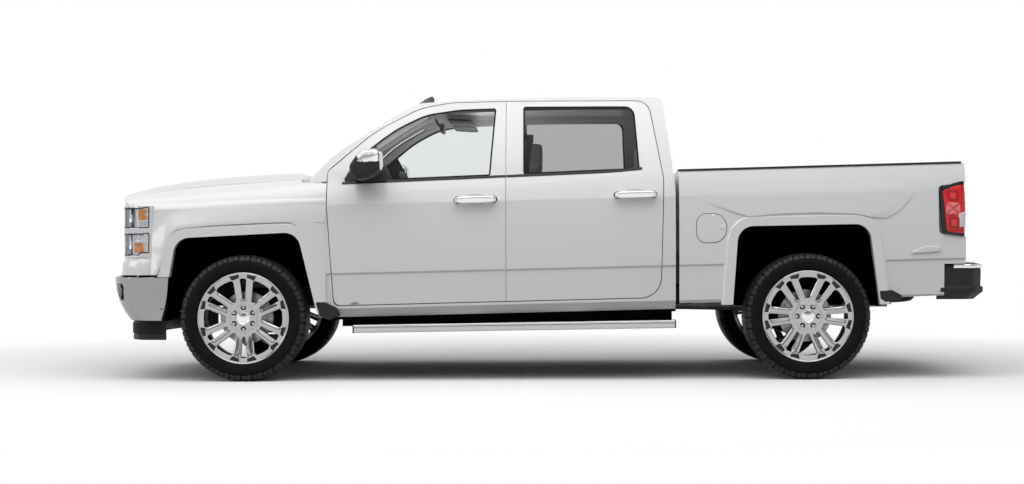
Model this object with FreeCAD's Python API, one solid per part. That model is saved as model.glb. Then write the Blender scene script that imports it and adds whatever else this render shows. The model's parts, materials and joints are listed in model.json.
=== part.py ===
import FreeCAD
import Part
import math
import os
from functools import lru_cache

# A full-size crew-cab pickup truck with a short cargo bed, modelled in millimetres.
# It faces -X, its left side is towards -Y, and +Z is up from the ground at the origin,
# which lies midway along the overall length.

V = FreeCAD.Vector

# Driving dimensions of the whole vehicle
overall_length = 5843.0
wheelbase = 3645.0
front_overhang = 985.0
flare_half_width = 1016.0
door_half_width = 1006.0
front_track = 1745.0
rear_track = 1717.0
tyre_diameter = 815.0
tyre_width = 285.0
roof_height = 1886.0
shut_gap = 7.0
overrun = 400.0
piece_gap = 4.0
seat_gap = 0.3

# Stations along the vehicle
nose_x = -overall_length / 2
tail_x = overall_length / 2
front_axle_x = nose_x + front_overhang
rear_axle_x = front_axle_x + wheelbase
axle_z = tyre_diameter / 2
door_front_from_axle = 543.0
door_front_x = front_axle_x + door_front_from_axle
door_split_from_axle = 1696.0
door_split_x = front_axle_x + door_split_from_axle
door_rear_from_axle = 2712.0
door_rear_x = front_axle_x + door_rear_from_axle
firewall_from_axle = 380.0
firewall_x = front_axle_x + firewall_from_axle
cab_back_from_axle = 2790.0
cab_back_x = front_axle_x + cab_back_from_axle
cab_bed_gap = 24.0
bed_front_x = cab_back_x + cab_bed_gap
bed_length = 1846.0
bed_back_x = bed_front_x + bed_length

# Body lines, as heights above the origin, with the rise towards the tail
rake_share = 0.021
belt_rise_share = 0.040
rail_rise_share = 0.0246
sill_z = 438.0
crease_z = 712.0
waist_z = 1165.0
belt_z = 1330.0
bed_rail_z = 1327.0
fender_crease_z = 1212.0

# Thicknesses of walls
door_thickness = 118.0
frame_thickness = 46.0
roof_thickness = 44.0
panel_thickness = 30.0
glass_thickness = 5.0
glass_inset = 13.0


def raked(height, x, rise=rake_share):
    """A body line's height at station x."""
    return height + rise * x


def box(x0, x1, y0, y1, z0, z1):
    return Part.makeBox(x1 - x0, y1 - y0, z1 - z0, V(x0, y0, z0))


def cylinder(centre, direction, radius, length):
    """A cylinder whose middle is at centre."""
    axis = V(*direction).normalize()
    return Part.makeCylinder(radius, length, V(*centre) - axis * (length / 2), axis)


def mirrored(shape):
    """The same shape on the other side of the vehicle."""
    return shape.mirror(V(0, 0, 0), V(0, 1, 0))


def both(shape):
    return [shape, mirrored(shape)]


def fused(shapes):
    """One shape from several that touch or overlap."""
    return shapes[0].multiFuse(shapes[1:]).removeSplitter()


def in_side_view(y):
    return lambda p: V(p[0], y, p[1])


def in_cross_section(x):
    return lambda p: V(x, p[0], p[1])


def in_plan(z):
    return lambda p: V(p[0], p[1], z)


def rounded_wire(points, radii, place):
    """A closed wire through points, each corner rounded by its radius, zero for a sharp one."""
    count = len(points)
    starts, ends, middles = [], [], []
    for i, (point, radius) in enumerate(zip(points, radii)):
        corner = V(point[0], point[1], 0)
        before = V(*points[i - 1], 0) - corner
        after = V(*points[(i + 1) % count], 0) - corner
        if radius <= 0:
            starts.append(corner)
            ends.append(corner)
            middles.append(None)
            continue
        half = before.getAngle(after) / 2
        reach = radius / math.tan(half)
        towards = (before.normalize() + after.normalize()).normalize()
        starts.append(corner + before * reach)
        ends.append(corner + after * reach)
        middles.append(corner + towards * (radius / math.sin(half) - radius))
    edges = []
    for i in range(count):
        if middles[i] is not None:
            arc = Part.Arc(*[place((q.x, q.y)) for q in (starts[i], middles[i], ends[i])])
            edges.append(arc.toShape())
        leave, arrive = ends[i], starts[(i + 1) % count]
        if leave.distanceToPoint(arrive) > 1e-6:
            edges.append(Part.makeLine(place((leave.x, leave.y)), place((arrive.x, arrive.y))))
    return Part.Wire(edges)


def side_prism(points, radii, y0, y1):
    """A prism across the vehicle, from an outline of (x, z) points."""
    wire = rounded_wire(points, radii, in_side_view(y0))
    return Part.Face(wire).extrude(V(0, y1 - y0, 0))


def plan_prism(points, radii, z0, z1):
    """An upright prism, from an outline of (x, y) points."""
    wire = rounded_wire(points, radii, in_plan(z0))
    return Part.Face(wire).extrude(V(0, 0, z1 - z0))


def length_prism(points, radii, x0, x1):
    """A prism along the vehicle, from an outline of (y, z) points."""
    wire = rounded_wire(points, radii, in_cross_section(x0))
    return Part.Face(wire).extrude(V(x1 - x0, 0, 0))


def closed_section(start, legs, crown, x):
    """A closed wire across the vehicle at x, from the left half's legs, bottom to top.

    Each leg is a tuple of (y, z) points: one for a line to it, two for an arc through the
    first to the second. The crown is a point on the arc over the top, or None for a flat top.
    """
    place = in_cross_section(x)
    left, here = [], start
    for leg in legs:
        left.append((here, *leg))
        here = leg[-1]

    def edge(points):
        at = [place(p) for p in points]
        return Part.makeLine(*at) if len(at) == 2 else Part.Arc(*at).toShape()

    def flip(p):
        return (-p[0], p[1])

    edges = [edge(points) for points in left]
    edges.append(edge((here, flip(here)) if crown is None else (here, crown, flip(here))))
    edges += [edge([flip(p) for p in reversed(points)]) for points in reversed(left)]
    edges.append(edge((flip(start), start)))
    return Part.Wire(edges)


def arc_points(points, place):
    return Part.Arc(*[place(p) for p in points]).toShape()


def loft(wires, ruled=False):
    return Part.makeLoft(wires, True, ruled)


# Cross-section of the lower body
rocker_tuck = 62.0
rocker_height = 58.0
rocker_step = 20.0
crease_step = 9.0
crease_drop = 14.0
side_bulge = 4.0
shoulder_fall = 62.0
shoulder_bulge = 2.0


def lower_legs(x, w, top_y, top_z, bulge=shoulder_bulge):
    """The left half's legs from the rocker to the belt or the rail: its start, and the legs."""
    sill, crease, waist = (raked(z, x) for z in (sill_z, crease_z, waist_z))
    start = (-(w - rocker_tuck), sill)
    legs = [
        ((-(w - rocker_step), sill + rocker_height),),
        ((-(w - crease_step), crease),),
        ((-w, crease + crease_drop),),
        ((-(w + side_bulge / 2), (crease + waist) / 2), (-(w - side_bulge), waist)),
        ((-((w + top_y) / 2 + bulge), (waist + top_z) / 2), (-top_y, top_z)),
    ]
    return start, legs


# Cross-section of the greenhouse
belt_half_width = door_half_width - shoulder_fall
rail_half_width = 742.0
rail_drop = 92.0
roof_half_width = 628.0
roof_edge_drop = 33.0
glass_bulge = 12.0
rail_bulge = 14.0

# Stations behind the front axle, and how far the roof falls there
roof_stations = (50.0, 1100.0, 1936.0, 2400.0, 2960.0)
roof_fall = 70.0
roof_fall_shares = (1.0, 0.50, 0.04, 0.0, 0.08)


def roof_legs(belt, belt_y, top, inset):
    """Legs up the side glass and round the roof rail."""
    rail = (-(rail_half_width - inset), top - rail_drop)
    edge = (-(roof_half_width - inset), top - roof_edge_drop)
    middle = (-((belt_y - rail[0]) / 2 + glass_bulge), (belt + rail[1]) / 2)
    corner = (
        (rail[0] + edge[0]) / 2 - rail_bulge,
        (rail[1] + edge[1]) / 2 + rail_bulge,
    )
    return [(middle, rail), (corner, edge)]


def cab_loft(inset):
    """The cab's outer skin, or with an inset a surface parallel to it."""
    wires = []
    for station, share in zip(roof_stations, roof_fall_shares):
        x = front_axle_x + station
        top = roof_height - roof_fall * share - inset
        belt = raked(belt_z, x, belt_rise_share)
        belt_y = belt_half_width - inset
        start, legs = lower_legs(x, door_half_width - inset, belt_y, belt)
        legs = legs + roof_legs(belt, belt_y, top, inset)
        wires.append(closed_section(start, legs, (0, top), x))
    return loft(wires)


def cabin_loft(side_inset, upper_inset, floor):
    """The space inside the cab's walls, from the floor to the roof lining."""
    wires = []
    for station, share in zip(roof_stations, roof_fall_shares):
        x = front_axle_x + station
        top = roof_height - roof_fall * share - roof_thickness
        belt = raked(belt_z, x, belt_rise_share)
        wall = door_half_width - side_inset
        legs = [((-wall, belt),)] + roof_legs(belt, wall, top, upper_inset)
        wires.append(closed_section((-wall, floor), legs, (0, top), x))
    return loft(wires)


# Windscreen: its surface as plan arcs at rising heights
screen_bulge = 92.0
screen_half_width = 800.0
screen_side_share = 0.8
screen_heights = (1280.0, 1350.0, 1450.0, 1600.0, 1750.0, 1850.0, 1920.0)
screen_from_axle = (400.0, 457.0, 554.0, 772.0, 1024.0, 1246.0, 1450.0)


def screen_block(shift):
    """Everything behind the windscreen's outer surface, moved back by shift."""
    wires = []
    wide = flare_half_width + overrun
    for z, reach in zip(screen_heights, screen_from_axle):
        x = front_axle_x + reach + shift
        place = in_plan(z)
        left, crown, right = (x, -screen_half_width), (x - screen_bulge, 0), (x, screen_half_width)
        side = x + screen_side_share * (wide - screen_half_width)
        far = tail_x + overrun
        corners = [right, (side, wide), (far, wide), (far, -wide), (side, -wide), left]
        lines = [Part.makeLine(place(a), place(b)) for a, b in zip(corners, corners[1:])]
        wires.append(Part.Wire([arc_points((left, crown, right), place)] + lines))
    return loft(wires)


# Back of the cab
cab_back_lean = 62.0
cab_back_top_z = 1800.0
cab_back_knee_z = 1250.0
cab_back_knee_radius = 900.0


def cab_back_block(shift):
    """Everything ahead of the cab's back wall, moved forward by shift."""
    x = cab_back_x - shift
    top = x - cab_back_lean
    points = [
        (nose_x, 0),
        (x, 0),
        (x, cab_back_knee_z),
        (top, cab_back_top_z),
        (top - cab_back_lean, roof_height + roof_fall),
        (nose_x, roof_height + roof_fall),
    ]
    radii = [0, 0, cab_back_knee_radius, 0, 0, 0]
    return side_prism(points, radii, -flare_half_width, flare_half_width)


def bounded_cab(whole, screen_shift, back_shift, front_x):
    """A cab loft cut off by the windscreen, the firewall and the back wall."""
    step = screen_heights[0]
    wide = flare_half_width
    above = box(nose_x, tail_x, -wide, wide, step, roof_height + overrun)
    below = box(front_x, tail_x, -wide, wide, 0, step)
    high = whole.common(above).common(screen_block(screen_shift))
    low = whole.common(below)
    return high.fuse(low).common(cab_back_block(back_shift)).removeSplitter()


# Outlines of the doors and their windows, seen from the side
door_bottom_z = 520.0
door_foot_set_back = 46.0
door_pillar_z = 1352.0
door_pillar_points = ((836.0, 1612.0), (1130.0, 1772.0), (1330.0, 1812.0))
door_head_z = 1820.0
door_back_foot_x = 22.0
door_back_shoulder_z = 1300.0
door_back_lean = 86.0
door_foot_radius = 40.0
door_tail_radius = 130.0
door_head_radius = 90.0
pillar_radius = 900.0
header_radius = 420.0
door_shoulder_radius = 300.0
rebate_depth = 15.0
rebate_width = 24.0
door_inner_y = 690.0
window_belt_rise = 6.0


def front_door_outline(grow):
    """The front door's outline, grown outwards on every side."""
    front, back = door_front_x - grow, door_split_x - shut_gap / 2 + grow
    foot = door_bottom_z - grow
    pillar = [(front_axle_x + x - grow / 2, z + grow) for x, z in door_pillar_points]
    points = [
        (front + door_foot_set_back, raked(foot, front)),
        (front, waist_z),
        (front, door_pillar_z + grow),
        *pillar,
        (back, door_head_z + grow),
        (back, raked(foot, back)),
    ]
    radii = [
        door_foot_radius,
        pillar_radius,
        door_foot_radius + grow,
        pillar_radius,
        header_radius,
        header_radius,
        0,
        0,
    ]
    return points, radii


def rear_door_outline(grow):
    """The rear door's outline, grown outwards on every side."""
    front, back = door_split_x + shut_gap / 2 - grow, door_rear_x + grow
    foot = door_bottom_z - grow
    points = [
        (front, raked(foot, front)),
        (front, door_head_z + grow),
        (back - door_back_lean, door_head_z + grow),
        (back, door_back_shoulder_z),
        (back - door_back_foot_x, raked(foot, back)),
    ]
    radii = [0, 0, door_head_radius + grow, door_shoulder_radius, door_tail_radius + grow]
    return points, radii


window_pillar_points = ((730.0, 1446.0), (978.0, 1641.0), (1170.0, 1735.0), (1390.0, 1768.0))
window_nose_from_axle = 636.0
window_back_gap = 100.0
window_back_lean = 37.0
window_head_z = 1776.0
window_radius = 16.0
rear_window_front_gap = 112.0
rear_window_back_gap = 148.0
rear_window_lean = 52.0
rear_window_head_z = 1786.0
rear_window_radius = 66.0


def front_window_outline(grow):
    nose = front_axle_x + window_nose_from_axle - grow
    back = door_split_x - window_back_gap + grow
    pillar = [(front_axle_x + x - grow / 2, z + grow) for x, z in window_pillar_points]
    sill = window_belt_rise - grow
    points = [
        (nose, raked(belt_z, nose, belt_rise_share) + sill),
        *pillar,
        (back + window_back_lean, window_head_z + grow),
        (back, raked(belt_z, back, belt_rise_share) + sill),
    ]
    radii = [window_radius, door_shoulder_radius, pillar_radius, header_radius, header_radius]
    return points, radii + [window_radius, window_radius]


def rear_window_outline(grow):
    front = door_split_x + rear_window_front_gap - grow
    back = door_rear_x - rear_window_back_gap + grow
    sill = window_belt_rise - grow
    points = [
        (front, raked(belt_z, front, belt_rise_share) + sill),
        (front, rear_window_head_z + grow),
        (back - rear_window_lean / 2, rear_window_head_z + grow),
        (back, raked(belt_z, back, belt_rise_share) + sill),
    ]
    return points, [window_radius, window_radius, rear_window_radius, window_radius]


def left_prism(outline, inner_y=door_inner_y):
    """A prism through the left wall."""
    return side_prism(*outline, -(flare_half_width + overrun), -inner_y)


# Windscreen and back window openings, seen along the vehicle
screen_foot_z = 1345.0
screen_head_z = 1812.0
screen_foot_half = 748.0
screen_head_half = 596.0
screen_radius = 60.0
back_glass_foot_z = 1372.0
back_glass_head_z = 1760.0
back_glass_foot_half = 690.0
back_glass_head_half = 600.0
back_glass_radius = 70.0


def glass_outline(foot_half, head_half, foot, head, radius, grow):
    points = [
        (-foot_half - grow, foot - grow),
        (foot_half + grow, foot - grow),
        (head_half + grow, head + grow),
        (-head_half - grow, head + grow),
    ]
    return points, [radius] * len(points)


def screen_opening(grow):
    outline = glass_outline(
        screen_foot_half, screen_head_half, screen_foot_z, screen_head_z, screen_radius, grow
    )
    return length_prism(*outline, nose_x, front_axle_x + firewall_from_axle + wheelbase / 3)


def back_glass_opening(grow):
    outline = glass_outline(
        back_glass_foot_half,
        back_glass_head_half,
        back_glass_foot_z,
        back_glass_head_z,
        back_glass_radius,
        grow,
    )
    return length_prism(*outline, door_rear_x - door_back_lean, tail_x)


# Nose: the fenders and hood in one form, from stations behind the nose tip
nose_stations = (0.0, 304.0, 640.0, 1065.0, 1528.0)
nose_half_widths = (905.0, 958.0, 986.0, 1000.0, 1006.0)
hood_tops = (1172.0, 1274.0, 1327.0, 1361.0, 1376.0)
crest_insets = (40.0, 40.0, 36.0, 26.0, 17.0)
upper_insets = (78.0, 84.0, 80.0, 74.0, 62.0)
upper_rises = (34.0, 44.0, 56.0, 74.0, 92.0)
hood_half_width = 862.0
hood_edge_drop = 72.0
dome_half_width = 560.0
dome_drop = 12.0
dome_slope = 58.0
dome_fall = 16.0
crest_bulge = 3.0
upper_bulge = 6.0


def nose_loft(inset):
    """The nose's outer skin, or with an inset a surface parallel to it."""
    wires = []
    rows = zip(nose_stations, nose_half_widths, hood_tops, crest_insets, upper_insets, upper_rises)
    for station, w, top, crest_inset, upper_inset, upper_rise in rows:
        x = nose_x + station
        w, top = w - inset, top - inset
        crest = raked(fender_crease_z, x) - inset / 2
        crest_y, upper_y = w - crest_inset, w - upper_inset
        upper_z = crest + upper_rise
        start, legs = lower_legs(x, w, crest_y, crest, crest_bulge)
        edge = (-min(hood_half_width - inset, upper_y - inset), top - hood_edge_drop)
        shoulder = (-((crest_y + upper_y) / 2 + upper_bulge), (crest + upper_z) / 2)
        dome = dome_half_width - inset
        legs = legs + [
            (shoulder, (-upper_y, upper_z)),
            (edge,),
            ((-(dome + dome_slope), top - dome_drop - dome_fall),),
            ((-dome, top - dome_drop),),
        ]
        wires.append(closed_section(start, legs, (0, top), x))
    return loft(wires)


# The front of the nose in plan, above the bumper
nose_face_set_back = 72.0
nose_face_half = 800.0
nose_face_bulge = 121.0
nose_corner_half = 945.0
nose_corner_set_back = 215.0
nose_corner_bulge = 26.0


def nose_face_block(shift):
    """Everything behind the curved front of the nose, moved back by shift."""
    x = nose_x + nose_face_set_back + shift
    wide = flare_half_width
    face = (x + nose_face_bulge, nose_face_half - shift)
    corner = (x + nose_corner_set_back, nose_corner_half - shift)
    side = (corner[0] + wide, wide + wide)
    middle = (
        (face[0] + corner[0]) / 2 - nose_corner_bulge,
        (face[1] + corner[1]) / 2 + nose_corner_bulge,
    )
    far = door_front_x + overrun + overrun
    place = in_plan(0)

    def flip(p):
        return (p[0], -p[1])

    around = [corner, side, (far, side[1]), (far, -side[1]), flip(side), flip(corner)]
    lines = [Part.makeLine(place(a), place(b)) for a, b in zip(around, around[1:])]
    front = arc_points((flip(face), (x, 0), face), place)
    right = arc_points((face, middle, corner), place)
    left = arc_points((flip(corner), flip(middle), flip(face)), place)
    return Part.Face(Part.Wire([front, right] + lines + [left])).extrude(V(0, 0, roof_height))


@lru_cache
def nose_solid(inset):
    return nose_loft(inset).common(nose_face_block(inset))


# Hood
hood_thickness = 38.0
hood_front_z = 1146.0
hood_back_from_axle = 365.0
hood_back_bulge = 92.0
cowl_gap = 12.0
cowl_side_z = 1286.0


def hood_plan_block(shift, half_width, z0, z1):
    """An upright block under the hood's outline, its back edge moved by shift."""
    x = front_axle_x + hood_back_from_axle + shift
    place = in_plan(z0)
    corner = (x, half_width)
    back = arc_points((corner, (x - hood_back_bulge, 0), (x, -half_width)), place)
    around = [(x, -half_width), (nose_x, -half_width), (nose_x, half_width), corner]
    lines = [Part.makeLine(place(a), place(b)) for a, b in zip(around, around[1:])]
    return Part.Face(Part.Wire([back] + lines)).extrude(V(0, 0, z1 - z0))


# Hood hinges, on one axis behind the hood's back edge
hinge_set_back = 6.5
hinge_x = front_axle_x + hood_back_from_axle + hinge_set_back
hinge_z = 1300.0
hinge_half = 730.0
hinge_leaf = 12.0
hinge_leaf_height = 26.0
hinge_leaf_length = 96.0
hinge_pin_radius = 8.0


def hood_hinge():
    """The left leaf under the hood, with its pin."""
    y = -hinge_half
    h = hinge_leaf_height / 2
    leaf = box(hinge_x - hinge_leaf_length, hinge_x + h, y - hinge_leaf, y, hinge_z - h, hinge_z + h)
    pin = cylinder((hinge_x, y - hinge_leaf, hinge_z), (0, 1, 0), hinge_pin_radius, hinge_leaf * 4)
    return fused([leaf, pin.common(box(nose_x, tail_x, y - hinge_leaf * 3, y, 0, roof_height))])


def hood_lug():
    """The left lug on the cowl, with the bore for the hood's pin."""
    y = -hinge_half - hinge_leaf - piece_gap
    h = hinge_leaf_height / 2
    foot = screen_heights[0] - hood_thickness
    lug = box(hinge_x - h, firewall_x + h, y - hinge_leaf, y, foot, hinge_z + h)
    bore = cylinder((hinge_x, y, hinge_z), (0, 1, 0), hinge_pin_radius + seat_gap, overrun)
    return lug.cut(bore)


def hood():
    shell = nose_solid(0).cut(nose_solid(hood_thickness))
    half = hood_half_width - shut_gap / 2
    panel = shell.common(hood_plan_block(0, half, hood_front_z, roof_height))
    return fused([panel] + both(hood_hinge()))


# Wheel arches, as reaches from the axle and heights
front_arch = {
    "foot_front": 516.0,
    "top_front": 428.0,
    "top_back": 352.0,
    "foot_back": 480.0,
    "foot_z": 430.0,
    "front_z": 925.0,
    "back_z": 962.0,
    "radius": 105.0,
}
rear_arch = {
    "foot_front": 492.0,
    "top_front": 450.0,
    "top_back": 392.0,
    "foot_back": 462.0,
    "foot_z": 440.0,
    "front_z": 990.0,
    "back_z": 1003.0,
    "radius": 105.0,
}
flare_width = 72.0
flare_depth = 46.0
flare_bevel = 16.0
flare_foot_z = 440.0
flare_rear_rise = 45.0


def arch_outline(axle_x, arch, grow):
    """A wheel arch's outline, grown outwards, running below the body."""
    front, back = axle_x - grow, axle_x + grow
    lean_share = (arch["foot_front"] - arch["top_front"]) / (arch["front_z"] - arch["foot_z"])
    back_share = (arch["foot_back"] - arch["top_back"]) / (arch["back_z"] - arch["foot_z"])
    foot = arch["foot_z"]
    points = [
        (front - arch["foot_front"] - lean_share * foot, 0),
        (front - arch["top_front"], arch["front_z"] + grow),
        (back + arch["top_back"], arch["back_z"] + grow),
        (back + arch["foot_back"] + back_share * foot, 0),
    ]
    radius = arch["radius"] + grow
    return points, [0, radius, radius, 0]


def arch_space(axle_x, arch, grow, inner_y):
    outer_y = flare_half_width + overrun
    return side_prism(*arch_outline(axle_x, arch, grow), -outer_y, -inner_y)


def flare(axle_x, arch, foot_z):
    """The raised band round a wheel arch, down to foot_z, before the arch is cut."""
    outer = -flare_half_width
    bevel_y = outer + flare_bevel
    far = arch_outline(axle_x, arch, flare_width)
    near = arch_outline(axle_x, arch, flare_width - flare_bevel)
    band = side_prism(*far, bevel_y, outer + flare_depth)
    wires = [rounded_wire(*near, in_side_view(outer)), rounded_wire(*far, in_side_view(bevel_y))]
    above = box(nose_x, tail_x, -flare_half_width, 0, foot_z, roof_height)
    return band.fuse(loft(wires, True)).common(above)


# The pieces of the nose meet along these lines
lamp_back_z = 1138.0
lamp_foot_z = 798.0
lamp_inner_half = 640.0
lamp_reach = 343.0
lamp_back_x = nose_x + lamp_reach
lamp_depth = 96.0
lamp_frame = 16.0
lamp_bar = 36.0
lamp_bowl_depth = 42.0
projector_half = 745.0
projector_radius = 46.0
projector_set_back = 18.0
fascia_foot_z = 675.3
fascia_reach = 352.0
fascia_back_x = nose_x + fascia_reach
fender_foot_front_z = 675.3


def lamp_region(grow):
    """The left headlamp's outline, seen from the side."""
    points = [
        (nose_x, lamp_foot_z - grow),
        (lamp_back_x + grow, lamp_foot_z - grow),
        (lamp_back_x - flare_width + grow, lamp_back_z + grow),
        (nose_x, lamp_back_z + grow),
    ]
    radius = flare_bevel
    return side_prism(points, [0, radius, radius, 0], -flare_half_width, -lamp_inner_half + grow)


def headlamps():
    """The stacked headlamps: in each body two bowls behind a frame, each with its projector."""
    body = nose_solid(0).cut(nose_solid(lamp_depth)).common(lamp_region(0))
    middle = (lamp_foot_z + lamp_back_z) / 2
    wide = flare_half_width
    for z0, z1 in (
        (lamp_foot_z + lamp_frame, middle - lamp_bar / 2),
        (middle + lamp_bar / 2, lamp_back_z - lamp_frame),
    ):
        mouth = box(nose_x, lamp_back_x - flare_width - lamp_frame, -wide, -lamp_inner_half - lamp_frame, z0, z1)
        bowl = nose_solid(0).cut(nose_solid(lamp_bowl_depth)).common(mouth)
        body = body.cut(bowl)
        projector = cylinder(
            (nose_x + lamp_reach / 2, -projector_half, (z0 + z1) / 2), (1, 0, 0), projector_radius, lamp_reach,
        )
        body = body.fuse(projector.common(nose_solid(projector_set_back)).cut(nose_solid(lamp_depth / 2)))
    return Part.makeCompound(both(body.removeSplitter()))


def nose_panel():
    """The body-coloured strip under the lamps and the grille."""
    shell = nose_solid(0).cut(nose_solid(panel_thickness))
    wide = flare_half_width + overrun
    strip = box(nose_x, fascia_back_x, -wide, wide, fascia_foot_z, lamp_foot_z - seat_gap)
    return shell.common(strip)


def fender():
    """The left front fender, its wheel arch flare standing proud of it."""
    outer = nose_solid(0)
    inner = nose_solid(panel_thickness)
    side = outer.fuse(flare(front_axle_x, front_arch, flare_foot_z)).cut(inner)
    front_x, back_x = nose_x, door_front_x - shut_gap
    wide = flare_half_width + overrun
    piece = side.common(box(front_x, back_x, -wide, -lamp_inner_half, 0, roof_height))
    piece = piece.cut(arch_space(front_axle_x, front_arch, 0, lamp_inner_half))
    half = hood_half_width + shut_gap / 2
    piece = piece.cut(hood_plan_block(overrun, half, hood_front_z - overrun / 2, roof_height))
    piece = piece.cut(lamp_region(piece_gap))
    below_lamp = box(nose_x, fascia_back_x + piece_gap, -wide, 0, 0, lamp_foot_z)
    over_bumper = box(nose_x, front_axle_x, -wide, 0, 0, fender_foot_front_z)
    above_tail = box(front_axle_x + hood_back_from_axle, back_x + overrun, -wide, 0, cowl_side_z, roof_height)
    for cutter in (below_lamp, over_bumper, above_tail):
        piece = piece.cut(cutter)
    return piece.removeSplitter()


# Cab: walls, floor, firewall, pillars
cabin_floor_z = 640.0
floor_thickness = 28.0
rocker_inner_half = 872.0
firewall_thickness = 40.0
screen_wall = 60.0
back_wall = 45.0
pillar_width = 130.0
pillar_depth = 60.0
pillar_inner_half = 500.0
door_skin = 8.0
door_step = 34.0
door_edge_step = 12.0
door_hinge_width = 30.0
door_hinge_height = 50.0
door_hinge_heights = (680.0, 1040.0)


@lru_cache
def cab_outer(inset):
    return bounded_cab(cab_loft(inset), 0, 0, firewall_x)


@lru_cache
def cabin(grow, floor):
    """The space inside the walls, made smaller by grow."""
    space = cabin_loft(door_thickness + grow, frame_thickness + grow, floor)
    return bounded_cab(space, screen_wall, back_wall, firewall_x + firewall_thickness)


def cab_shell():
    shell = cab_outer(0).cut(cabin(0, cabin_floor_z))
    under = cabin_floor_z - floor_thickness
    wide = flare_half_width + overrun
    front, back = nose_x, tail_x
    shell = shell.cut(box(front, back, -rocker_inner_half, rocker_inner_half, 0, under))
    cowl = box(front, door_front_x - shut_gap, -wide, wide, 0, cowl_side_z + piece_gap)
    shell = shell.cut(cowl.cut(nose_loft(panel_thickness + seat_gap)))
    hood_room = hood_plan_block(cowl_gap, hood_half_width + cowl_gap, under, roof_height)
    shell = shell.cut(hood_room.cut(nose_loft(hood_thickness + cowl_gap)))
    space = cabin_loft(door_thickness + shut_gap, frame_thickness + shut_gap, 0)
    for outline in (front_door_outline(shut_gap), rear_door_outline(shut_gap)):
        opening = left_prism(outline, door_inner_y - shut_gap).cut(space)
        shell = shell.cut(opening).cut(mirrored(opening))
    shell = shell.cut(screen_opening(0)).cut(back_glass_opening(0))
    for space in both(arch_space(front_axle_x, front_arch, liner_thickness + seat_gap, liner_inner_half)):
        shell = shell.cut(space)
    inner = cabin_loft(door_thickness + shut_gap, frame_thickness + shut_gap, under)
    hollow_inset = shut_gap + pillar_depth
    hollow = cabin_loft(door_thickness + hollow_inset, frame_thickness + hollow_inset, under)
    x = door_split_x
    band = box(x - pillar_width / 2, x + pillar_width / 2, -wide, wide, under, roof_height)
    crown = box(nose_x, tail_x, -pillar_inner_half, pillar_inner_half, 0, roof_height)
    pillars = inner.common(band).cut(hollow).cut(crown)
    return fused([shell, pillars] + both(hood_lug()))


# Doors
handle_length = 250.0
handle_height = 34.0
handle_stand_off = 46.0
handle_thickness = 20.0
handle_post = 26.0
front_handle_set_back = 195.0
front_handle_x = door_split_x - front_handle_set_back
front_handle_z = 1168.0
rear_handle_set_back = 180.0
rear_handle_x = door_rear_x - rear_handle_set_back
rear_handle_z = 1197.0


def front_door_hinges():
    """Blocks between the front door's leaning front edge and the pillar ahead of it."""
    y = -door_half_width + door_thickness - piece_gap
    lean_share = door_foot_set_back / (waist_z - raked(door_bottom_z, door_front_x))
    blocks = []
    for z in door_hinge_heights:
        x = door_front_x + lean_share * (waist_z - z) - shut_gap + seat_gap
        blocks.append(box(x, x + door_hinge_width, y - door_hinge_width, y, z, z + door_hinge_height))
    return blocks


def rear_door_hinges():
    """Blocks between the rear door's inner face and the pillar inboard of it."""
    x = door_split_x + door_step
    y = -door_half_width + door_thickness
    return [
        box(x, x + door_hinge_width, y - shut_gap, y + shut_gap - seat_gap, z, z + door_hinge_height)
        for z in door_hinge_heights
    ]


def door(outline_of, window_of, handle_x, handle_z, hinges):
    """A left door: its skin over a smaller inner box, with the window cut and its handle."""
    outer = cab_outer(0)
    skin_room = cab_outer(door_skin)
    space = cabin(0, 0)
    skin = outer.cut(skin_room).common(left_prism(outline_of(0)))
    points, radii = outline_of(-door_edge_step)
    back = max(p[0] for p in points)
    inner_prism = side_prism(points, radii, -flare_half_width, -door_inner_y)
    inner = skin_room.cut(space).common(inner_prism)
    keep = box(nose_x, back - door_step + door_edge_step, -flare_half_width, 0, 0, roof_height)
    inner = inner.common(keep)
    body = fused([skin, inner])
    body = body.cut(left_prism(window_of(0)))
    y = -(door_half_width + handle_stand_off)
    z0, z1 = handle_z - handle_height / 2, handle_z + handle_height / 2
    x0, x1 = handle_x - handle_length / 2, handle_x + handle_length / 2
    grip = box(x0, x1, y, y + handle_thickness, z0, z1)
    posts = [
        box(a, a + handle_post, y, -(door_half_width - door_skin - crease_step), z0, z1)
        for a in (x0, x1 - handle_post)
    ]
    return fused([body, grip] + posts + hinges)


def side_glass(window_of):
    outer, inner = cab_outer(glass_inset), cab_outer(glass_inset + glass_thickness)
    return outer.cut(inner).common(left_prism(window_of(-seat_gap)))


# Mirrors on the front doors: the head's outline from the side, and how it narrows along its width
mirror_outline = (
    (-1230.0, 1384.0), (-1224.0, 1330.0), (-1172.0, 1284.0), (-1029.0, 1352.0), (-1034.0, 1486.0), (-1134.0, 1490.0),
)
mirror_radii = (30.0, 30.0, 30.0, 24.0, 16.0, 46.0)
mirror_middle = (-1124.0, 1392.0)
mirror_widths = (985.0, 1000.0, 1040.0, 1170.0, 1205.0, 1225.0)
mirror_shares = (0.74, 0.92, 1.0, 1.0, 0.92, 0.60)
mirror_inner_y = mirror_widths[0]
mirror_arm_overlap = 42.0
mirror_arm_x0 = -1240.0
mirror_arm_x1 = -1150.0
mirror_arm_z0 = 1300.0
mirror_arm_z1 = 1344.0
mirror_root_y = 800.0
sail_foot_x = -984.0
sail_foot_z = 1240.0
sail_top_x = -1093.0
sail_share = 2.2


def mirror_wire(width, share):
    """The mirror head's outline at a distance from the middle plane, drawn in by a share."""
    points = [tuple(m + (p - m) * share for p, m in zip(point, mirror_middle)) for point in mirror_outline]
    return rounded_wire(points, [radius * share for radius in mirror_radii], in_side_view(-width))


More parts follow.
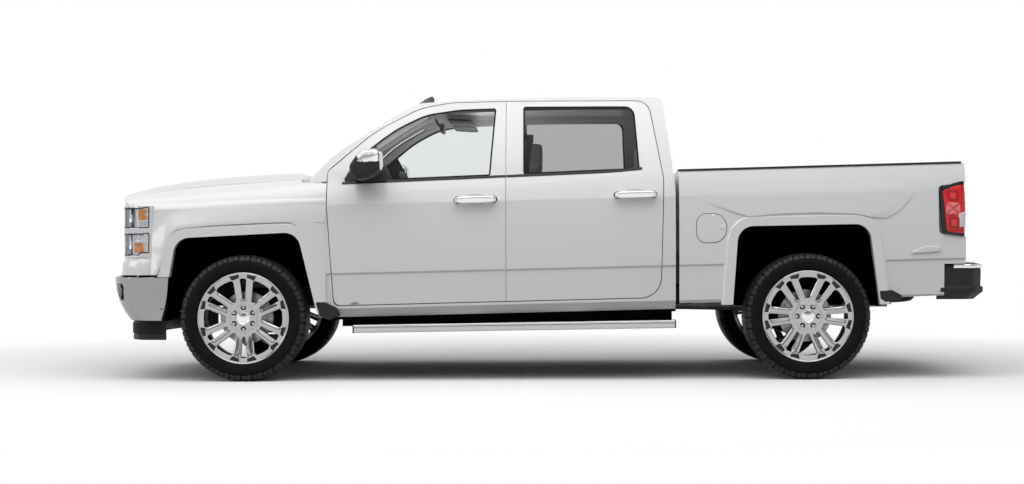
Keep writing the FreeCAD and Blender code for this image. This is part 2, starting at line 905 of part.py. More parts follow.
def mirror():
    """The left mirror: its housing, its arm and the sail plate that fills the window's nose."""
    plate = cab_outer(0).cut(cab_outer(glass_inset - seat_gap))
    plate = plate.common(left_prism(front_window_outline(-seat_gap)))
    points = [
        (nose_x, sail_foot_z),
        (sail_foot_x, sail_foot_z),
        (sail_foot_x + (sail_top_x - sail_foot_x) * sail_share, window_head_z),
        (nose_x, window_head_z),
    ]
    sail = plate.common(side_prism(points, [0] * len(points), -flare_half_width, -mirror_root_y))
    head = loft([mirror_wire(width, share) for width, share in zip(mirror_widths, mirror_shares)], True)
    arm = box(mirror_arm_x0, mirror_arm_x1, -mirror_inner_y - mirror_arm_overlap, -mirror_root_y,
              mirror_arm_z0, mirror_arm_z1)
    arm = arm.cut(cab_outer(glass_inset / 2))
    return fused([head, arm, sail])


def fixed_glass():
    """The windscreen and the back window."""
    wall = cab_loft(0).common(screen_block(glass_inset)).cut(screen_block(glass_inset + glass_thickness))
    screen = wall.common(screen_opening(-seat_gap))
    pane = cab_back_block(glass_inset).cut(cab_back_block(glass_inset + glass_thickness))
    back = pane.common(back_glass_opening(-seat_gap))
    return Part.makeCompound([screen, back])


# Cargo bed
bed_inner_half = 825.0
bed_floor_z = 835.0
bed_floor_thickness = 30.0
bed_rail_half = 958.0
bed_headboard = 60.0
bed_skirt = 34.0
bed_tail_half_width = 998.0
wheelhouse_half = 648.0
wheelhouse_wall = 24.0
groove_count = 8
groove_width = 60.0
groove_depth = 6.0
tailgate_half = 765.0
tailgate_thickness = 52.0
tailgate_foot_z = 812.0
tailgate_hinge_z = 830.0
tailgate_hinge_from_back = 16.0
tailgate_pin_radius = 10.0
tailgate_pin_length = 24.0
gate_handle_depth = 18.0
gate_handle_half = 105.0
gate_handle_foot_z = 1240.0
gate_handle_height = 84.0
gate_press_depth = 6.0
gate_press_half = 640.0
gate_press_foot_z = 905.0
gate_press_head_z = 1170.0
hinge_gap = 12.0


def bed_section(x, half, inset):
    start, legs = lower_legs(x, half - inset, bed_rail_half - inset, raked(bed_rail_z, x, rail_rise_share) - inset)
    return closed_section(start, legs, None, x)


@lru_cache
def bed_loft(inset, reach):
    """The bed's outer form, to a distance behind its back edge."""
    middle = (bed_front_x + bed_back_x) / 2
    rows = ((bed_front_x, door_half_width), (middle, door_half_width), (bed_back_x + reach, bed_tail_half_width))
    return loft([bed_section(x, half, inset) for x, half in rows])


def bed_space():
    """What the load fills, open above and behind, where the tailgate closes it."""
    x0 = bed_front_x + bed_headboard
    x1 = bed_back_x - tailgate_thickness - hinge_gap
    top = roof_height
    load = box(x0, x1, -bed_inner_half, bed_inner_half, bed_floor_z, top)
    gate_half = tailgate_half + shut_gap / 2
    gate = box(x1, tail_x, -gate_half, gate_half, 0, top)
    return load.fuse(gate)


def cargo_bed():
    body = bed_loft(0, 0)
    flares = both(flare(rear_axle_x, rear_arch, flare_foot_z + flare_rear_rise))
    body = fused([body] + flares)
    body = body.cut(bed_space())
    half = door_half_width - bed_skirt
    under = bed_floor_z - bed_floor_thickness
    body = body.cut(box(nose_x, tail_x, -half, half, 0, under))
    x0, x1 = bed_front_x, bed_back_x - tailgate_thickness - hinge_gap
    humps = []
    for space in both(arch_space(rear_axle_x, rear_arch, wheelhouse_wall, wheelhouse_half)):
        humps.append(space.common(box(x0, x1, -half, half, under, roof_height)))
    body = fused([body] + humps)
    for space in both(arch_space(rear_axle_x, rear_arch, 0, wheelhouse_half + wheelhouse_wall)):
        body = body.cut(space)
    pitch = 2 * wheelhouse_half / groove_count
    for i in range(groove_count):
        y = -wheelhouse_half + pitch * (i + 1 / 2)
        body = body.cut(
            box(x0 + bed_headboard, x1 - bed_headboard, y - groove_width / 2, y + groove_width / 2,
                bed_floor_z - groove_depth, bed_floor_z + groove_depth)
        )
    for space in both(tail_lamp_space(seat_gap)):
        body = body.cut(space)
    bumper_top = rear_bumper_levels[-1][0] + seat_gap
    wide = flare_half_width + overrun
    corner_x = rear_bumper_front_x - piece_gap
    body = body.cut(box(corner_x, tail_x, -wide, wide, 0, bumper_top))
    bore = cylinder(
        (bed_back_x - tailgate_hinge_from_back, 0, tailgate_hinge_z), (0, 1, 0),
        tailgate_pin_radius + seat_gap, 2 * (tailgate_half + tailgate_pin_length + seat_gap),
    )
    return body.cut(bore)


# Tail lamps, on the bed's back corners
tail_lamp_reach = 20.0
tail_lamp_depth = 60.0
tail_lamp_from_back = 174.0
tail_lamp_foot_z = 915.0
tail_lamp_head_z = 1272.0
tail_lamp_inner_half = 790.0
tail_lamp_radius = 26.0
tail_lamp_splits = (952.0, 1082.0, 1177.0)
tail_lamp_groove = 10.0
tail_lamp_groove_depth = 5.0


def tail_lamp_outline(grow):
    x0, x1 = bed_back_x - tail_lamp_from_back - grow, bed_back_x + tail_lamp_reach
    z0, z1 = tail_lamp_foot_z - grow, tail_lamp_head_z + grow
    points = [(x0, z0 + tail_lamp_radius), (x1, z0), (x1, z1), (x0, z1 - tail_lamp_radius)]
    return points, [tail_lamp_radius] * len(points)


def tail_lamp_space(grow):
    outer = bed_loft(-grow - grow, tail_lamp_reach)
    inner = bed_loft(tail_lamp_depth + grow, tail_lamp_reach).common(
        box(nose_x, bed_back_x - tail_lamp_depth - grow, -flare_half_width, 0, 0, roof_height)
    )
    prism = side_prism(*tail_lamp_outline(grow), -flare_half_width, -tail_lamp_inner_half + grow)
    return outer.cut(inner).common(prism)


def tail_lamps():
    outer = bed_loft(0, tail_lamp_reach)
    inner = bed_loft(tail_lamp_depth, tail_lamp_reach).common(
        box(nose_x, bed_back_x - tail_lamp_depth, -flare_half_width, 0, 0, roof_height)
    )
    prism = side_prism(*tail_lamp_outline(0), -flare_half_width, -tail_lamp_inner_half)
    lamp = outer.cut(inner).common(prism)
    back_x = bed_back_x + tail_lamp_reach
    core = bed_loft(tail_lamp_groove_depth, tail_lamp_reach)
    core = core.common(box(nose_x, back_x - tail_lamp_groove_depth, -flare_half_width, 0, 0, roof_height))
    for z in tail_lamp_splits:
        band = box(nose_x, tail_x, -flare_half_width, 0, z, z + tail_lamp_groove)
        lamp = lamp.cut(outer.cut(core).common(band))
    return Part.makeCompound(both(lamp))


def tailgate():
    x1 = bed_back_x
    x0 = x1 - tailgate_thickness
    top = raked(bed_rail_z, x1, rail_rise_share)
    half = tailgate_half - shut_gap / 2
    body = box(x0, x1, -half, half, tailgate_foot_z, top)
    outer = [e for e in body.Edges if e.BoundBox.XMin > x1 - piece_gap and e.BoundBox.YLength > half]
    body = body.makeFillet(flare_bevel, outer)
    well = box(x1 - gate_handle_depth, tail_x, -gate_handle_half, gate_handle_half, gate_handle_foot_z,
               gate_handle_foot_z + gate_handle_height)
    press = box(x1 - gate_press_depth, tail_x, -gate_press_half, gate_press_half, gate_press_foot_z, gate_press_head_z)
    body = body.cut(well).cut(press)
    pin = cylinder(
        (x1 - tailgate_hinge_from_back, 0, tailgate_hinge_z), (0, 1, 0), tailgate_pin_radius,
        2 * (half + tailgate_pin_length),
    )
    return fused([body, pin])


# Bed rail caps
cap_thickness = 12.0
cap_overhang = 6.0


def bed_rail_caps():
    """Thin caps along the tops of both side walls."""
    x0, x1 = bed_front_x, bed_back_x - tail_lamp_reach
    z0, z1 = (raked(bed_rail_z, x, rail_rise_share) for x in (x0, x1))
    points = [(x0, z0), (x1, z1), (x1, z1 + cap_thickness), (x0, z0 + cap_thickness)]
    cap = side_prism(points, [0] * len(points), -bed_rail_half - cap_overhang, -bed_inner_half - cap_overhang)
    return Part.makeCompound(both(cap))


# Front bumper and air dam
bumper_levels = ((675.0, 0.0), (585.0, 7.0), (519.0, 27.0), (453.0, 60.0), (389.0, 106.0))
bumper_half = 700.0
bumper_bulge = 102.0
bumper_corner_x = 250.0
bumper_corner_half = 955.0
bumper_corner_bulge = 30.0
bumper_side_half = 995.0
bumper_back_from_axle = 455.0
bumper_thickness = 60.0
fog_depth = 26.0
fog_inner_half = 735.0
fog_outer_half = 905.0
fog_foot_z = 522.0
fog_head_z = 630.0
plate_seat_depth = 6.0
plate_half = 190.0
plate_foot_z = 470.0
plate_head_z = 640.0
dam_foot_z = 265.0
dam_set_back = 150.0
dam_half = 860.0
dam_thickness = 40.0


def bumper_wire(z, shift, narrow):
    """The bumper's outline in plan at height z, set back by shift and narrowed."""
    place = in_plan(z)
    x = nose_x + shift
    face = (x + bumper_bulge, bumper_half - narrow)
    corner = (x + bumper_corner_x, bumper_corner_half - narrow)
    side = (front_axle_x - bumper_back_from_axle, bumper_side_half - narrow)
    middle = (
        (face[0] + corner[0]) / 2 - bumper_corner_bulge,
        (face[1] + corner[1]) / 2 + bumper_corner_bulge,
    )

    def flip(p):
        return (p[0], -p[1])

    front = arc_points((flip(face), (x, 0), face), place)
    right = arc_points((face, middle, corner), place)
    left = arc_points((flip(corner), flip(middle), flip(face)), place)
    lines = [
        Part.makeLine(place(a), place(b))
        for a, b in ((corner, side), (side, flip(side)), (flip(side), flip(corner)))
    ]
    return Part.Wire([front, right] + lines + [left])


def bumper_hollow(grow):
    """What the bumper closes off in front, moved back by grow."""
    top, foot = bumper_levels[0][0] + overrun, bumper_levels[-1][0] - overrun
    shift, narrow = bumper_levels[-1][1] + bumper_thickness + grow, bumper_thickness + grow
    return loft([bumper_wire(z, shift, narrow) for z in (foot, top)], True)


def behind_bumper(piece):
    """A piece of the frame or the carrier, cut back to the bumper's inner face."""
    wide = flare_half_width
    room = box(nose_x, front_axle_x - bumper_back_from_axle, -wide, wide, 0, bumper_levels[0][0] + seat_gap)
    return piece.cut(room.cut(bumper_hollow(seat_gap)))


def front_bumper():
    """The bright bumper, with a fog lamp's mouth at each end and the shallow seat of a plate."""
    outer = loft([bumper_wire(z, shift, 0) for z, shift in bumper_levels])
    bumper = outer.cut(bumper_hollow(0))
    for depth, y0, y1, z0, z1 in (
        (fog_depth, -fog_outer_half, -fog_inner_half, fog_foot_z, fog_head_z),
        (fog_depth, fog_inner_half, fog_outer_half, fog_foot_z, fog_head_z),
        (plate_seat_depth, -plate_half, plate_half, plate_foot_z, plate_head_z),
    ):
        core = loft([bumper_wire(z, shift + depth, depth) for z, shift in bumper_levels])
        bumper = bumper.cut(outer.cut(core).common(box(nose_x, front_axle_x, y0, y1, z0, z1)))
    return clear_of_front_arches(bumper)


def clear_of_front_arches(piece):
    for space in both(arch_space(front_axle_x, front_arch, liner_thickness + seat_gap, liner_inner_half)):
        piece = piece.cut(space)
    return piece


def air_dam():
    z0, z1 = dam_foot_z, bumper_levels[-1][0] - seat_gap
    narrow = bumper_side_half - dam_half
    outer = loft([bumper_wire(z, dam_set_back, narrow) for z in (z0, z1)], True)
    inner = loft(
        [bumper_wire(z, dam_set_back + dam_thickness, narrow + dam_thickness) for z in (z0, z1)],
        True,
    )
    return clear_of_front_arches(outer.cut(inner))


# Grille
grille_half = 634.0
grille_depth = 60.0
grille_set_back = 6.0
grille_border = 40.0
crossbar_height = 92.0
slot_rows = 4
slot_columns = 8
slot_bar = 12.0


def grille():
    front = nose_face_block(grille_set_back).cut(nose_face_block(grille_set_back + grille_depth))
    z0, z1 = lamp_foot_z, lamp_back_z
    slab = front.common(box(nose_x, front_axle_x, -grille_half, grille_half, z0, z1))
    middle = (z0 + z1) / 2
    halves = (
        (z0 + grille_border, middle - crossbar_height / 2),
        (middle + crossbar_height / 2, z1 - grille_border),
    )
    width = 2 * (grille_half - grille_border)
    cuts = []
    for low, high in halves:
        pitch = (high - low + slot_bar) / slot_rows
        across = (width + slot_bar) / slot_columns
        for i in range(slot_rows):
            z = low + i * pitch
            for j in range(slot_columns):
                y = -width / 2 + j * across
                cuts.append(box(nose_x, front_axle_x, y, y + across - slot_bar, z, z + pitch - slot_bar))
    bar = nose_face_block(0).cut(nose_face_block(grille_depth))
    bar = bar.common(
        box(nose_x, front_axle_x, -grille_half, grille_half, middle - crossbar_height / 2, middle + crossbar_height / 2)
    )
    return fused([slab.cut(Part.makeCompound(cuts)), bar])


# Rear bumper
rear_bumper_levels = ((512.0, 70.0), (560.0, 0.0), (590.0, 0.0), (600.0, 16.0), (700.0, 10.0), (744.0, 22.0))
rear_bumper_half = 905.0
rear_bumper_bulge = 66.0
rear_bumper_side_half = 985.0
rear_bumper_front_x = 2590.0
rear_bumper_thickness = 30.0
rear_bumper_corner = 90.0
rear_plate_depth = 12.0
rear_plate_half = 175.0
rear_plate_foot_z = 610.0
rear_plate_head_z = 700.0
hitch_bore = 29.0
hitch_from_back = 140.0


def rear_bumper_wire(z, shift, narrow):
    place = in_plan(z)
    x = tail_x - shift
    face = (x - rear_bumper_bulge, rear_bumper_half - narrow)
    corner = (face[0] - rear_bumper_corner, rear_bumper_side_half - narrow)
    side = (rear_bumper_front_x, rear_bumper_side_half - narrow)

    def flip(p):
        return (p[0], -p[1])

    back = arc_points((face, (x, 0), flip(face)), place)
    around = [flip(face), flip(corner), flip(side), side, corner, face]
    lines = [Part.makeLine(place(a), place(b)) for a, b in zip(around, around[1:])]
    return Part.Wire([back] + lines)


def rear_bumper():
    outer = loft([rear_bumper_wire(z, shift, 0) for z, shift in rear_bumper_levels], True)
    foot, top = rear_bumper_levels[0][0] - overrun, rear_bumper_levels[-1][0] - floor_thickness
    deep = rear_bumper_levels[0][1] + rear_bumper_thickness
    inner = loft([rear_bumper_wire(z, deep, rear_bumper_thickness) for z in (foot, top)], True)
    ball = cylinder((tail_x - hitch_from_back, 0, top), (0, 0, 1), hitch_bore / 2, overrun)
    core = loft(
        [rear_bumper_wire(z, shift + rear_plate_depth, rear_plate_depth) for z, shift in rear_bumper_levels],
        True,
    )
    seat = outer.cut(core).common(
        box(rear_bumper_front_x, tail_x, -rear_plate_half, rear_plate_half, rear_plate_foot_z, rear_plate_head_z)
    )
    return outer.cut(inner).cut(ball).cut(seat)


# Wheels and tyres
rim_flange_radius = 296.0
rim_bead_radius = 280.0
rim_well_radius = 250.0
rim_half_width = 128.0
rim_wall = 12.0
face_offset = 112.0
face_thickness = 38.0
spoke_pairs = 6
window_inner_radius = 128.0
window_outer_radius = 252.0
pair_half_width = 54.0
slot_inner_radius = 140.0
slot_outer_radius = 248.0
slot_half_width = 13.0
hub_radius = 92.0
hub_depth = 130.0
disc_radius = 172.0
disc_thickness = 28.0
disc_offset = 20.0
sidewall_bulge = 14.0
tread_crown = 6.0
shoulder_radius = 22.0


def ring(profile, centre):
    """A solid of revolution about the wheel's axis, from (radius, y) points."""
    points = [V(centre[0] + r, centre[1] + y, centre[2]) for r, y in profile]
    wire = Part.makePolygon(points + points[:1])
    return Part.Face(wire).revolve(V(*centre), V(0, 1, 0), 360)


def tyre(axle_x, track):
    """A left tyre, hollow where the rim's well is."""
    radius, half = tyre_diameter / 2, tyre_width / 2
    bead = rim_bead_radius + rim_wall + seat_gap
    lip = rim_half_width - rim_wall - seat_gap
    profile = [
        (bead, -lip),
        (rim_flange_radius + seat_gap, -lip),
        (rim_flange_radius + piece_gap, -half + sidewall_bulge),
        ((radius + rim_flange_radius) / 2, -half),
        (radius - shoulder_radius, -half + sidewall_bulge / 2),
        (radius - tread_crown, -half + shoulder_radius + sidewall_bulge / 2),
        (radius, -half / 3),
    ]
    profile = profile + [(r, -y) for r, y in reversed(profile)]
    return ring(profile, (axle_x, -track / 2, axle_z))


def wheel(axle_x, track, turn):
    """A left wheel: barrel, spoked face, hub and brake disc. Its outer side faces -Y."""
    centre = (axle_x, -track / 2, axle_z)
    half = rim_half_width
    outer = rim_bead_radius + rim_wall
    barrel = [
        (rim_flange_radius, -half),
        (rim_flange_radius, -half + rim_wall),
        (outer, -half + rim_wall),
        (outer, half - rim_wall),
        (rim_flange_radius, half - rim_wall),
        (rim_flange_radius, half),
        (rim_bead_radius, half),
        (rim_bead_radius, -half),
    ]
    body = ring(barrel, centre)
    y0 = -face_offset
    face = [
        (0, y0 + rim_wall),
        (hub_radius, y0 + rim_wall),
        (window_outer_radius, y0 - rim_wall),
        (rim_bead_radius + rim_wall / 2, y0 - rim_wall),
        (rim_bead_radius + rim_wall / 2, y0 + face_thickness - rim_wall),
        (hub_radius, y0 + face_thickness + rim_wall),
        (0, y0 + face_thickness + rim_wall),
    ]
    face = ring(face, centre)
    step = 360 / spoke_pairs
    half_step = math.pi / spoke_pairs
    cuts = []
    spread_in = window_inner_radius * math.tan(half_step) - pair_half_width
    spread_out = window_outer_radius * math.sin(half_step) - pair_half_width * math.cos(half_step)
    for i in range(spoke_pairs):
        window = [
            (axle_x - spread_in, axle_z + window_inner_radius),
            (axle_x + spread_in, axle_z + window_inner_radius),
            (axle_x + spread_out, axle_z + window_outer_radius * math.cos(half_step / 2)),
            (axle_x - spread_out, axle_z + window_outer_radius * math.cos(half_step / 2)),
        ]
        slot = [
            (axle_x - slot_half_width, axle_z + slot_inner_radius),
            (axle_x + slot_half_width, axle_z + slot_inner_radius),
            (axle_x + slot_half_width, axle_z + slot_outer_radius),
            (axle_x - slot_half_width, axle_z + slot_outer_radius),
        ]
        y1 = centre[1] - half - overrun / 2
        for points, angle in ((window, (i + 1 / 2) * step), (slot, i * step)):
            prism = side_prism(points, [rim_wall] * len(points), y1, y1 + overrun)
            prism.rotate(V(*centre), V(0, 1, 0), angle + turn)
            cuts.append(prism)
    face = face.cut(Part.makeCompound(cuts))
    hub = [
        (0, y0 + rim_wall),
        (hub_radius, y0 + rim_wall),
        (hub_radius, disc_offset),
        (disc_radius, disc_offset),
        (disc_radius, disc_offset + disc_thickness),
        (0, disc_offset + disc_thickness),
    ]
    hub = ring(hub, centre)
    return fused([body, face, hub])


# Knuckles, on the kingpins
kingpin_half = 790.0
knuckle_half_depth = 22.0
knuckle_half_width = 40.0
lower_joint_z = 275.0
upper_joint_z = 560.0
spindle_radius = 38.0
joint_radius = 18.0
hub_gap = 5.5


def knuckle():
    """The left upright, its spindle reaching the brake disc and its steering arm forward."""
    y = -kingpin_half
    x = front_axle_x
    post = box(
        x - knuckle_half_width, x + knuckle_half_width,
        y - knuckle_half_depth / 2, y + knuckle_half_depth,
        lower_joint_z, upper_joint_z,
    )
    reach = front_track / 2 - disc_offset - disc_thickness - seat_gap
    spindle = cylinder((x, -(reach + kingpin_half) / 2, axle_z), (0, 1, 0), spindle_radius, reach - kingpin_half)
    return fused([post, spindle])


# Front suspension: arms, coil-over struts and a cross member
rail_inner_half = 380.0
rail_outer_half = 450.0
arm_thickness = 30.0
arm_tip = 44.0
arm_root = 150.0
arm_tip_half = 800.0


def arm(z, inner_half):
    """An A-shaped arm from the frame rail out to the kingpin, on the left."""
    x = front_axle_x
    points = [
        (x - arm_root, -inner_half),
        (x - arm_tip, -arm_tip_half),
        (x + arm_tip, -arm_tip_half),
        (x + arm_root, -inner_half),
    ]
    return plan_prism(points, [0] * len(points), z, z + arm_thickness)


# Ladder frame
rail_foot_z = 470.0
rail_height = 120.0
rail_front_x = -2735.0
rail_back_x = 2720.0
kick_start_x = 1000.0
kick_end_x = 1330.0
kick_rise = 120.0
cross_member_width = 90.0
cross_member_depth = 60.0
high_member_depth = 40.0
low_member_stations = (-2610.0, -1936.5)
high_member_stations = (-400.0, 560.0, 1340.0, 2200.0, 2560.0)
body_mount_stations = (-1450.0, -240.5, 640.0)
bed_mount_stations = (1330.0, 2500.0)
arm_bracket_width = 60.0
mount_radius = 45.0


def rail_height_at(x):
    """The height of a rail's lower face at station x."""
    if x <= kick_start_x:
        return rail_foot_z
    if x >= kick_end_x:
        return rail_foot_z + kick_rise
    return rail_foot_z + kick_rise * (x - kick_start_x) / (kick_end_x - kick_start_x)


def ladder_frame():
    low, high = rail_foot_z, rail_foot_z + kick_rise
    points = [
        (rail_front_x, low),
        (kick_start_x, low),
        (kick_end_x, high),
        (rail_back_x, high),
        (rail_back_x, high + rail_height),
        (kick_end_x, high + rail_height),
        (kick_start_x, low + rail_height),
        (rail_front_x, low + rail_height),
    ]
    rail = side_prism(points, [0] * len(points), -rail_outer_half, -rail_inner_half)
    pieces = both(rail)
    half = cross_member_width / 2
    for x in low_member_stations:
        z = rail_foot_z + (rail_height - cross_member_depth) / 2
        pieces.append(box(x - half, x + half, -rail_inner_half, rail_inner_half, z, z + cross_member_depth))
    for x in high_member_stations:
        z1 = rail_height_at(x) + rail_height
        z0 = z1 - high_member_depth
        pieces.append(box(x - half, x + half, -rail_inner_half, rail_inner_half, z0, z1))
    middle = (rail_inner_half + rail_outer_half) / 2
    under_cab = cabin_floor_z - floor_thickness
    under_bed = bed_floor_z - bed_floor_thickness
    mounts = [(x, under_cab) for x in body_mount_stations] + [(x, under_bed) for x in bed_mount_stations]
    for x, top in mounts:
        z0 = rail_height_at(x) + rail_height - piece_gap
        for side in (-middle, middle):
            pieces.append(cylinder((x, side, (z0 + top) / 2), (0, 0, 1), mount_radius / 2, top - z0))
    x = front_axle_x
    bracket = box(x - arm_bracket_width, x + arm_bracket_width, -rail_outer_half, -rail_inner_half,
                  lower_joint_z, rail_foot_z)
    pieces += both(bracket)
    plate_foot = rear_bumper_levels[-1][0] - floor_thickness - seat_gap
    foot = rail_foot_z + kick_rise + rail_height - piece_gap
    bumper_mount = box(rear_bumper_front_x, rail_back_x, -rail_outer_half, -rail_inner_half, foot, plate_foot)
    pieces += both(bumper_mount)
    return behind_bumper(fused(pieces))


# Rear axle with its leaf springs
axle_tube_radius = 44.0
axle_flange_radius = 70.0
differential_radius = 150.0
differential_length = 260.0
spring_half = 520.0
spring_width = 64.0
spring_thickness = 40.0
spring_front = 720.0
spring_back = 820.0
spring_drop = 92.0
hanger_width = 30.0


def rear_axle():
    x, z = rear_axle_x, axle_z
    reach = rear_track / 2 - disc_offset - disc_thickness - seat_gap
    tube = cylinder((x, 0, z), (0, 1, 0), axle_tube_radius, 2 * reach)
    casing = cylinder((x, 0, z), (0, 1, 0), differential_radius, differential_length)
    pieces = [tube, casing]
    seat_z = z + axle_tube_radius - piece_gap
    eye_z = seat_z + spring_drop
    for side in (-1, 1):
        y0 = side * spring_half - spring_width / 2
        y1 = y0 + spring_width
        points = [
            (x - spring_front, eye_z),
            (x, seat_z),
            (x + spring_back, eye_z),
            (x + spring_back, eye_z + spring_thickness),
            (x, seat_z + spring_thickness),
            (x - spring_front, eye_z + spring_thickness),
        ]
        pieces.append(side_prism(points, [0] * len(points), y0, y1))
        inner = side * rail_outer_half + side * seat_gap
        low, high = sorted((inner, y0 if side > 0 else y1))
        for eye_x in (x - spring_front, x + spring_back - hanger_width):
            pieces.append(box(eye_x, eye_x + hanger_width, low, high, eye_z, eye_z + spring_thickness))
    return fused(pieces)


# Underbody masses
engine_x0 = -2420.0
engine_x1 = -1600.0
engine_half = 300.0
engine_z0 = 560.3
engine_z1 = 1130.0
gearbox_x1 = -760.0
gearbox_half = 170.0
gearbox_z0 = 440.0
gearbox_z1 = 606.0
shaft_radius = 44.0
shaft_z = 496.0
exhaust_radius = 32.0
exhaust_route = (
    (-560.0, 250.0, 506.0),
    (900.0, 250.0, 506.0),
    (1150.0, 250.0, 440.0),
    (1330.0, 640.0, 440.0),
    (1560.0, 640.0, 500.0),
    (1860.0, 640.0, 500.0),
    (2100.0, 640.0, 440.0),
    (2540.0, 640.0, 440.0),
)
muffler_x0 = -60.0
muffler_x1 = 560.0
muffler_half = 95.0
muffler_depth = 43.7
tank_x0 = -300.0
tank_x1 = 760.0
tank_inner = 462.0
tank_outer = 800.0
tank_z0 = 380.0
tank_z1 = 590.0
tank_radius = 50.0


def powertrain():
    """The engine as one plain block, with the gearbox behind and below it."""
    engine = box(engine_x0, engine_x1, -engine_half, engine_half, engine_z0, engine_z1)
    gearbox_x0 = engine_x1 - floor_thickness
    gearbox = box(gearbox_x0, gearbox_x1, -gearbox_half, gearbox_half, gearbox_z0, gearbox_z1)
    return fused([engine, gearbox])


def driveshaft():
    end = V(rear_axle_x - differential_radius - piece_gap, 0, axle_z + shaft_radius)
    slope = (shaft_z - end.z) / (end.x - gearbox_x1)
    start = V(gearbox_x1 + seat_gap + shaft_radius * slope, 0, shaft_z)
    along = end - start
    return Part.makeCylinder(shaft_radius, along.Length, start, along)


def fuel_tank():
    points = [(tank_x0, -tank_outer), (tank_x1, -tank_outer), (tank_x1, -tank_inner), (tank_x0, -tank_inner)]
    tank = plan_prism(points, [tank_radius] * len(points), tank_z0, tank_z1)
    straps = []
    for x in (tank_x0 + overrun / 2, tank_x1 - overrun / 2):
        straps.append(
            box(x, x + tank_radius, -tank_inner - tank_radius, -rail_outer_half - seat_gap,
                tank_z1 - tank_radius, tank_z1 - piece_gap)
        )
    return fused([tank] + straps)


def exhaust():
    """The exhaust pipe along its route under the floor and over the axle, with its muffler."""
    points = [V(*p) for p in exhaust_route]
    path = Part.makePolygon(points)
    start = points[0]
    circle = Part.Wire(Part.makeCircle(exhaust_radius, start, points[1] - start))
    pipe = path.makePipeShell([circle], True, False, 1)
    y, z = start.y, start.z
    can = box(muffler_x0, muffler_x1, y - muffler_half, y + muffler_half, z - muffler_half, z + muffler_depth)
    return fused([pipe, can])


# Running boards on brackets
board_x0 = -1228.0
board_x1 = 852.0
board_front_z = 364.0
board_rise = 25.0
board_thickness = 52.0
board_inner_half = 880.0
board_outer_half = 1010.0
bracket_width = 60.0
bracket_thickness = 14.0
bracket_shares = (0.1, 0.5, 0.9)


def running_board():
    z0, z1 = board_front_z, board_front_z + board_rise
    t = board_thickness
    points = [(board_x0, z0 - t), (board_x1, z1 - t), (board_x1, z1), (board_x0, z0)]
    board = side_prism(points, [0] * len(points), -board_outer_half, -board_inner_half)
    pieces = [board]
    for share in bracket_shares:
        x = board_x0 + (board_x1 - board_x0) * share
        top = z0 + board_rise * share
        low = raked(sill_z, x)
        pieces.append(
            box(x, x + bracket_width, -rocker_inner_half - bracket_thickness - bracket_width,
                -rocker_inner_half - bracket_width, top - bracket_thickness, low - seat_gap)
        )
    return fused(pieces)


# Cabin furniture
seat_front_x = -700.0
seat_rear_x = 150.0
seat_base_z = 640.0
seat_length = 540.0
seat_cushion_z = 985.0
seat_cushion_thickness = 150.0
seat_width = 540.0
seat_offset = 380.0
seat_back_thickness = 140.0
seat_back_top_z = 1440.0
front_seat_lean = 160.0
rear_seat_lean = 65.0
seat_radius = 50.0
headrest_width = 260.0
headrest_top_z = 1560.0
rear_seat_half = 690.0


def seat(x, y0, y1, lean):
    """A seat: a pedestal, a cushion, a leaning back and a headrest, as one piece."""
    z = seat_cushion_z
    foot = box(x + seat_radius, x + seat_length - seat_radius, y0 + seat_radius, y1 - seat_radius,
               seat_base_z + seat_gap, z - seat_cushion_thickness + piece_gap)
    cushion_points = [
        (x, z - seat_cushion_thickness), (x + seat_length, z - seat_cushion_thickness),
        (x + seat_length, z), (x, z),
    ]
    cushion = side_prism(cushion_points, [0, 0, 0, seat_radius], y0, y1)
    back_x = x + seat_length - seat_back_thickness
    back_points = [
        (back_x, z - seat_cushion_thickness),
        (back_x + seat_back_thickness, z - seat_cushion_thickness),
        (back_x + lean + seat_back_thickness, seat_back_top_z),
        (back_x + lean + piece_gap, seat_back_top_z),
    ]
    back = side_prism(back_points, [0, 0, seat_radius, seat_radius], y0, y1)
    top_x = back_x + lean
    middle = (y0 + y1) / 2
    rest = box(top_x + seat_radius / 2, top_x + seat_back_thickness, middle - headrest_width / 2,
               middle + headrest_width / 2, seat_back_top_z - seat_radius, headrest_top_z)
    return fused([foot, cushion, back, rest])


dash_front_x = firewall_x + firewall_thickness + seat_gap
dash_back_x = -1180.0
dash_z0 = 960.0
dash_z1 = 1275.0
dash_half = 860.0
dash_radius = 80.0


def dashboard():
    points = [
        (dash_front_x, dash_z0), (dash_back_x - dash_radius, dash_z0),
        (dash_back_x, dash_z1 - dash_radius), (dash_back_x - dash_radius, dash_z1), (dash_front_x, dash_z1),
    ]
    radii = [0, dash_radius / 2, dash_radius / 2, dash_radius / 2, 0]
    panel = side_prism(points, radii, -dash_half, dash_half)
    centre, axis = steering_axis()
    bore = Part.makeCylinder(column_radius + seat_gap, column_length + piece_gap, centre, axis * -1)
    return panel.cut(bore)


steering_x = -880.0
steering_z = 1190.0
steering_radius = 190.0
steering_grip_radius = 16.0
steering_lean = 25.0
column_radius = 26.0
column_length = 420.0


def steering_axis():
    lean = math.radians(steering_lean)
    return V(steering_x, -seat_offset, steering_z), V(math.cos(lean), 0, math.sin(lean))


def steering_wheel():
    centre, axis = steering_axis()
    rim = Part.makeTorus(steering_radius, steering_grip_radius, centre, axis)
    hub = Part.makeCylinder(column_radius * 2, steering_grip_radius * 2, centre - axis * steering_grip_radius, axis)
    column = Part.makeCylinder(column_radius, column_length, centre - axis * column_length, axis)
    spoke = box(-steering_grip_radius / 2, steering_grip_radius / 2, -steering_radius, steering_radius,
                -steering_grip_radius, steering_grip_radius)
    spoke.rotate(V(0, 0, 0), V(0, 1, 0), -steering_lean)
    spoke.translate(centre)
    return fused([rim, hub, column, spoke])


